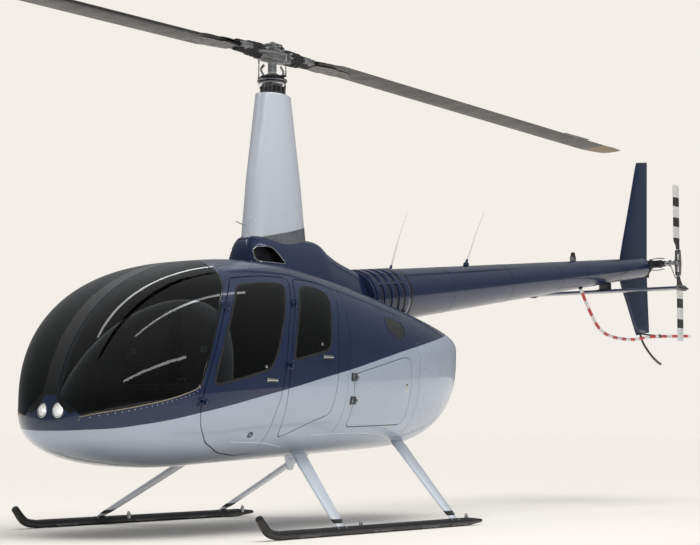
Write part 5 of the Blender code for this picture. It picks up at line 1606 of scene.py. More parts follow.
def tail_surfaces():
    """Fin and stabiliser as lofted aerofoils with rounded tips, seams, rivets and brackets."""
    fin = Solid()
    nose, tail = curve(FIN_NOSE, 60), curve(FIN_TAIL, 60)
    chord = tail - nose
    shape = np.ones(60)
    shape[:3], shape[-3:] = (0.45, 0.80, 0.95), (0.95, 0.80, 0.45)
    place = np.stack([np.full(60, FIN_X), nose[:, 0], nose[:, 1]], -1)
    run = np.stack([np.zeros(60), chord[:, 0], chord[:, 1]], -1)
    fin.add(*capped(wing_rows(place, run, np.stack([0.031 * shape, 0 * shape, 0 * shape], -1))), 0)
    tip = np.stack([np.full(8, FIN_X), np.linspace(5.955, 6.178, 8), np.linspace(3.3385, 3.3685, 8)], -1)
    fin.add(*swept(tip, ring(14) * [0.011, 0.005], (0, 0, 1), [0.5, 0.9, 1, 1, 1, 1, 0.9, 0.4]), 1)
    fin.add(*block((-0.122, 5.585, 2.205), (-0.02, 5.775, 2.300), 0.01, 0.006), 0)
    for way in (-1.0, 1.0):
        for share in (0.30, 0.68):
            k = np.arange(4, 57)
            spots = np.stack([np.full(len(k), FIN_X + way * (0.0155 if share < 0.5 else 0.0104)),
                              nose[k, 0] + chord[k, 0] * share, nose[k, 1] + chord[k, 1] * share], -1)
            fin.add(*studs(spots, np.tile([way, 0.0, 0.0], (len(k), 1)), 0.0026, 0.0008, 6), 0)
    fin.add(*pipe([(-0.112, 5.95, 1.632), (0.0, 5.95, 1.617), (0.118, 5.95, 1.601)], 0.0085, 14), 1)
    fin.add(*hollow(washer(0.0138, 0.019, -0.012, 0.012, 0.002), (0.118, 5.947, 1.600), (0.16, 1.0, 0.04),
                    20), 1)
    piece("fin_skin", fin, several("navy", "dark_steel"), "airframe", ["vertical_fin"])

    wing = Solid()
    x = np.concatenate([[-0.800, -0.797, -0.790, -0.775], np.linspace(-0.74, 0.74, 36),
                        [0.775, 0.790, 0.797, 0.800]])
    size = np.ones(len(x))
    size[:4], size[-4:] = (0.25, 0.60, 0.85, 0.97), (0.97, 0.85, 0.60, 0.25)
    c = 0.27 * (0.55 + 0.45 * size)
    nose = np.stack([x, 5.0575 - c / 2, np.full(len(x), 1.985)], -1)
    wing.add(*capped(wing_rows(nose, np.stack([0 * c, c, 0 * c], -1),
                               np.stack([0 * c, 0 * c, 0.0292 * size], -1))), 0)
    for way in (-1.0, 1.0):
        cap = slab(rounded([(4.930, 1.962), (5.10, 1.957), (5.192, 1.985), (5.10, 2.013), (4.930, 2.008)],
                           0.02),
                   *sorted((way * 0.7905, way * 0.800)), 0.002, 0)
        wing.add(*cap, 1)
    for y in (4.98, 5.10):
        wing.add(*block((-0.028, y, 1.99), (0.028, y + 0.028, cone_z(y) - cone_radius(y) + 0.010), 0.008,
                        0.002), 2)
        wing.add(*block((-0.045, y - 0.006, 1.995), (0.045, y + 0.034, 2.006), 0.008, 0.002), 2)
    for y in (4.975, 5.115):
        xs = np.arange(-0.77, 0.78, 0.04)
        for up in (-1.0, 1.0):
            spots = np.stack([xs, np.full(len(xs), y), np.full(len(xs),
                                                               1.985 + up * (0.0152 if y < 5 else 0.0118))],
                                                               -1)
            wing.add(*studs(spots, np.tile([0.0, 0.0, up], (len(xs), 1)), 0.0026, 0.0008, 6), 0)
    piece("stabiliser_skin", wing, several("navy", "cast", "dark_steel"), "airframe",
          ["horizontal_stabiliser"])


GUARD_LINE = [(0.05, 4.46, 2.000), (0.05, 4.54, 1.900), (0.05, 4.70, 1.720), (0.05, 4.85, 1.600),
              (0.05, 5.10, 1.545), (0.05, 5.58, 1.545), (0.06, 5.74, 1.585), (0.12, 5.95, 1.600),
              (0.20, 6.46, 1.620)]
TAIL_SKID = [(-0.115, 5.985, 1.680), (-0.115, 5.995, 1.580), (-0.115, 6.160, 1.461), (-0.115, 6.332, 1.370),
             (-0.115, 6.440, 1.345)]


def tail_guard():
    """The striped guard tube and the tail skid."""
    path = even(spline(GUARD_LINE, 300), 150)
    path = path[path[:, 2] < cone_z(path[:, 1]) - cone_radius(path[:, 1]) * 0.9]
    points, faces = pipe(path, 0.0152, 18, (1, 0, 0.2))
    sides = 18
    rows = len(points) // sides
    run = np.repeat(np.linspace(0.0, np.linalg.norm(np.diff(path, axis=0), axis=1).sum(), rows), sides)
    solid = Solid()
    solid.add(points, faces, 0, field=run + 0.001)
    solid.add(*turned(edged([(0.020, -0.006), (0.020, 0.004), (0.0145, 0.012)], 0.002),
                      path[0] + [0, 0, 0.006],
                      unit(path[3] - path[0]), 24), 1)
    piece("guard_tube", solid, several("stripes", "navy"), "airframe", ["tail_rotor_guard"])
    skid = Solid()
    skid.add(*pipe(spline(TAIL_SKID, 60), 0.011, 16, (1, 0, 0)), 0)
    skid.add(*pipe(spline(TAIL_SKID, 60)[44:], 0.0125, 16, (1, 0, 0)), 1)
    piece("tail_skid_bar", skid, several("black", "dark_steel"), "airframe", ["tail_skid"])


def tail_drive():
    """Tail gearbox with its ribs, bolts and output, and the tail rotor hub with its links."""
    end, axis = cone_frame(CONE_REAR)
    box = Solid()
    box.add(*turned(edged([(0.074, 0.0006), (0.074, 0.014), (0.062, 0.018), (0.058, 0.050), (0.066, 0.056),
                           (0.066, 0.100), (0.058, 0.106), (0.050, 0.135), (0.038, 0.150), (0.030, 0.164)],
                           0.003),
                    end, axis, 48), 0)
    for shift in (0.064, 0.076, 0.088):
        here = end + axis * shift
        box.add(*hollow([(0.060, -0.0022), (0.0745, -0.0018), (0.0745, 0.0018), (0.060, 0.0022)], here, axis,
                        48), 0)
    p, _ = flank(end + axis * 0.013, axis, 12, 0.066)
    box.add(*studs(p, np.tile(axis, (12, 1)), 0.0045, 0.005, 6), 1)
    hub = TAIL_HUB
    box.add(*turned(edged([(0.030, 0.02), (0.044, 0.055), (0.044, 0.080), (0.036, 0.086), (0.036, 0.150),
                           (0.0395, 0.156), (0.0395, 0.176), (0.030, 0.184), (0.028, 0.2195)], 0.003),
                    (0, hub[1], hub[2]), (1, 0, 0), 40), 0)
    p, _ = flank((0.079, hub[1], hub[2]), (1, 0, 0), 8, 0.040)
    box.add(*studs(p, np.tile([1.0, 0, 0], (8, 1)), 0.004, 0.005, 6), 1)
    for z, sway in ((0.052, 0.03), (-0.050, -0.02)):
        rod = curve([(0.03, 5.90 + sway, hub[2] + z), (0.12, 5.92 + sway, hub[2] + z * 1.2),
                     (0.20, 5.91, hub[2] + z)], 16)
        box.add(*pipe(rod, 0.005, 12), 1)
    box.add(*block((-0.040, 5.815, 2.175), (0.040, 5.905, 2.262), 0.012, 0.006), 0)
    piece("tail_gearbox_case", box, several("dark_cast", "steel"), "airframe", ["tail_gearbox"])

    yoke = Solid()
    x, y, z = hub
    yoke.add(*turned(edged([(0.0225, 0.2206), (0.0225, 0.262), (0.034, 0.266), (0.034, 0.276), (0.020, 0.282),
                            (0.020, 0.318), (0.028, 0.322), (0.028, 0.372), (0.016, 0.376), (0.016, 0.3858)],
                           0.0015), (0, y, z), (1, 0, 0), 32), 1)
    for side in (-1.0, 1.0):
        plate = slab(rounded([(y - 0.020, z - 0.128), (y + 0.020, z - 0.128), (y + 0.034, z),
                              (y + 0.020, z + 0.128),
                              (y - 0.020, z + 0.128), (y - 0.034, z)], 0.015),
                              *sorted((x + side * 0.0165, x + side * 0.0215)),
                     0.001, 0)
        yoke.add(*plate, 0)
        for k in (-1.0, 1.0):
            yoke.add(*turned(edged([(0.009, 0.0), (0.009, 0.006), (0.005, 0.007)], 0.0008),
                             (x + side * 0.0205, y, z + k * 0.108), (side, 0, 0), 6), 1)
            yoke.add(*turned(edged([(0.007, 0.0), (0.007, 0.005), (0.004, 0.006)], 0.0008),
                             (x + side * 0.0205, y, z + k * 0.055), (side, 0, 0), 6), 1)
    for k in (-1.0, 1.0):
        link = curve([(0.270, y + k * 0.030, z), (0.310, y + k * 0.052, z + k * 0.05),
                      (0.344, y + k * 0.046, z + k * 0.145)], 14)
        yoke.add(*pipe(link, 0.0045, 10), 1)
        arm = curve([(0.344, y + k * 0.046, z + k * 0.145), (0.350, y + k * 0.015, z + k * 0.150),
                     (x, y, z + k * 0.150)], 10)
        yoke.add(*pipe(arm, 0.006, 10), 0)
        yoke.add(*hollow(washer(0.010, 0.0205, -0.010, 0.010, 0.002), (x, y, z + k * 0.108), (1, 0, 0), 24),
                 0)
    piece("tail_yoke", yoke, several("cast", "steel"), "tail_rotor", ["tail_rotor_hub"])

    for name, way in (("up", 1.0), ("down", -1.0)):
        blade = Solid()
        reach = np.concatenate([np.linspace(0.1308, 0.20, 8), np.linspace(0.22, 0.74, 20),
                                [0.752, 0.758, 0.7615]])
        c = np.interp(reach, [0.130, 0.165, 0.21, 0.74, 0.7615], [0.052, 0.070, 0.130, 0.130, 0.112])
        t = np.interp(reach, [0.130, 0.20, 0.74, 0.7615], [0.0170, 0.0152, 0.0152, 0.006])
        nose = np.stack([np.full(len(c), x), y + way * 0.25 * c, z + way * reach], -1)
        blade.add(*capped(wing_rows(nose, np.stack([0 * c, -way * c, 0 * c], -1),
                                    np.stack([t, 0 * c, 0 * c], -1),
                                    0.0008)), 0)
        root = slab(rounded([(y - 0.020, z + way * 0.1312), (y + 0.020, z + way * 0.1312),
                             (y + 0.012, z + way * 0.235),
                             (y - 0.012, z + way * 0.235)], 0.008), x - 0.0105, x + 0.0105, 0.003, 0)
        blade.add(*root, 1)
        piece(f"tail_blade_skin_{name}", blade, several("banded", "dark_steel"), "tail_rotor",
              [f"tail_blade_{name}"])


# Landing gear

def landing_gear():
    """Skid tubes with shoes, studs and tow rings, streamlined legs with cuffs, saddles and bolts."""
    bend = [(SKID_X, 1.117, 0.03), (SKID_X, 1.0, 0.03), (SKID_X, 0.5, 0.03), (SKID_X, 0.0, 0.03),
            (SKID_X, -0.6, 0.03), (SKID_X, -1.15, 0.03), (SKID_X, -1.24, 0.0305), (SKID_X, -1.34, 0.055),
            (SKID_X, -1.43, 0.145)]
    tube = Solid()
    path = even(curve(bend, 240), 150)
    fade = np.interp(path[:, 1], [-1.43, -1.36, 0.93, 1.117], [0.86, 1.0, 1.0, 0.42])
    tube.add(*pipe(path, 0.0288, 28, (1, 0, 0), fade), 0)
    for y in (-0.95, -0.15, 0.42, 0.80):
        shoe = np.stack([np.full(12, SKID_X), np.linspace(y - 0.11, y + 0.11, 12), np.full(12, 0.030)], -1)
        turn = np.linspace(1.08 * math.pi, 1.92 * math.pi, 16)
        outer = np.stack([np.cos(turn), np.sin(turn)], -1) * 0.0299
        inner = np.stack([np.cos(turn[::-1]), np.sin(turn[::-1])], -1) * 0.0270
        tube.add(*swept(shoe, np.concatenate([outer, inner]), (0, 0, 1)), 1)
        for way in (-1.0, 1.0):
            spot = np.array([[SKID_X + way * 0.0208, y - 0.07, 0.0092],
                             [SKID_X + way * 0.0208, y + 0.07, 0.0092]])
            tube.add(*studs(spot, np.tile([way, 0, -1.0], (2, 1)), 0.005, 0.003, 8), 2)
    for y in (0.955, -0.335):
        tube.add(*block((SKID_X - 0.034, y - 0.016, 0.034), (SKID_X - 0.020, y + 0.016, 0.072), 0.005, 0.002),
                 2)
        tube.add(*hollow(washer(0.006, 0.013, -0.0035, 0.0035, 0.001), (SKID_X - 0.027, y, 0.074), (1, 0, 0),
                         20), 2)
    legs = {"front": (-0.602, np.array([0.36, -0.205, 0.580])),
            "rear": (0.740, np.array([0.28, 1.110, 0.640]))}
    for side in ("port", "starboard"):
        piece(f"skid_tube_{side}", sided(tube, side), several("black", "dark_steel", "steel"), "airframe",
              [f"skid_{side}"])
    s, half = aerofoil(26)
    section = np.concatenate([np.stack([half * 0.040 + 0.0012, s - 0.42], -1),
                              np.stack([-half[:0:-1] * 0.040 - 0.0012, s[:0:-1] - 0.42], -1)])
    for place, (foot_y, head) in legs.items():
        foot = np.array([SKID_X, foot_y, 0.0604])
        share = np.concatenate([[0.0, 0.012, 0.04], np.linspace(0.07, 1.0, 26)])
        scale = np.interp(share, [0.0, 0.012, 0.05, 0.12, 1.0], [0.72, 0.76, 0.86, 1.0, 1.0])
        middle = foot + (head - foot) * share[:, None]
        rows = np.empty((len(share), len(section), 3))
        rows[..., 0] = middle[:, None, 0] + section[None, :, 0] * scale[:, None]
        rows[..., 1] = middle[:, None, 1] + section[None, :, 1] * (scale * (0.100 + 0.060 * share))[:, None]
        rows[..., 2] = middle[:, None, 2]
        leg = Solid()
        leg.add(*capped(rows), 0)
        for low, high, wide in ((0.035, 0.085, 1.10), (0.845, 0.885, 1.07)):
            k = np.linspace(low, high, 8)
            grow = wide * np.array([0.94, 1.0, 1.0, 1.0, 1.0, 1.0, 1.0, 0.94])
            m = foot + (head - foot) * k[:, None]
            cuff = np.empty((8, len(section), 3))
            fit = np.interp(k, [0.0, 0.012, 0.05, 0.12, 1.0], [0.72, 0.76, 0.86, 1.0, 1.0])
            cuff[..., 0] = m[:, None, 0] + section[None, :, 0] * (fit * grow)[:, None]
            cuff[..., 1] = m[:, None, 1] + section[None, :, 1] * (fit * grow * (0.100 + 0.060 * k))[:, None]
            cuff[..., 2] = m[:, None, 2]
            leg.add(*capped(cuff), 1 if low < 0.5 else 0)
        turn = np.linspace(-0.12 * math.pi, 1.12 * math.pi, 22)
        outer = np.stack([np.cos(turn), np.sin(turn)], -1) * 0.0299
        inner = np.stack([np.cos(turn[::-1]), np.sin(turn[::-1])], -1) * 0.0280
        saddle = np.stack([np.full(8, SKID_X), np.linspace(foot_y - 0.062, foot_y + 0.062, 8),
                           np.full(8, 0.03)], -1)
        leg.add(*swept(saddle, np.concatenate([outer, inner]), (0, 0, 1)), 1)
        for dy in (-0.045, 0.045):
            for way in (-1.0, 1.0):
                leg.add(*turned(edged([(0.0065, 0.0), (0.0065, 0.005), (0.004, 0.006)], 0.0008),
                                (SKID_X + way * 0.0198, foot_y + dy, 0.0498), (way, 0, 1.0), 6), 2)
        for side in ("port", "starboard"):
            piece(f"{place}_leg_fairing_{side}", sided(leg, side), several("silver", "black", "steel"),
                  "airframe",
                  [f"{place}_leg_{side}"])


def exhaust():
    """The exhaust: a thin wall round the same curve as the part's pipe, with a rolled lip."""
    path = spline(EXHAUST_PATH, 60)
    across, over = frames(path, (0, 0, 1))
    turn = ring(56)
    def skin(radius, lip=0.0):
        r = np.full(len(path), radius)
        r[-2:] += lip
        return path[:, None] + (across[:, None] * turn[None, :, :1] + over[:, None] * turn[None, :,
                                                                                           1:]) * r[:, None,
                                                                                                    None]
    rows = np.concatenate([skin(0.1115, 0.0008), skin(0.1085, -0.0005)[::-1]])
    solid = Solid()
    solid.add(rows.reshape(-1, 3), grid_faces(len(rows), 56, True, True), 0)
    for k in (16, 40):
        solid.add(*hollow(washer(0.1090, 0.1165, -0.009, 0.009, 0.002), path[k], path[k + 1] - path[k], 56),
                  1)
    piece("exhaust_duct", solid, several("heat", "steel"), "airframe", ["exhaust_pipe"])


def nose_lamps():
    """Two landing lights: bezel with screws, dished reflector, bulb and ribbed lens."""
    solid = Solid()
    for way in (-1.0, 1.0):
        centre = np.array([way * LAMP_X, -2.1445, LAMP_Z])
        out = unit(np.array([way * 0.10, -1.0, 0.16]))
        solid.add(*hollow(edged([(0.0380, -0.004), (0.0480, -0.004), (0.0492, 0.004), (0.0455, 0.0075),
                                 (0.0390, 0.006),
                                 (0.0380, -0.004)], 0.001)[:-1], centre, out, 48), 0)
        t = np.linspace(0.12, 1.0, 12)
        dish = np.concatenate([np.stack([0.0385 * t, -0.030 + 0.026 * t ** 2], -1),
                               np.stack([0.0395 * t[::-1] + 0.0005, -0.0325 + 0.026 * t[::-1] ** 2], -1)])
        solid.add(*hollow(dish, centre, out, 40), 1)
        solid.add(*turned([(0.004, -0.030), (0.006, -0.018), (0.0055, -0.010), (0.002, -0.0075)], centre, out,
                          20), 2)
        solid.add(*turned([(0.0378, -0.0015), (0.0378, 0.001), (0.034, 0.0028), (0.023, 0.0046),
                           (0.009, 0.0054)],
                          centre, out, 48), 3)
        p, _ = flank(centre + out * 0.0060, out, 6, 0.0440)
        solid.add(*studs(p, np.tile(out, (6, 1)), 0.0022, 0.0012, 8), 4)
    piece("nose_lamps", solid, several("chrome", "dish", "glow", "clear", "dark_steel"), "airframe",
          ["landing_lights"])


def nose_mask():
    """Glossy black strip between the windshields, its flare round the nose patch, and the roof edge band."""
    def strip(p):
        middle = np.maximum(np.abs(p[:, 0]) - 0.0585, np.where(p[:, 1] < -1.6, -patch_outline(p), -1.0))
        border = np.maximum(patch_outline(p) + 0.001, -0.040 - patch_outline(p))
        border = np.maximum(np.where(p[:, 1] < -1.6, border, 1.0), 0.757 - p[:, 2])
        return np.maximum(np.minimum(middle, border), p[:, 1] + 1.045)
    solid = Solid()
    pod_panel(solid, strip, (NOSE_Y + 0.002, -1.02), (0.02 * math.pi, 0.98 * math.pi), 0.0016, 0.0008, (0, 0),
              0.008,
              0.0004)
    edge = [(-1.535, 0.954), (-1.478, 1.110), (-1.398, 1.300), (-1.292, 1.490), (-1.215, 1.602),
            (-1.170, 1.680),
            (-1.132, 1.730)]
    for way in (-1.0, 1.0):
        path, normals = on_side(curve(edge, 70), way)
        run = unit(np.gradient(path, axis=0))
        across = unit(np.cross(run, normals)) * way
        section = np.array([(-0.004, -0.0012), (0.016, -0.0012), (0.016, 0.0004), (0.015, 0.0010),
                            (-0.003, 0.0010),
                            (-0.004, 0.0004)])
        rows = path[:, None] + across[:, None] * section[None, :, :1] + normals[:, None] * section[None, :,
                                                                                                   1:]
        solid.add(*capped(rows), 0)
    piece("nose_mask", solid, several("mask"), "airframe")


def small_fittings():
    """Vents, filler cap, crease strips and belly aerial on the pod's skin."""
    solid = Solid()
    vent = [(0.541, 1.494), (0.742, 1.461), (0.767, 1.396), (0.723, 1.343), (0.641, 1.324), (0.510, 1.390),
            (0.502, 1.448)]
    field = outline_field(rounded(vent, 0.04))
    for way in (-1.0, 1.0):
        path, normals = on_side(even(rounded(vent, 0.04), 110, True), way)
        solid.add(*looped(path, normals, strip_section(-0.006, 0.006, -0.002, 0.0030)), 1)
        inside = np.stack(np.meshgrid(np.linspace(0.50, 0.77, 30), np.linspace(1.32, 1.50, 20),
                                      indexing="ij"), -1).reshape(-1, 2)
        keep = field(np.concatenate([np.zeros((len(inside), 1)), inside], 1)) < -0.008
        spots, outs = on_side(inside[keep], way)
        solid.add(*studs(spots, outs, 0.0034, 0.0016, 6), 2)
    # Painted shade: a glossy black sheet fills each vent outline and stands for the shaded inside of the
    # vent.
    plate = Solid()
    pod_panel(plate, lambda p: np.maximum(field(p), 0.2 - np.abs(p[:, 0])), (0.45, 0.82),
              (0.0, 0.5 * math.pi), 0.002,
              0.0007, (0, 0), 0.010, 0.0004)
    solid.join(plate, plate.mirrored())
    spot, normal = (a[0] for a in on_side([(-1.006, 0.645)]))
    solid.add(*hollow(washer(0.010, 0.024, -0.002, 0.003, 0.001), spot, normal, 32), 1)
    solid.add(*turned([(0.0102, -0.002), (0.0102, 0.0008)], spot, normal, 24), 3)
    for way in (-1.0, 1.0):
        bead(solid, [(-1.163, 0.601), (-0.806, 0.592), (-0.540, 0.564)], 0.007, 0.0022, 4, way)
        bead(solid, [(-0.328, 0.644), (0.032, 0.654), (0.454, 0.650), (0.868, 0.612)], 0.007, 0.0022, 4, way)
    fin = slab(rounded([(0.205, 0.392), (0.262, 0.388), (0.310, 0.500), (0.170, 0.500)], 0.012), -0.006,
               0.006, 0.003, 0)
    solid.add(*fin, 4)
    solid.add(*block((-0.030, 0.150, 0.4890), (0.030, 0.330, 0.5000), 0.01, 0.003), 4)
    piece("skin_fittings", solid, several("mask", "navy", "dark_steel", "steel", "silver"), "airframe")


# Cabin interior

CUSHIONS = {
    "front_cushion": ((0.036, -1.462, 0.872), (0.474, -1.052, 0.955), "z"),
    "front_back": ((0.036, -1.030, 0.875), (0.474, -0.967, 1.490), "y"),
    "rear_cushion": ((0.018, -0.652, 0.872), (0.520, -0.278, 0.946), "z"),
    "rear_back": ((0.018, -0.255, 0.875), (0.520, -0.197, 1.440), "y"),
}


def cushion_shape(low, high, face):
    """A crowned pad: a rounded block whose sides pull in between its corners by a product of cosines."""
    low, high = np.asarray(low, float), np.asarray(high, float)
    n = 56
    middle, half = (low + high) / 2, (high - low) / 2
    u = np.linspace(-1.0, 1.0, n)
    a, b = (g.ravel() for g in np.meshgrid(u, u, indexing="ij"))
    p, q, t = (0, 1, 2) if face == "z" else (0, 2, 1)
    bulge_a = 1 - 0.035 * np.cos(0.5 * math.pi * b)
    bulge_b = 1 - 0.035 * np.cos(0.5 * math.pi * a)
    rim = np.maximum(np.abs(a), np.abs(b))
    side = np.sqrt(np.clip(1 - np.clip((rim - 0.86) / 0.14, 0.0, 1.0) ** 2, 0.0, 1.0))
    crown = 0.82 + 0.18 * np.cos(0.5 * math.pi * a) * np.cos(0.5 * math.pi * b)
    flat = np.zeros((len(a), 3))
    flat[:, p] = middle[p] + half[p] * a * bulge_a
    flat[:, q] = middle[q] + half[q] * b * bulge_b
    top, bottom = flat.copy(), flat.copy()
    top[:, t] = middle[t] + half[t] * side * crown
    bottom[:, t] = middle[t] - half[t] * side * 0.94
    sheet = grid_faces(n, n)
    return np.concatenate([top, bottom]), np.concatenate([sheet, sheet[:, ::-1] + n * n])


def inflated(name, points, faces, cap):
    """Cloth with pressure inside, no gravity: remeshed, stepped for 20 frames, with its movement capped."""
    first, faces, _ = weld(points, faces)
    mesh = bpy.data.meshes.new(name)
    mesh.from_pydata(points[first].tolist(), [], faces.tolist())
    obj = bpy.data.objects.new(name, mesh)
    bpy.context.scene.collection.objects.link(obj)
    remesh = obj.modifiers.new("remesh", "REMESH")
    remesh.mode, remesh.voxel_size = "VOXEL", 0.0135
    bpy.context.view_layer.update()
    made = bpy.data.meshes.new_from_object(obj.evaluated_get(bpy.context.evaluated_depsgraph_get()))
    obj.modifiers.clear()
    obj.data = made
    rest = np.empty(len(made.vertices) * 3)
    made.vertices.foreach_get("co", rest)
    cloth = obj.modifiers.new("cloth", "CLOTH")
    cloth.settings.use_pressure = True
    cloth.settings.uniform_pressure_force = 4.0
    cloth.settings.effector_weights.gravity = 0.0
    cloth.settings.quality = 4
    scene = bpy.context.scene
    cloth.point_cache.frame_start, cloth.point_cache.frame_end = 1, 20
    for number in range(1, 21):
        scene.frame_set(number)
    moved = bpy.data.meshes.new_from_object(obj.evaluated_get(bpy.context.evaluated_depsgraph_get()))
    now = np.empty(len(moved.vertices) * 3)
    moved.vertices.foreach_get("co", now)
    scene.frame_set(1)
    obj.modifiers.clear()
    step = (now - rest).reshape(-1, 3)
    far = np.linalg.norm(step, axis=1, keepdims=True)
    rest = (rest.reshape(-1, 3) + step * np.minimum(1.0, cap / np.maximum(far, 1e-9))).ravel()
    made.vertices.foreach_set("co", rest)
    smoother = obj.modifiers.new("subdivision", "SUBSURF")
    smoother.levels = smoother.render_levels = 1
    bpy.context.view_layer.update()
    final = bpy.data.meshes.new_from_object(obj.evaluated_get(bpy.context.evaluated_depsgraph_get()))
    bpy.data.objects.remove(obj)
    co = np.empty(len(final.vertices) * 3)
    final.vertices.foreach_get("co", co)
    final.calc_loop_triangles()
    tri = np.empty(len(final.loop_triangles) * 3, np.int32)
    final.loop_triangles.foreach_get("vertices", tri)
    normals = np.empty(len(final.vertices) * 3)
    final.vertices.foreach_get("normal", normals)
    bpy.data.meshes.remove(final)
    return co.reshape(-1, 3), tri.reshape(-1, 3), normals.reshape(-1, 3)


def sewn(points, normals, low, high, face):
    """Sewn channels on the crowned side: grooves of Gaussian section along X lines, and one round them."""
    _, q, t = (0, 1, 2) if face == "z" else (0, 2, 1)
    front = np.clip((normals[:, t] if face == "z" else -normals[:, t]) * 1.4, 0.0, 1.0)
    width = high[0] - low[0]
    count = 7
    share = (points[:, 0] - low[0]) / width * count
    inner = (share > 1.2) & (share < count - 1.2)
    gap = np.abs(share - np.round(share)) * width / count
    depth = 0.0055 * np.exp(-(gap / 0.0045) ** 2) * inner
    tall = (points[:, q] - low[q]) / (high[q] - low[q])
    depth = depth * ((tall > 0.12) & (tall < 0.90))
    for line in (0.12, 0.90):
        depth = np.maximum(depth, 0.0055 * np.exp(-((tall - line) * (high[q] - low[q]) / 0.0045) ** 2)
                           * ((share > 1) & (share < count - 1)))
    for line in (1.0, count - 1.0):
        depth = np.maximum(depth, 0.0055 * np.exp(-((share - line) * width / count / 0.0045) ** 2)
                           * ((tall > 0.10) & (tall < 0.92)))
    return points - normals * (depth * front)[:, None]


def seats():
    """The eight pads by cloth simulation, with sewn channels and piping, port side mirrored to starboard."""
    for name, (low, high, face) in CUSHIONS.items():
        low, high = np.array(low), np.array(high)
        points, faces = cushion_shape(low, high, face)
        points, faces, normals = inflated(name, points, faces, 0.012 if face == "y" else 0.022)
        points = sewn(points, normals, low, high, face)
        floor_low = low - (0.0035, 0.0035, 0.0105)
        ceiling = high + (0.0035, 0.0035, 0.022 if face == "z" else 0.008)
        if face == "y":
            floor_low[1], ceiling[1] = low[1] - 0.006, high[1] + 0.006
            floor_low[0], ceiling[0] = low[0] - 0.004, high[0] + 0.004
        points = np.minimum(np.maximum(points, floor_low), ceiling)
        solid = Solid()
        solid.add(points, faces, 0)
        p, q, t = (0, 1, 2) if face == "z" else (0, 2, 1)
        outline = even(rounded([(low[p], low[q]), (high[p], low[q]), (high[p], high[q]), (low[p], high[q])],
                               0.05), 150, True)
        middle = (outline.max(0) + outline.min(0)) / 2
        path = np.zeros((150, 3))
        path[:, p], path[:, q] = (middle + (outline - middle) * 0.985).T
        path[:, t] = high[t] - 0.006 if face == "z" else low[t] + 0.006
        up = np.zeros((150, 3))
        up[:, t] = 1.0
        solid.add(*looped(path, up, ring(8) * 0.0042), 1)
        for side in ("port", "starboard"):
            pad = piece(f"{name}_pad_{side}", sided(solid, side), several("leather", "black_leather"),
                        "airframe",
                        [f"{name}_{side}"], 60.0)


def belt(solid, path, width, mark=0, up=(0.0, 0.0, 1.0)):
    """A flat strap 2 mm thick along a path."""
    half = width / 2
    solid.add(*swept(curve(path, 40), [(-half, -0.001), (half, -0.001), (half, 0.001), (-half, 0.001)], up),
              mark)


def harness():
    """Lap and shoulder straps with buckles on the four seats."""
    for row, (y, back, top, hip) in {"front": (-1.22, -1.046, 1.46, 0.976),
                                     "rear": (-0.44, -0.272, 1.41, 0.972)}.items():
        solid = Solid()
        belt(solid, [(0.055, y + 0.14, hip - 0.085), (0.062, y + 0.09, hip + 0.008),
                     (0.16, y + 0.02, hip + 0.014),
                     (0.26, y, hip + 0.016)], 0.046, 0, (0, 0, 1))
        belt(solid, [(0.46, y + 0.14, hip - 0.085), (0.452, y + 0.09, hip + 0.008),
                     (0.36, y + 0.02, hip + 0.014),
                     (0.27, y, hip + 0.016)], 0.046, 0, (0, 0, 1))
        belt(solid, [(0.40, back + 0.01, top + 0.045), (0.40, back - 0.014, top),
                     (0.37, back - 0.022, top - 0.20),
                     (0.31, back - 0.030, hip + 0.22)], 0.046, 0, (0, -1, 0))
        solid.add(*block((0.235, y - 0.028, hip + 0.016), (0.300, y + 0.026, hip + 0.034), 0.008, 0.003), 1)
        solid.add(*block((0.246, y - 0.012, hip + 0.033), (0.289, y + 0.012, hip + 0.038), 0.005, 0.002), 2)
        solid.add(*block((0.285, back - 0.040, hip + 0.205), (0.335, back - 0.026, hip + 0.245), 0.006,
                         0.003), 1)
        for side in ("port", "starboard"):
            piece(f"{row}_harness_{side}", sided(solid, side), several("webbing", "steel", "black"),
                  "airframe")


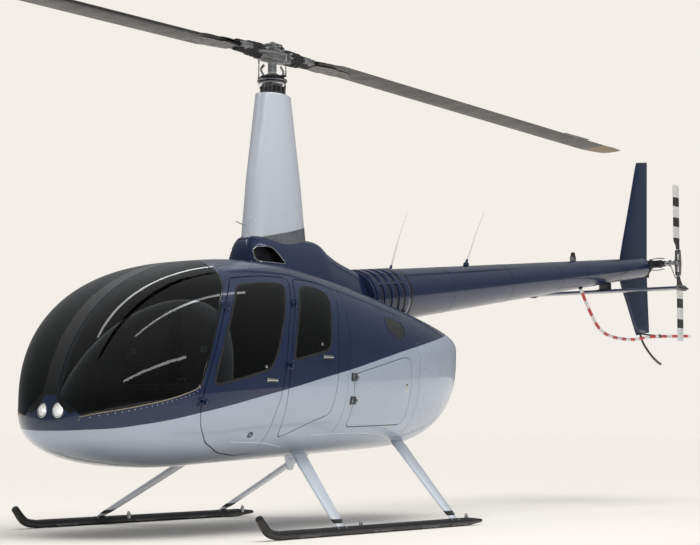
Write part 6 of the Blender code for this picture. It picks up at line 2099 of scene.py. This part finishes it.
def console():
    """Instrument console: pedestal, hooded panel with blank dials, screens, radio stack and knobs."""
    solid = Solid()
    solid.add(*block((-0.105, -1.915, 0.6008), (0.105, -1.680, 0.880), 0.03, 0.008), 0)
    body = slab(rounded([(-1.925, 0.845), (-1.700, 0.845), (-1.668, 0.900), (-1.700, 1.085), (-1.760, 1.115),
                         (-1.925, 1.060)], 0.025), -0.212, 0.212, 0.012, 0)
    solid.add(*body, 0)
    hood = slab(rounded([(-1.928, 1.066), (-1.760, 1.106), (-1.668, 1.090), (-1.672, 1.102), (-1.760, 1.1195),
                         (-1.928, 1.078)], 0.004), -0.219, 0.219, 0.003, 0)
    solid.add(*hood, 1)
    low, high = np.array([-1.6685, 0.905]), np.array([-1.6985, 1.080])
    normal = unit(np.array([0.0, high[1] - low[1], low[0] - high[0]]))
    origin = np.array([0.0, (low[0] + high[0]) / 2, (low[1] + high[1]) / 2])
    for row, z in enumerate((0.050, -0.012)):
        for col in range(4):
            x = -0.150 + 0.100 * col if row == 0 else -0.150 + 0.060 * col
            r = 0.0290 if row == 0 else 0.0235
            spot = placed(np.array([[x, z, 0.0]]), origin, (1, 0, 0), normal)[0]
            solid.add(*hollow(edged([(r - 0.004, -0.002), (r, -0.002), (r + 0.001, 0.004), (r - 0.002, 0.006),
                                     (r - 0.004, 0.003), (r - 0.004, -0.002)], 0.001)[:-1], spot, normal, 36),
                                     2)
            solid.add(*turned([(r - 0.0035, -0.001), (r - 0.0035, 0.0012)], spot, normal, 36), 3)
            ticks, _ = flank(spot + normal * 0.0012, normal, 12, r - 0.0075)
            solid.add(*studs(ticks, np.tile(normal, (12, 1)), 0.0009, 0.0006, 6), 4)
            needle = placed(np.array([(0.0, -0.004, 0.0028), (0.003, r * 0.35, 0.0028),
                                      (0.006, r * 0.62, 0.0028)]),
                            spot, (1, 0, 0), normal)
            solid.add(*pipe(needle, 0.0009, 6, normal), 4)
    screen = block((0.062, -0.058, -0.001), (0.170, 0.012, 0.005), 0.008, 0.002)
    solid.add(placed(screen[0], origin + [0, 0, -0.01], (1, 0, 0), normal), screen[1], 2)
    glass = block((0.068, -0.052, 0.004), (0.164, 0.006, 0.0062), 0.004, 0.0008)
    solid.add(placed(glass[0], origin + [0, 0, -0.01], (1, 0, 0), normal), glass[1], 3)
    for k in range(3):
        radio = block((-0.085, 0.0, 0.0), (0.085, 0.052, 0.0045), 0.005, 0.0015)
        spot = np.array([0.0, -1.6805, 0.665 + k * 0.066])
        solid.add(placed(radio[0], spot, (1, 0, 0), (0, 1, 0)), radio[1], 2)
        for x in (-0.066, 0.066):
            solid.add(*turned(edged([(0.010, 0.0), (0.009, 0.012), (0.006, 0.0135)], 0.001),
                              spot + [x, 0.004, -0.026], (0, 1, 0), 20), 1)
    piece("console_and_panel", solid, several("trim", "black", "dark_steel", "screen_glass", "ivory"),
          "airframe",
          ["instrument_console"])


def controls():
    """The stick with its cross bar and grips, and the pedals."""
    solid = Solid()
    solid.add(*pipe(curve([(0, -1.60, 0.6008), (0, -1.60, 0.80), (0, -1.575, 0.93), (0, -1.52, 1.078)], 40),
                    0.0125,
                    18, (1, 0, 0)), 0)
    solid.add(*turned(edged([(0.032, 0.6008), (0.032, 0.607), (0.024, 0.625), (0.020, 0.66), (0.014, 0.67)],
                            0.004),
                      (0, -1.60, 0), (0, 0, 1), 28), 1)
    piece("cyclic_bar", solid, several("black", "rubber"), "airframe", ["cyclic_stick"])
    bar = Solid()
    bar.add(*pipe(curve([(-0.30, -1.475, 1.045), (-0.20, -1.50, 1.070), (0.0, -1.512, 1.084),
                         (0.20, -1.50, 1.070),
                         (0.30, -1.475, 1.045)], 60), 0.0095, 16), 0)
    for way in (-1.0, 1.0):
        grip = curve([(way * 0.30, -1.475, 1.050), (way * 0.305, -1.468, 0.99), (way * 0.30, -1.478, 0.925)],
                     24)
        bar.add(*pipe(grip, 0.0165, 20, (1, 0, 0), 1 - 0.12 * np.cos(np.linspace(0, 6 * math.pi, 24))), 1)
        for x in (0.13, 0.27):
            pad = block((way * x - 0.035, -1.875, 0.700), (way * x + 0.035, -1.862, 0.790), 0.012, 0.004, 1)
            bar.add(*pad, 1)
            bar.add(*pipe([(way * x, -1.870, 0.6015), (way * x, -1.885, 0.66), (way * x, -1.872, 0.735)],
                          0.008, 14,
                          (1, 0, 0)), 2)
    piece("grips_and_pedals", bar, several("black", "rubber", "steel"), "airframe")


def kept_nodes():
    """Better finishes for the CAD pieces whose own shape is right."""
    for node, finish in {"cabin_floor": "carpet", "firewall": "quilt", "baggage_bay": "carpet",
                         "engine_block": "cast", "main_gearbox": "dark_cast", "front_seat_base": "liner",
                         "rear_seat_base": "liner"}.items():
        obj = NODES[node]
        if not obj.material_slots:
            obj.data.materials.append(finish_of(finish))
        for place in obj.material_slots:
            place.material = finish_of(finish)


# Finishes of single pieces

def striped():
    """White tube with bands in a second colour along its own run."""
    colour = tuple(paint().warning)
    f = Finish("guard_stripes", (0.8, 0.8, 0.8), 0.3, 0.0, 0.6)
    run = f.node("ShaderNodeAttribute", attribute_name="run").outputs["Fac"]
    wave = f.math("FRACT", f.math("MULTIPLY", run, 1 / 0.172))
    band = f.ranged(f.math("SUBTRACT", wave, 0.5), -0.004, 0.004)
    dirt = f.ranged(f.noise(30.0, 5.0), 0.35, 0.8)
    white = f.mix(dirt, (0.62, 0.60, 0.58), (0.86, 0.86, 0.86))
    red = f.mix(dirt, tuple(c * 0.7 for c in colour), colour)
    made = f.node("ShaderNodeMix", {0: band, 6: white, 7: red}, data_type="RGBA")
    f.colour(made.outputs[2])
    f.roughness(0.25, 0.45, 20.0)
    return f.bump(f.noise(120.0, 2.0), 0.05, 0.0004).mat


def banded():
    """White tail blade with black bands by its distance from the hub."""
    f = Finish("tail_blade_bands", (0.8, 0.8, 0.8), 0.35, 0.0, 0.5)
    reach = f.math("ABSOLUTE", f.math("SUBTRACT", f.axis("Z"), float(TAIL_HUB[2])))
    ramp = f.node("ShaderNodeValToRGB", {"Fac": f.math("DIVIDE", reach, 0.8)})
    ramp.color_ramp.interpolation = "CONSTANT"
    edges = [(0.0, 0), (0.24 / 0.8, 1), (0.35 / 0.8, 0), (0.44 / 0.8, 1), (0.55 / 0.8, 0), (0.635 / 0.8, 1)]
    ramp.color_ramp.elements[0].color = (0, 0, 0, 1)
    ramp.color_ramp.elements[1].position = edges[1][0]
    ramp.color_ramp.elements[1].color = (1, 1, 1, 1)
    for place, light in edges[2:]:
        ramp.color_ramp.elements.new(place).color = (light, light, light, 1)
    dirt = f.ranged(f.noise(22.0, 5.0), 0.35, 0.8)
    white, black = f.mix(dirt, (0.60, 0.60, 0.60), (0.84, 0.84, 0.84)), f.mix(dirt, (0.010, 0.010, 0.010),
                                                                              (0.03, 0.03, 0.03))
    made = f.node("ShaderNodeMix", {0: ramp.outputs[0], 6: black, 7: white}, data_type="RGBA")
    f.colour(made.outputs[2])
    f.roughness(0.3, 0.5, 20.0)
    return f.bump(f.noise(160.0, 2.0, (1, 1, 0.1)), 0.06, 0.0004).mat


def blade_paint():
    """Dark blade paint with chordwise rain streaks and an ochre tip."""
    f = Finish("blade_paint", (0.02, 0.02, 0.02), 0.4, 0.0, 0.15)
    run = f.node("ShaderNodeAttribute", attribute_name="run").outputs["Fac"]
    tip = f.ranged(run, 4.668, 4.672)
    streak = f.ranged(f.noise(9.0, 4.0, (0.5, 1.0, 1.0)), 0.35, 0.75)
    dark = f.mix(streak, (0.007, 0.007, 0.008), (0.013, 0.013, 0.013))
    ochre = f.mix(streak, (0.15, 0.085, 0.016), (0.26, 0.155, 0.034))
    made = f.node("ShaderNodeMix", {0: tip, 6: dark, 7: ochre}, data_type="RGBA")
    f.colour(made.outputs[2])
    f.roughness(0.42, 0.56, 8.0)
    return f.bump(f.noise(90.0, 2.0), 0.05, 0.0003).mat


def heated():
    """Exhaust steel: straw and blue bands from heat, with soot towards the mouth."""
    f = Finish("heat_tinted_steel", (0.4, 0.36, 0.32), 0.35, 1.0)
    place = f.math("ADD", f.ranged(f.axis("Z"), 0.65, 1.15), f.math("MULTIPLY", f.noise(6.0, 4.0), 0.25))
    ramp = f.node("ShaderNodeValToRGB", {"Fac": place})
    cr = ramp.color_ramp
    cr.elements[0].color = (0.06, 0.055, 0.05, 1)
    cr.elements[1].color = (0.45, 0.43, 0.40, 1)
    for at, c in ((0.25, (0.20, 0.15, 0.10, 1)), (0.45, (0.42, 0.30, 0.17, 1)), (0.65, (0.22, 0.22, 0.30, 1)),
                  (0.8, (0.42, 0.38, 0.33, 1))):
        cr.elements.new(at).color = c
    f.colour(ramp.outputs[0])
    f.roughness(0.28, 0.55, 12.0)
    return f.bump(f.noise(120.0, 3.0), 0.15, 0.0005).mat


def lit(name, colour, strength):
    """A lamp's bright part: the bulb's own light, or a painted glow on the reflector dish."""
    f = Finish(name, colour, 0.25)
    f.shader.inputs["Emission Color"].default_value = (*colour, 1.0)
    f.shader.inputs["Emission Strength"].default_value = strength
    f.colour(f.varied(colour, f.noise(60.0, 2.0), 0.1))
    return f.mat


def clear_lens():
    """Clear lamp lens with pressed flutes."""
    f = Finish("clear_lens", (0.97, 0.98, 0.98), 0.02)
    f.shader.inputs["Transmission Weight"].default_value = 1.0
    f.shader.inputs["IOR"].default_value = 1.5
    wave = f.node("ShaderNodeTexWave", {"Vector": f.place, "Scale": 70.0}, bands_direction="X").outputs["Fac"]
    f.roughness(0.01, 0.04, 20.0)
    return f.bump(wave, 0.35, 0.0008).mat


def quilted():
    """Quilted acoustic blanket: stitched diamonds on woven cloth, painted shade in the stitch hollows."""
    f = Finish("quilted_blanket", (0.05, 0.05, 0.052), 0.8)
    turned_place = f.node("ShaderNodeMapping", {"Vector": f.place,
                                                "Rotation": (0.0, math.pi / 4, 0.0)}).outputs[0]
    both = []
    for way in ("X", "Z"):
        both.append(f.node("ShaderNodeTexWave", {"Vector": turned_place, "Scale": 5.5}, bands_direction=way,
                           wave_profile="SIN").outputs["Fac"])
    puff = f.math("MULTIPLY", both[0], both[1])
    # Painted light and shade: the cloth is lighter on the puffs and darker in the stitched hollows.
    f.colour(f.mix(puff, (0.025, 0.025, 0.027), (0.065, 0.065, 0.068)))
    f.bump(puff, 0.8, 0.012)
    return f.bump(f.noise(420.0, 2.0), 0.25, 0.0006).mat


def webbing():
    """Woven strap, with painted shade in the grooves of its weave."""
    f = Finish("belt_webbing", (0.03, 0.03, 0.032), 0.75)
    weave = f.node("ShaderNodeTexWave", {"Vector": f.place, "Scale": 160.0},
                   bands_direction="DIAGONAL").outputs["Fac"]
    # Painted light and shade: lighter on the ridges of the weave, darker in its grooves.
    f.colour(f.mix(weave, (0.018, 0.018, 0.020), (0.045, 0.045, 0.048)))
    return f.bump(weave, 0.4, 0.0006).mat


RECIPES.update({
    "screen": lambda: satin("intake_screen", (0.22, 0.24, 0.27), 0.5, 300.0, 0.2, 0.2, 0.6),
    "blade": blade_paint,
    "beacon": lambda: satin("beacon_lens", (0.030, 0.014, 0.014), 0.12, 60.0, 0.1, 0.03),
    "ivory": lambda: satin("ivory_plastic", (0.78, 0.77, 0.74), 0.35, 90.0, 0.06, 0.05),
    "stripes": striped,
    "banded": banded,
    "dark_cast": lambda: metal("dark_cast_alloy", (0.09, 0.09, 0.095), 0.5, grain=90.0, relief=0.3),
    "heat": heated,
    "glow": lambda: lit("lamp_bulb", (1.0, 0.97, 0.90), 3.0),
    # The reflector dish is given a faint glow: painted light, as the dish is no lamp.
    "dish": lambda: lit("lamp_dish_painted_glow", (0.92, 0.93, 0.95), 0.18),
    "clear": clear_lens,
    "quilt": quilted,
    "webbing": webbing,
    "black_leather": lambda: satin("piping_leather", (0.020, 0.019, 0.018), 0.5, 300.0, 0.2, 0.15),
    "screen_glass": lambda: satin("display_glass", (0.006, 0.007, 0.009), 0.08, 40.0, 0.2, 0.01),
})


# Floor, light and camera

def studio():
    """A pale floor and backdrop, even light, two soft suns, three strip lamps and the camera."""
    stage = bpy.context.scene.helicopter_stage
    turn = ring(96)
    radii = np.array([0.0, 3.0, 8.0, 20.0, 60.0, 160.0])
    rows = np.concatenate([np.stack([turn[:, 0] * r, turn[:, 1] * r, np.zeros(96)], -1) for r in radii])
    first, faces, _ = weld(rows, grid_faces(len(radii), 96, round_cols=True))
    mesh = bpy.data.meshes.new("studio_floor")
    mesh.from_pydata(rows[first].tolist(), [], faces.tolist())
    if mesh.polygons[0].normal.z < 0:
        mesh.flip_normals()
    floor = bpy.data.objects.new("studio_floor", mesh)
    bpy.context.scene.collection.objects.link(floor)
    colour = tuple(paint().floor)
    f = Finish("studio_floor", colour, 0.75)
    f.shader.inputs["Specular IOR Level"].default_value = 0.15
    f.colour(f.varied(colour, f.ranged(f.noise(0.6, 3.0), 0.3, 0.7), 0.006))
    mesh.materials.append(f.mat)
    world = bpy.data.worlds.new("studio")
    world.use_nodes = True
    tree = world.node_tree
    back = tree.nodes["Background"]
    back.inputs["Color"].default_value = (*colour, 1.0)
    around = tree.nodes.new("ShaderNodeBackground")
    place = tree.nodes.new("ShaderNodeTexCoord")
    split = tree.nodes.new("ShaderNodeSeparateXYZ")
    ramp = tree.nodes.new("ShaderNodeValToRGB")
    ramp.color_ramp.elements[0].color = (*(stage.horizon * c for c in (0.93, 0.97, 1.0)), 1.0)
    ramp.color_ramp.elements[1].color = (*(stage.sky * c for c in (0.97, 0.99, 1.0)), 1.0)
    ramp.color_ramp.elements[0].position, ramp.color_ramp.elements[1].position = 0.08, 0.75
    path = tree.nodes.new("ShaderNodeLightPath")
    blend = tree.nodes.new("ShaderNodeMixShader")
    for one, other in ((place.outputs["Generated"], split.inputs[0]), (split.outputs["Z"], ramp.inputs[0]),
                       (ramp.outputs[0], around.inputs["Color"]),
                       (path.outputs["Is Camera Ray"], blend.inputs[0]),
                       (around.outputs[0], blend.inputs[1]), (back.outputs[0], blend.inputs[2]),
                       (blend.outputs[0], tree.nodes["World Output"].inputs["Surface"])):
        tree.links.new(one, other)
    bpy.context.scene.world = world
    bpy.context.scene.view_settings.view_transform = "Standard"
    for name, place, power, spread, tint in (
            ("overhead", (2.2, -1.2, 8.0), stage.key, 50.0, (1.0, 0.99, 0.975)),
            ("side", (6.0, 4.0, 4.5), stage.key * 0.22, 40.0, (1.0, 0.99, 0.98))):
        lamp = bpy.data.lights.new(name, "SUN")
        lamp.energy, lamp.angle, lamp.color = power, math.radians(spread), tint
        obj = bpy.data.objects.new(name, lamp)
        bpy.context.scene.collection.objects.link(obj)
        obj.location = place
        obj.rotation_euler = (-Vector(place)).to_track_quat("-Z", "Y").to_euler()
        obj.visible_glossy = False
    for number, (place, target) in enumerate((((2.6, -1.5, 5.2), (0.4, -1.5, 1.2)),
                                              ((-2.2, -1.5, 5.4), (0.0, -1.5, 1.2)),
                                              ((6.5, -4.0, 2.6), (0.5, -1.0, 1.1)))):
        lamp = bpy.data.lights.new(f"strip_{number}", "AREA")
        lamp.shape, lamp.size, lamp.size_y = "RECTANGLE", 0.22, 7.0
        lamp.energy = stage.strips
        obj = bpy.data.objects.new(f"strip_{number}", lamp)
        bpy.context.scene.collection.objects.link(obj)
        aim = (Vector(target) - Vector(place)).normalized()
        across = aim.cross(Vector((0.0, 1.0, 0.0))).normalized()
        basis = Matrix((across, across.cross(aim) * -1.0, -aim)).transposed()
        obj.matrix_world = Matrix.Translation(place) @ basis.to_4x4()
    camera = bpy.data.cameras.new("photo_view")
    camera.lens, camera.sensor_width, camera.sensor_fit = stage.lens, 36.0, "HORIZONTAL"
    camera.clip_start, camera.clip_end = 0.1, 400.0
    yaw, pitch, roll = (math.radians(a) for a in CAMERA_TURN)
    ahead = Vector((math.sin(yaw) * math.cos(pitch), math.cos(yaw) * math.cos(pitch), math.sin(pitch)))
    right = Vector((math.cos(yaw), -math.sin(yaw), 0.0))
    upward = right.cross(ahead)
    turned_right = right * math.cos(roll) + upward * math.sin(roll)
    turned_up = upward * math.cos(roll) - right * math.sin(roll)
    obj = bpy.data.objects.new("photo_view", camera)
    bpy.context.scene.collection.objects.link(obj)
    basis = Matrix((turned_right, turned_up, -ahead)).transposed()
    obj.matrix_world = Matrix.Translation(CAMERA_PLACE) @ basis.to_4x4()
    bpy.context.scene.camera = obj


class HELICOPTER_OT_cabin_skin(bpy.types.Operator):
    """Build the cabin skin with its openings"""

    bl_idname = "helicopter.cabin_skin"
    bl_label = "Cabin skin"

    def execute(self, context):
        cabin_skin()
        return {"FINISHED"}


class HELICOPTER_OT_door_surrounds(bpy.types.Operator):
    """Build the flanges, seals and hinge lugs behind the doors"""

    bl_idname = "helicopter.door_surrounds"
    bl_label = "Door surrounds"

    def execute(self, context):
        door_surrounds()
        return {"FINISHED"}


class HELICOPTER_OT_cabin_doors(bpy.types.Operator):
    """Build the four cabin doors with their windows"""

    bl_idname = "helicopter.cabin_doors"
    bl_label = "Cabin doors"

    def execute(self, context):
        cabin_doors()
        return {"FINISHED"}


class HELICOPTER_OT_windshield(bpy.types.Operator):
    """Build the windshield halves and their edge"""

    bl_idname = "helicopter.windshield"
    bl_label = "Windshield"

    def execute(self, context):
        windshield()
        return {"FINISHED"}


class HELICOPTER_OT_engine_cowling(bpy.types.Operator):
    """Build the cowl panels"""

    bl_idname = "helicopter.engine_cowling"
    bl_label = "Engine cowling"

    def execute(self, context):
        engine_cowling()
        return {"FINISHED"}


class HELICOPTER_OT_baggage_door(bpy.types.Operator):
    """Build the baggage door"""

    bl_idname = "helicopter.baggage_door"
    bl_label = "Baggage door"

    def execute(self, context):
        baggage_door()
        return {"FINISHED"}


class HELICOPTER_OT_base_fairing(bpy.types.Operator):
    """Build the fairing at the foot of the mast"""

    bl_idname = "helicopter.base_fairing"
    bl_label = "Mast base"

    def execute(self, context):
        base_fairing()
        return {"FINISHED"}


class HELICOPTER_OT_mast_cover(bpy.types.Operator):
    """Build the mast fairing with its screen and probe"""

    bl_idname = "helicopter.mast_cover"
    bl_label = "Mast fairing"

    def execute(self, context):
        mast_cover()
        return {"FINISHED"}


class HELICOPTER_OT_fixed_swash(bpy.types.Operator):
    """Build the fixed swashplate and its sleeve"""

    bl_idname = "helicopter.fixed_swash"
    bl_label = "Fixed swashplate"

    def execute(self, context):
        fixed_swash()
        return {"FINISHED"}


class HELICOPTER_OT_rotor_head(bpy.types.Operator):
    """Build the shaft, turning swashplate, links and hub"""

    bl_idname = "helicopter.rotor_head"
    bl_label = "Rotor head"

    def execute(self, context):
        rotor_head()
        return {"FINISHED"}


class HELICOPTER_OT_main_blades(bpy.types.Operator):
    """Build the two main blades"""

    bl_idname = "helicopter.main_blades"
    bl_label = "Main blades"

    def execute(self, context):
        main_blades()
        return {"FINISHED"}


class HELICOPTER_OT_tail_cone(bpy.types.Operator):
    """Build the boom with its seams, collars, beacon and aerials"""

    bl_idname = "helicopter.tail_cone"
    bl_label = "Tail cone"

    def execute(self, context):
        tail_cone()
        return {"FINISHED"}


class HELICOPTER_OT_tail_surfaces(bpy.types.Operator):
    """Build the fin and the stabiliser"""

    bl_idname = "helicopter.tail_surfaces"
    bl_label = "Tail surfaces"

    def execute(self, context):
        tail_surfaces()
        return {"FINISHED"}


class HELICOPTER_OT_tail_guard(bpy.types.Operator):
    """Build the striped guard and the tail skid"""

    bl_idname = "helicopter.tail_guard"
    bl_label = "Tail guard"

    def execute(self, context):
        tail_guard()
        return {"FINISHED"}


class HELICOPTER_OT_tail_drive(bpy.types.Operator):
    """Build the tail gearbox, hub and blades"""

    bl_idname = "helicopter.tail_drive"
    bl_label = "Tail rotor"

    def execute(self, context):
        tail_drive()
        return {"FINISHED"}


class HELICOPTER_OT_landing_gear(bpy.types.Operator):
    """Build the skids and their legs"""

    bl_idname = "helicopter.landing_gear"
    bl_label = "Landing gear"

    def execute(self, context):
        landing_gear()
        return {"FINISHED"}


class HELICOPTER_OT_exhaust(bpy.types.Operator):
    """Build the exhaust duct"""

    bl_idname = "helicopter.exhaust"
    bl_label = "Exhaust"

    def execute(self, context):
        exhaust()
        return {"FINISHED"}


class HELICOPTER_OT_nose_lamps(bpy.types.Operator):
    """Build the landing lights"""

    bl_idname = "helicopter.nose_lamps"
    bl_label = "Nose lamps"

    def execute(self, context):
        nose_lamps()
        return {"FINISHED"}


class HELICOPTER_OT_nose_mask(bpy.types.Operator):
    """Build the black strip and edge bands of the windshield"""

    bl_idname = "helicopter.nose_mask"
    bl_label = "Nose mask"

    def execute(self, context):
        nose_mask()
        return {"FINISHED"}


class HELICOPTER_OT_small_fittings(bpy.types.Operator):
    """Build vents, cap, strips and the belly aerial"""

    bl_idname = "helicopter.small_fittings"
    bl_label = "Fittings"

    def execute(self, context):
        small_fittings()
        return {"FINISHED"}


class HELICOPTER_OT_seats(bpy.types.Operator):
    """Build the seat pads by cloth simulation"""

    bl_idname = "helicopter.seats"
    bl_label = "Seats"

    def execute(self, context):
        seats()
        return {"FINISHED"}


class HELICOPTER_OT_harness(bpy.types.Operator):
    """Build the seat belts"""

    bl_idname = "helicopter.harness"
    bl_label = "Harness"

    def execute(self, context):
        harness()
        return {"FINISHED"}


class HELICOPTER_OT_console(bpy.types.Operator):
    """Build the instrument console"""

    bl_idname = "helicopter.console"
    bl_label = "Console"

    def execute(self, context):
        console()
        return {"FINISHED"}


class HELICOPTER_OT_controls(bpy.types.Operator):
    """Build the stick, grips and pedals"""

    bl_idname = "helicopter.controls"
    bl_label = "Controls"

    def execute(self, context):
        controls()
        return {"FINISHED"}


class HELICOPTER_OT_kept_nodes(bpy.types.Operator):
    """Give the kept CAD pieces their finishes"""

    bl_idname = "helicopter.kept_nodes"
    bl_label = "Kept pieces"

    def execute(self, context):
        kept_nodes()
        return {"FINISHED"}


class HELICOPTER_OT_studio(bpy.types.Operator):
    """Build the floor, the lights and the camera"""

    bl_idname = "helicopter.studio"
    bl_label = "Studio"

    def execute(self, context):
        studio()
        return {"FINISHED"}


# The operators in the order in which main() calls them
OPERATORS = (
    HELICOPTER_OT_cabin_skin,
    HELICOPTER_OT_door_surrounds,
    HELICOPTER_OT_cabin_doors,
    HELICOPTER_OT_windshield,
    HELICOPTER_OT_engine_cowling,
    HELICOPTER_OT_baggage_door,
    HELICOPTER_OT_base_fairing,
    HELICOPTER_OT_mast_cover,
    HELICOPTER_OT_fixed_swash,
    HELICOPTER_OT_rotor_head,
    HELICOPTER_OT_main_blades,
    HELICOPTER_OT_tail_cone,
    HELICOPTER_OT_tail_surfaces,
    HELICOPTER_OT_tail_guard,
    HELICOPTER_OT_tail_drive,
    HELICOPTER_OT_landing_gear,
    HELICOPTER_OT_exhaust,
    HELICOPTER_OT_nose_lamps,
    HELICOPTER_OT_nose_mask,
    HELICOPTER_OT_small_fittings,
    HELICOPTER_OT_seats,
    HELICOPTER_OT_harness,
    HELICOPTER_OT_console,
    HELICOPTER_OT_controls,
    HELICOPTER_OT_kept_nodes,
    HELICOPTER_OT_studio,
)


class VIEW3D_PT_helicopter(bpy.types.Panel):
    """Sidebar panel with the colours, sizes and light, and a button for each group of pieces"""

    bl_idname = "VIEW3D_PT_helicopter"
    bl_label = "Helicopter"
    bl_space_type = "VIEW_3D"
    bl_region_type = "UI"
    bl_category = "Helicopter"

    def draw(self, context):
        scene = context.scene
        for group in (scene.helicopter_paint, scene.helicopter_sizes, scene.helicopter_stage):
            box = self.layout.box()
            for name in type(group).__annotations__:
                box.prop(group, name)
        for operator in OPERATORS:
            self.layout.operator(operator.bl_idname)


SETTINGS = {
    "helicopter_paint": HelicopterPaint,
    "helicopter_sizes": HelicopterSizes,
    "helicopter_stage": HelicopterStage,
}
CLASSES = (*SETTINGS.values(), *OPERATORS, VIEW3D_PT_helicopter)


def register():
    """Register the classes and put their settings on the scene."""
    for one in CLASSES:
        bpy.utils.register_class(one)
    for name, group in SETTINGS.items():
        setattr(bpy.types.Scene, name, PointerProperty(type=group))


def unregister():
    """Take the settings off the scene and unregister the classes."""
    for name in SETTINGS:
        delattr(bpy.types.Scene, name)
    for one in reversed(CLASSES):
        bpy.utils.unregister_class(one)


def main():
    register()
    for operator in OPERATORS:
        getattr(bpy.ops.helicopter, operator.bl_idname.split(".")[1])()


if __name__ == "__main__":
    main()
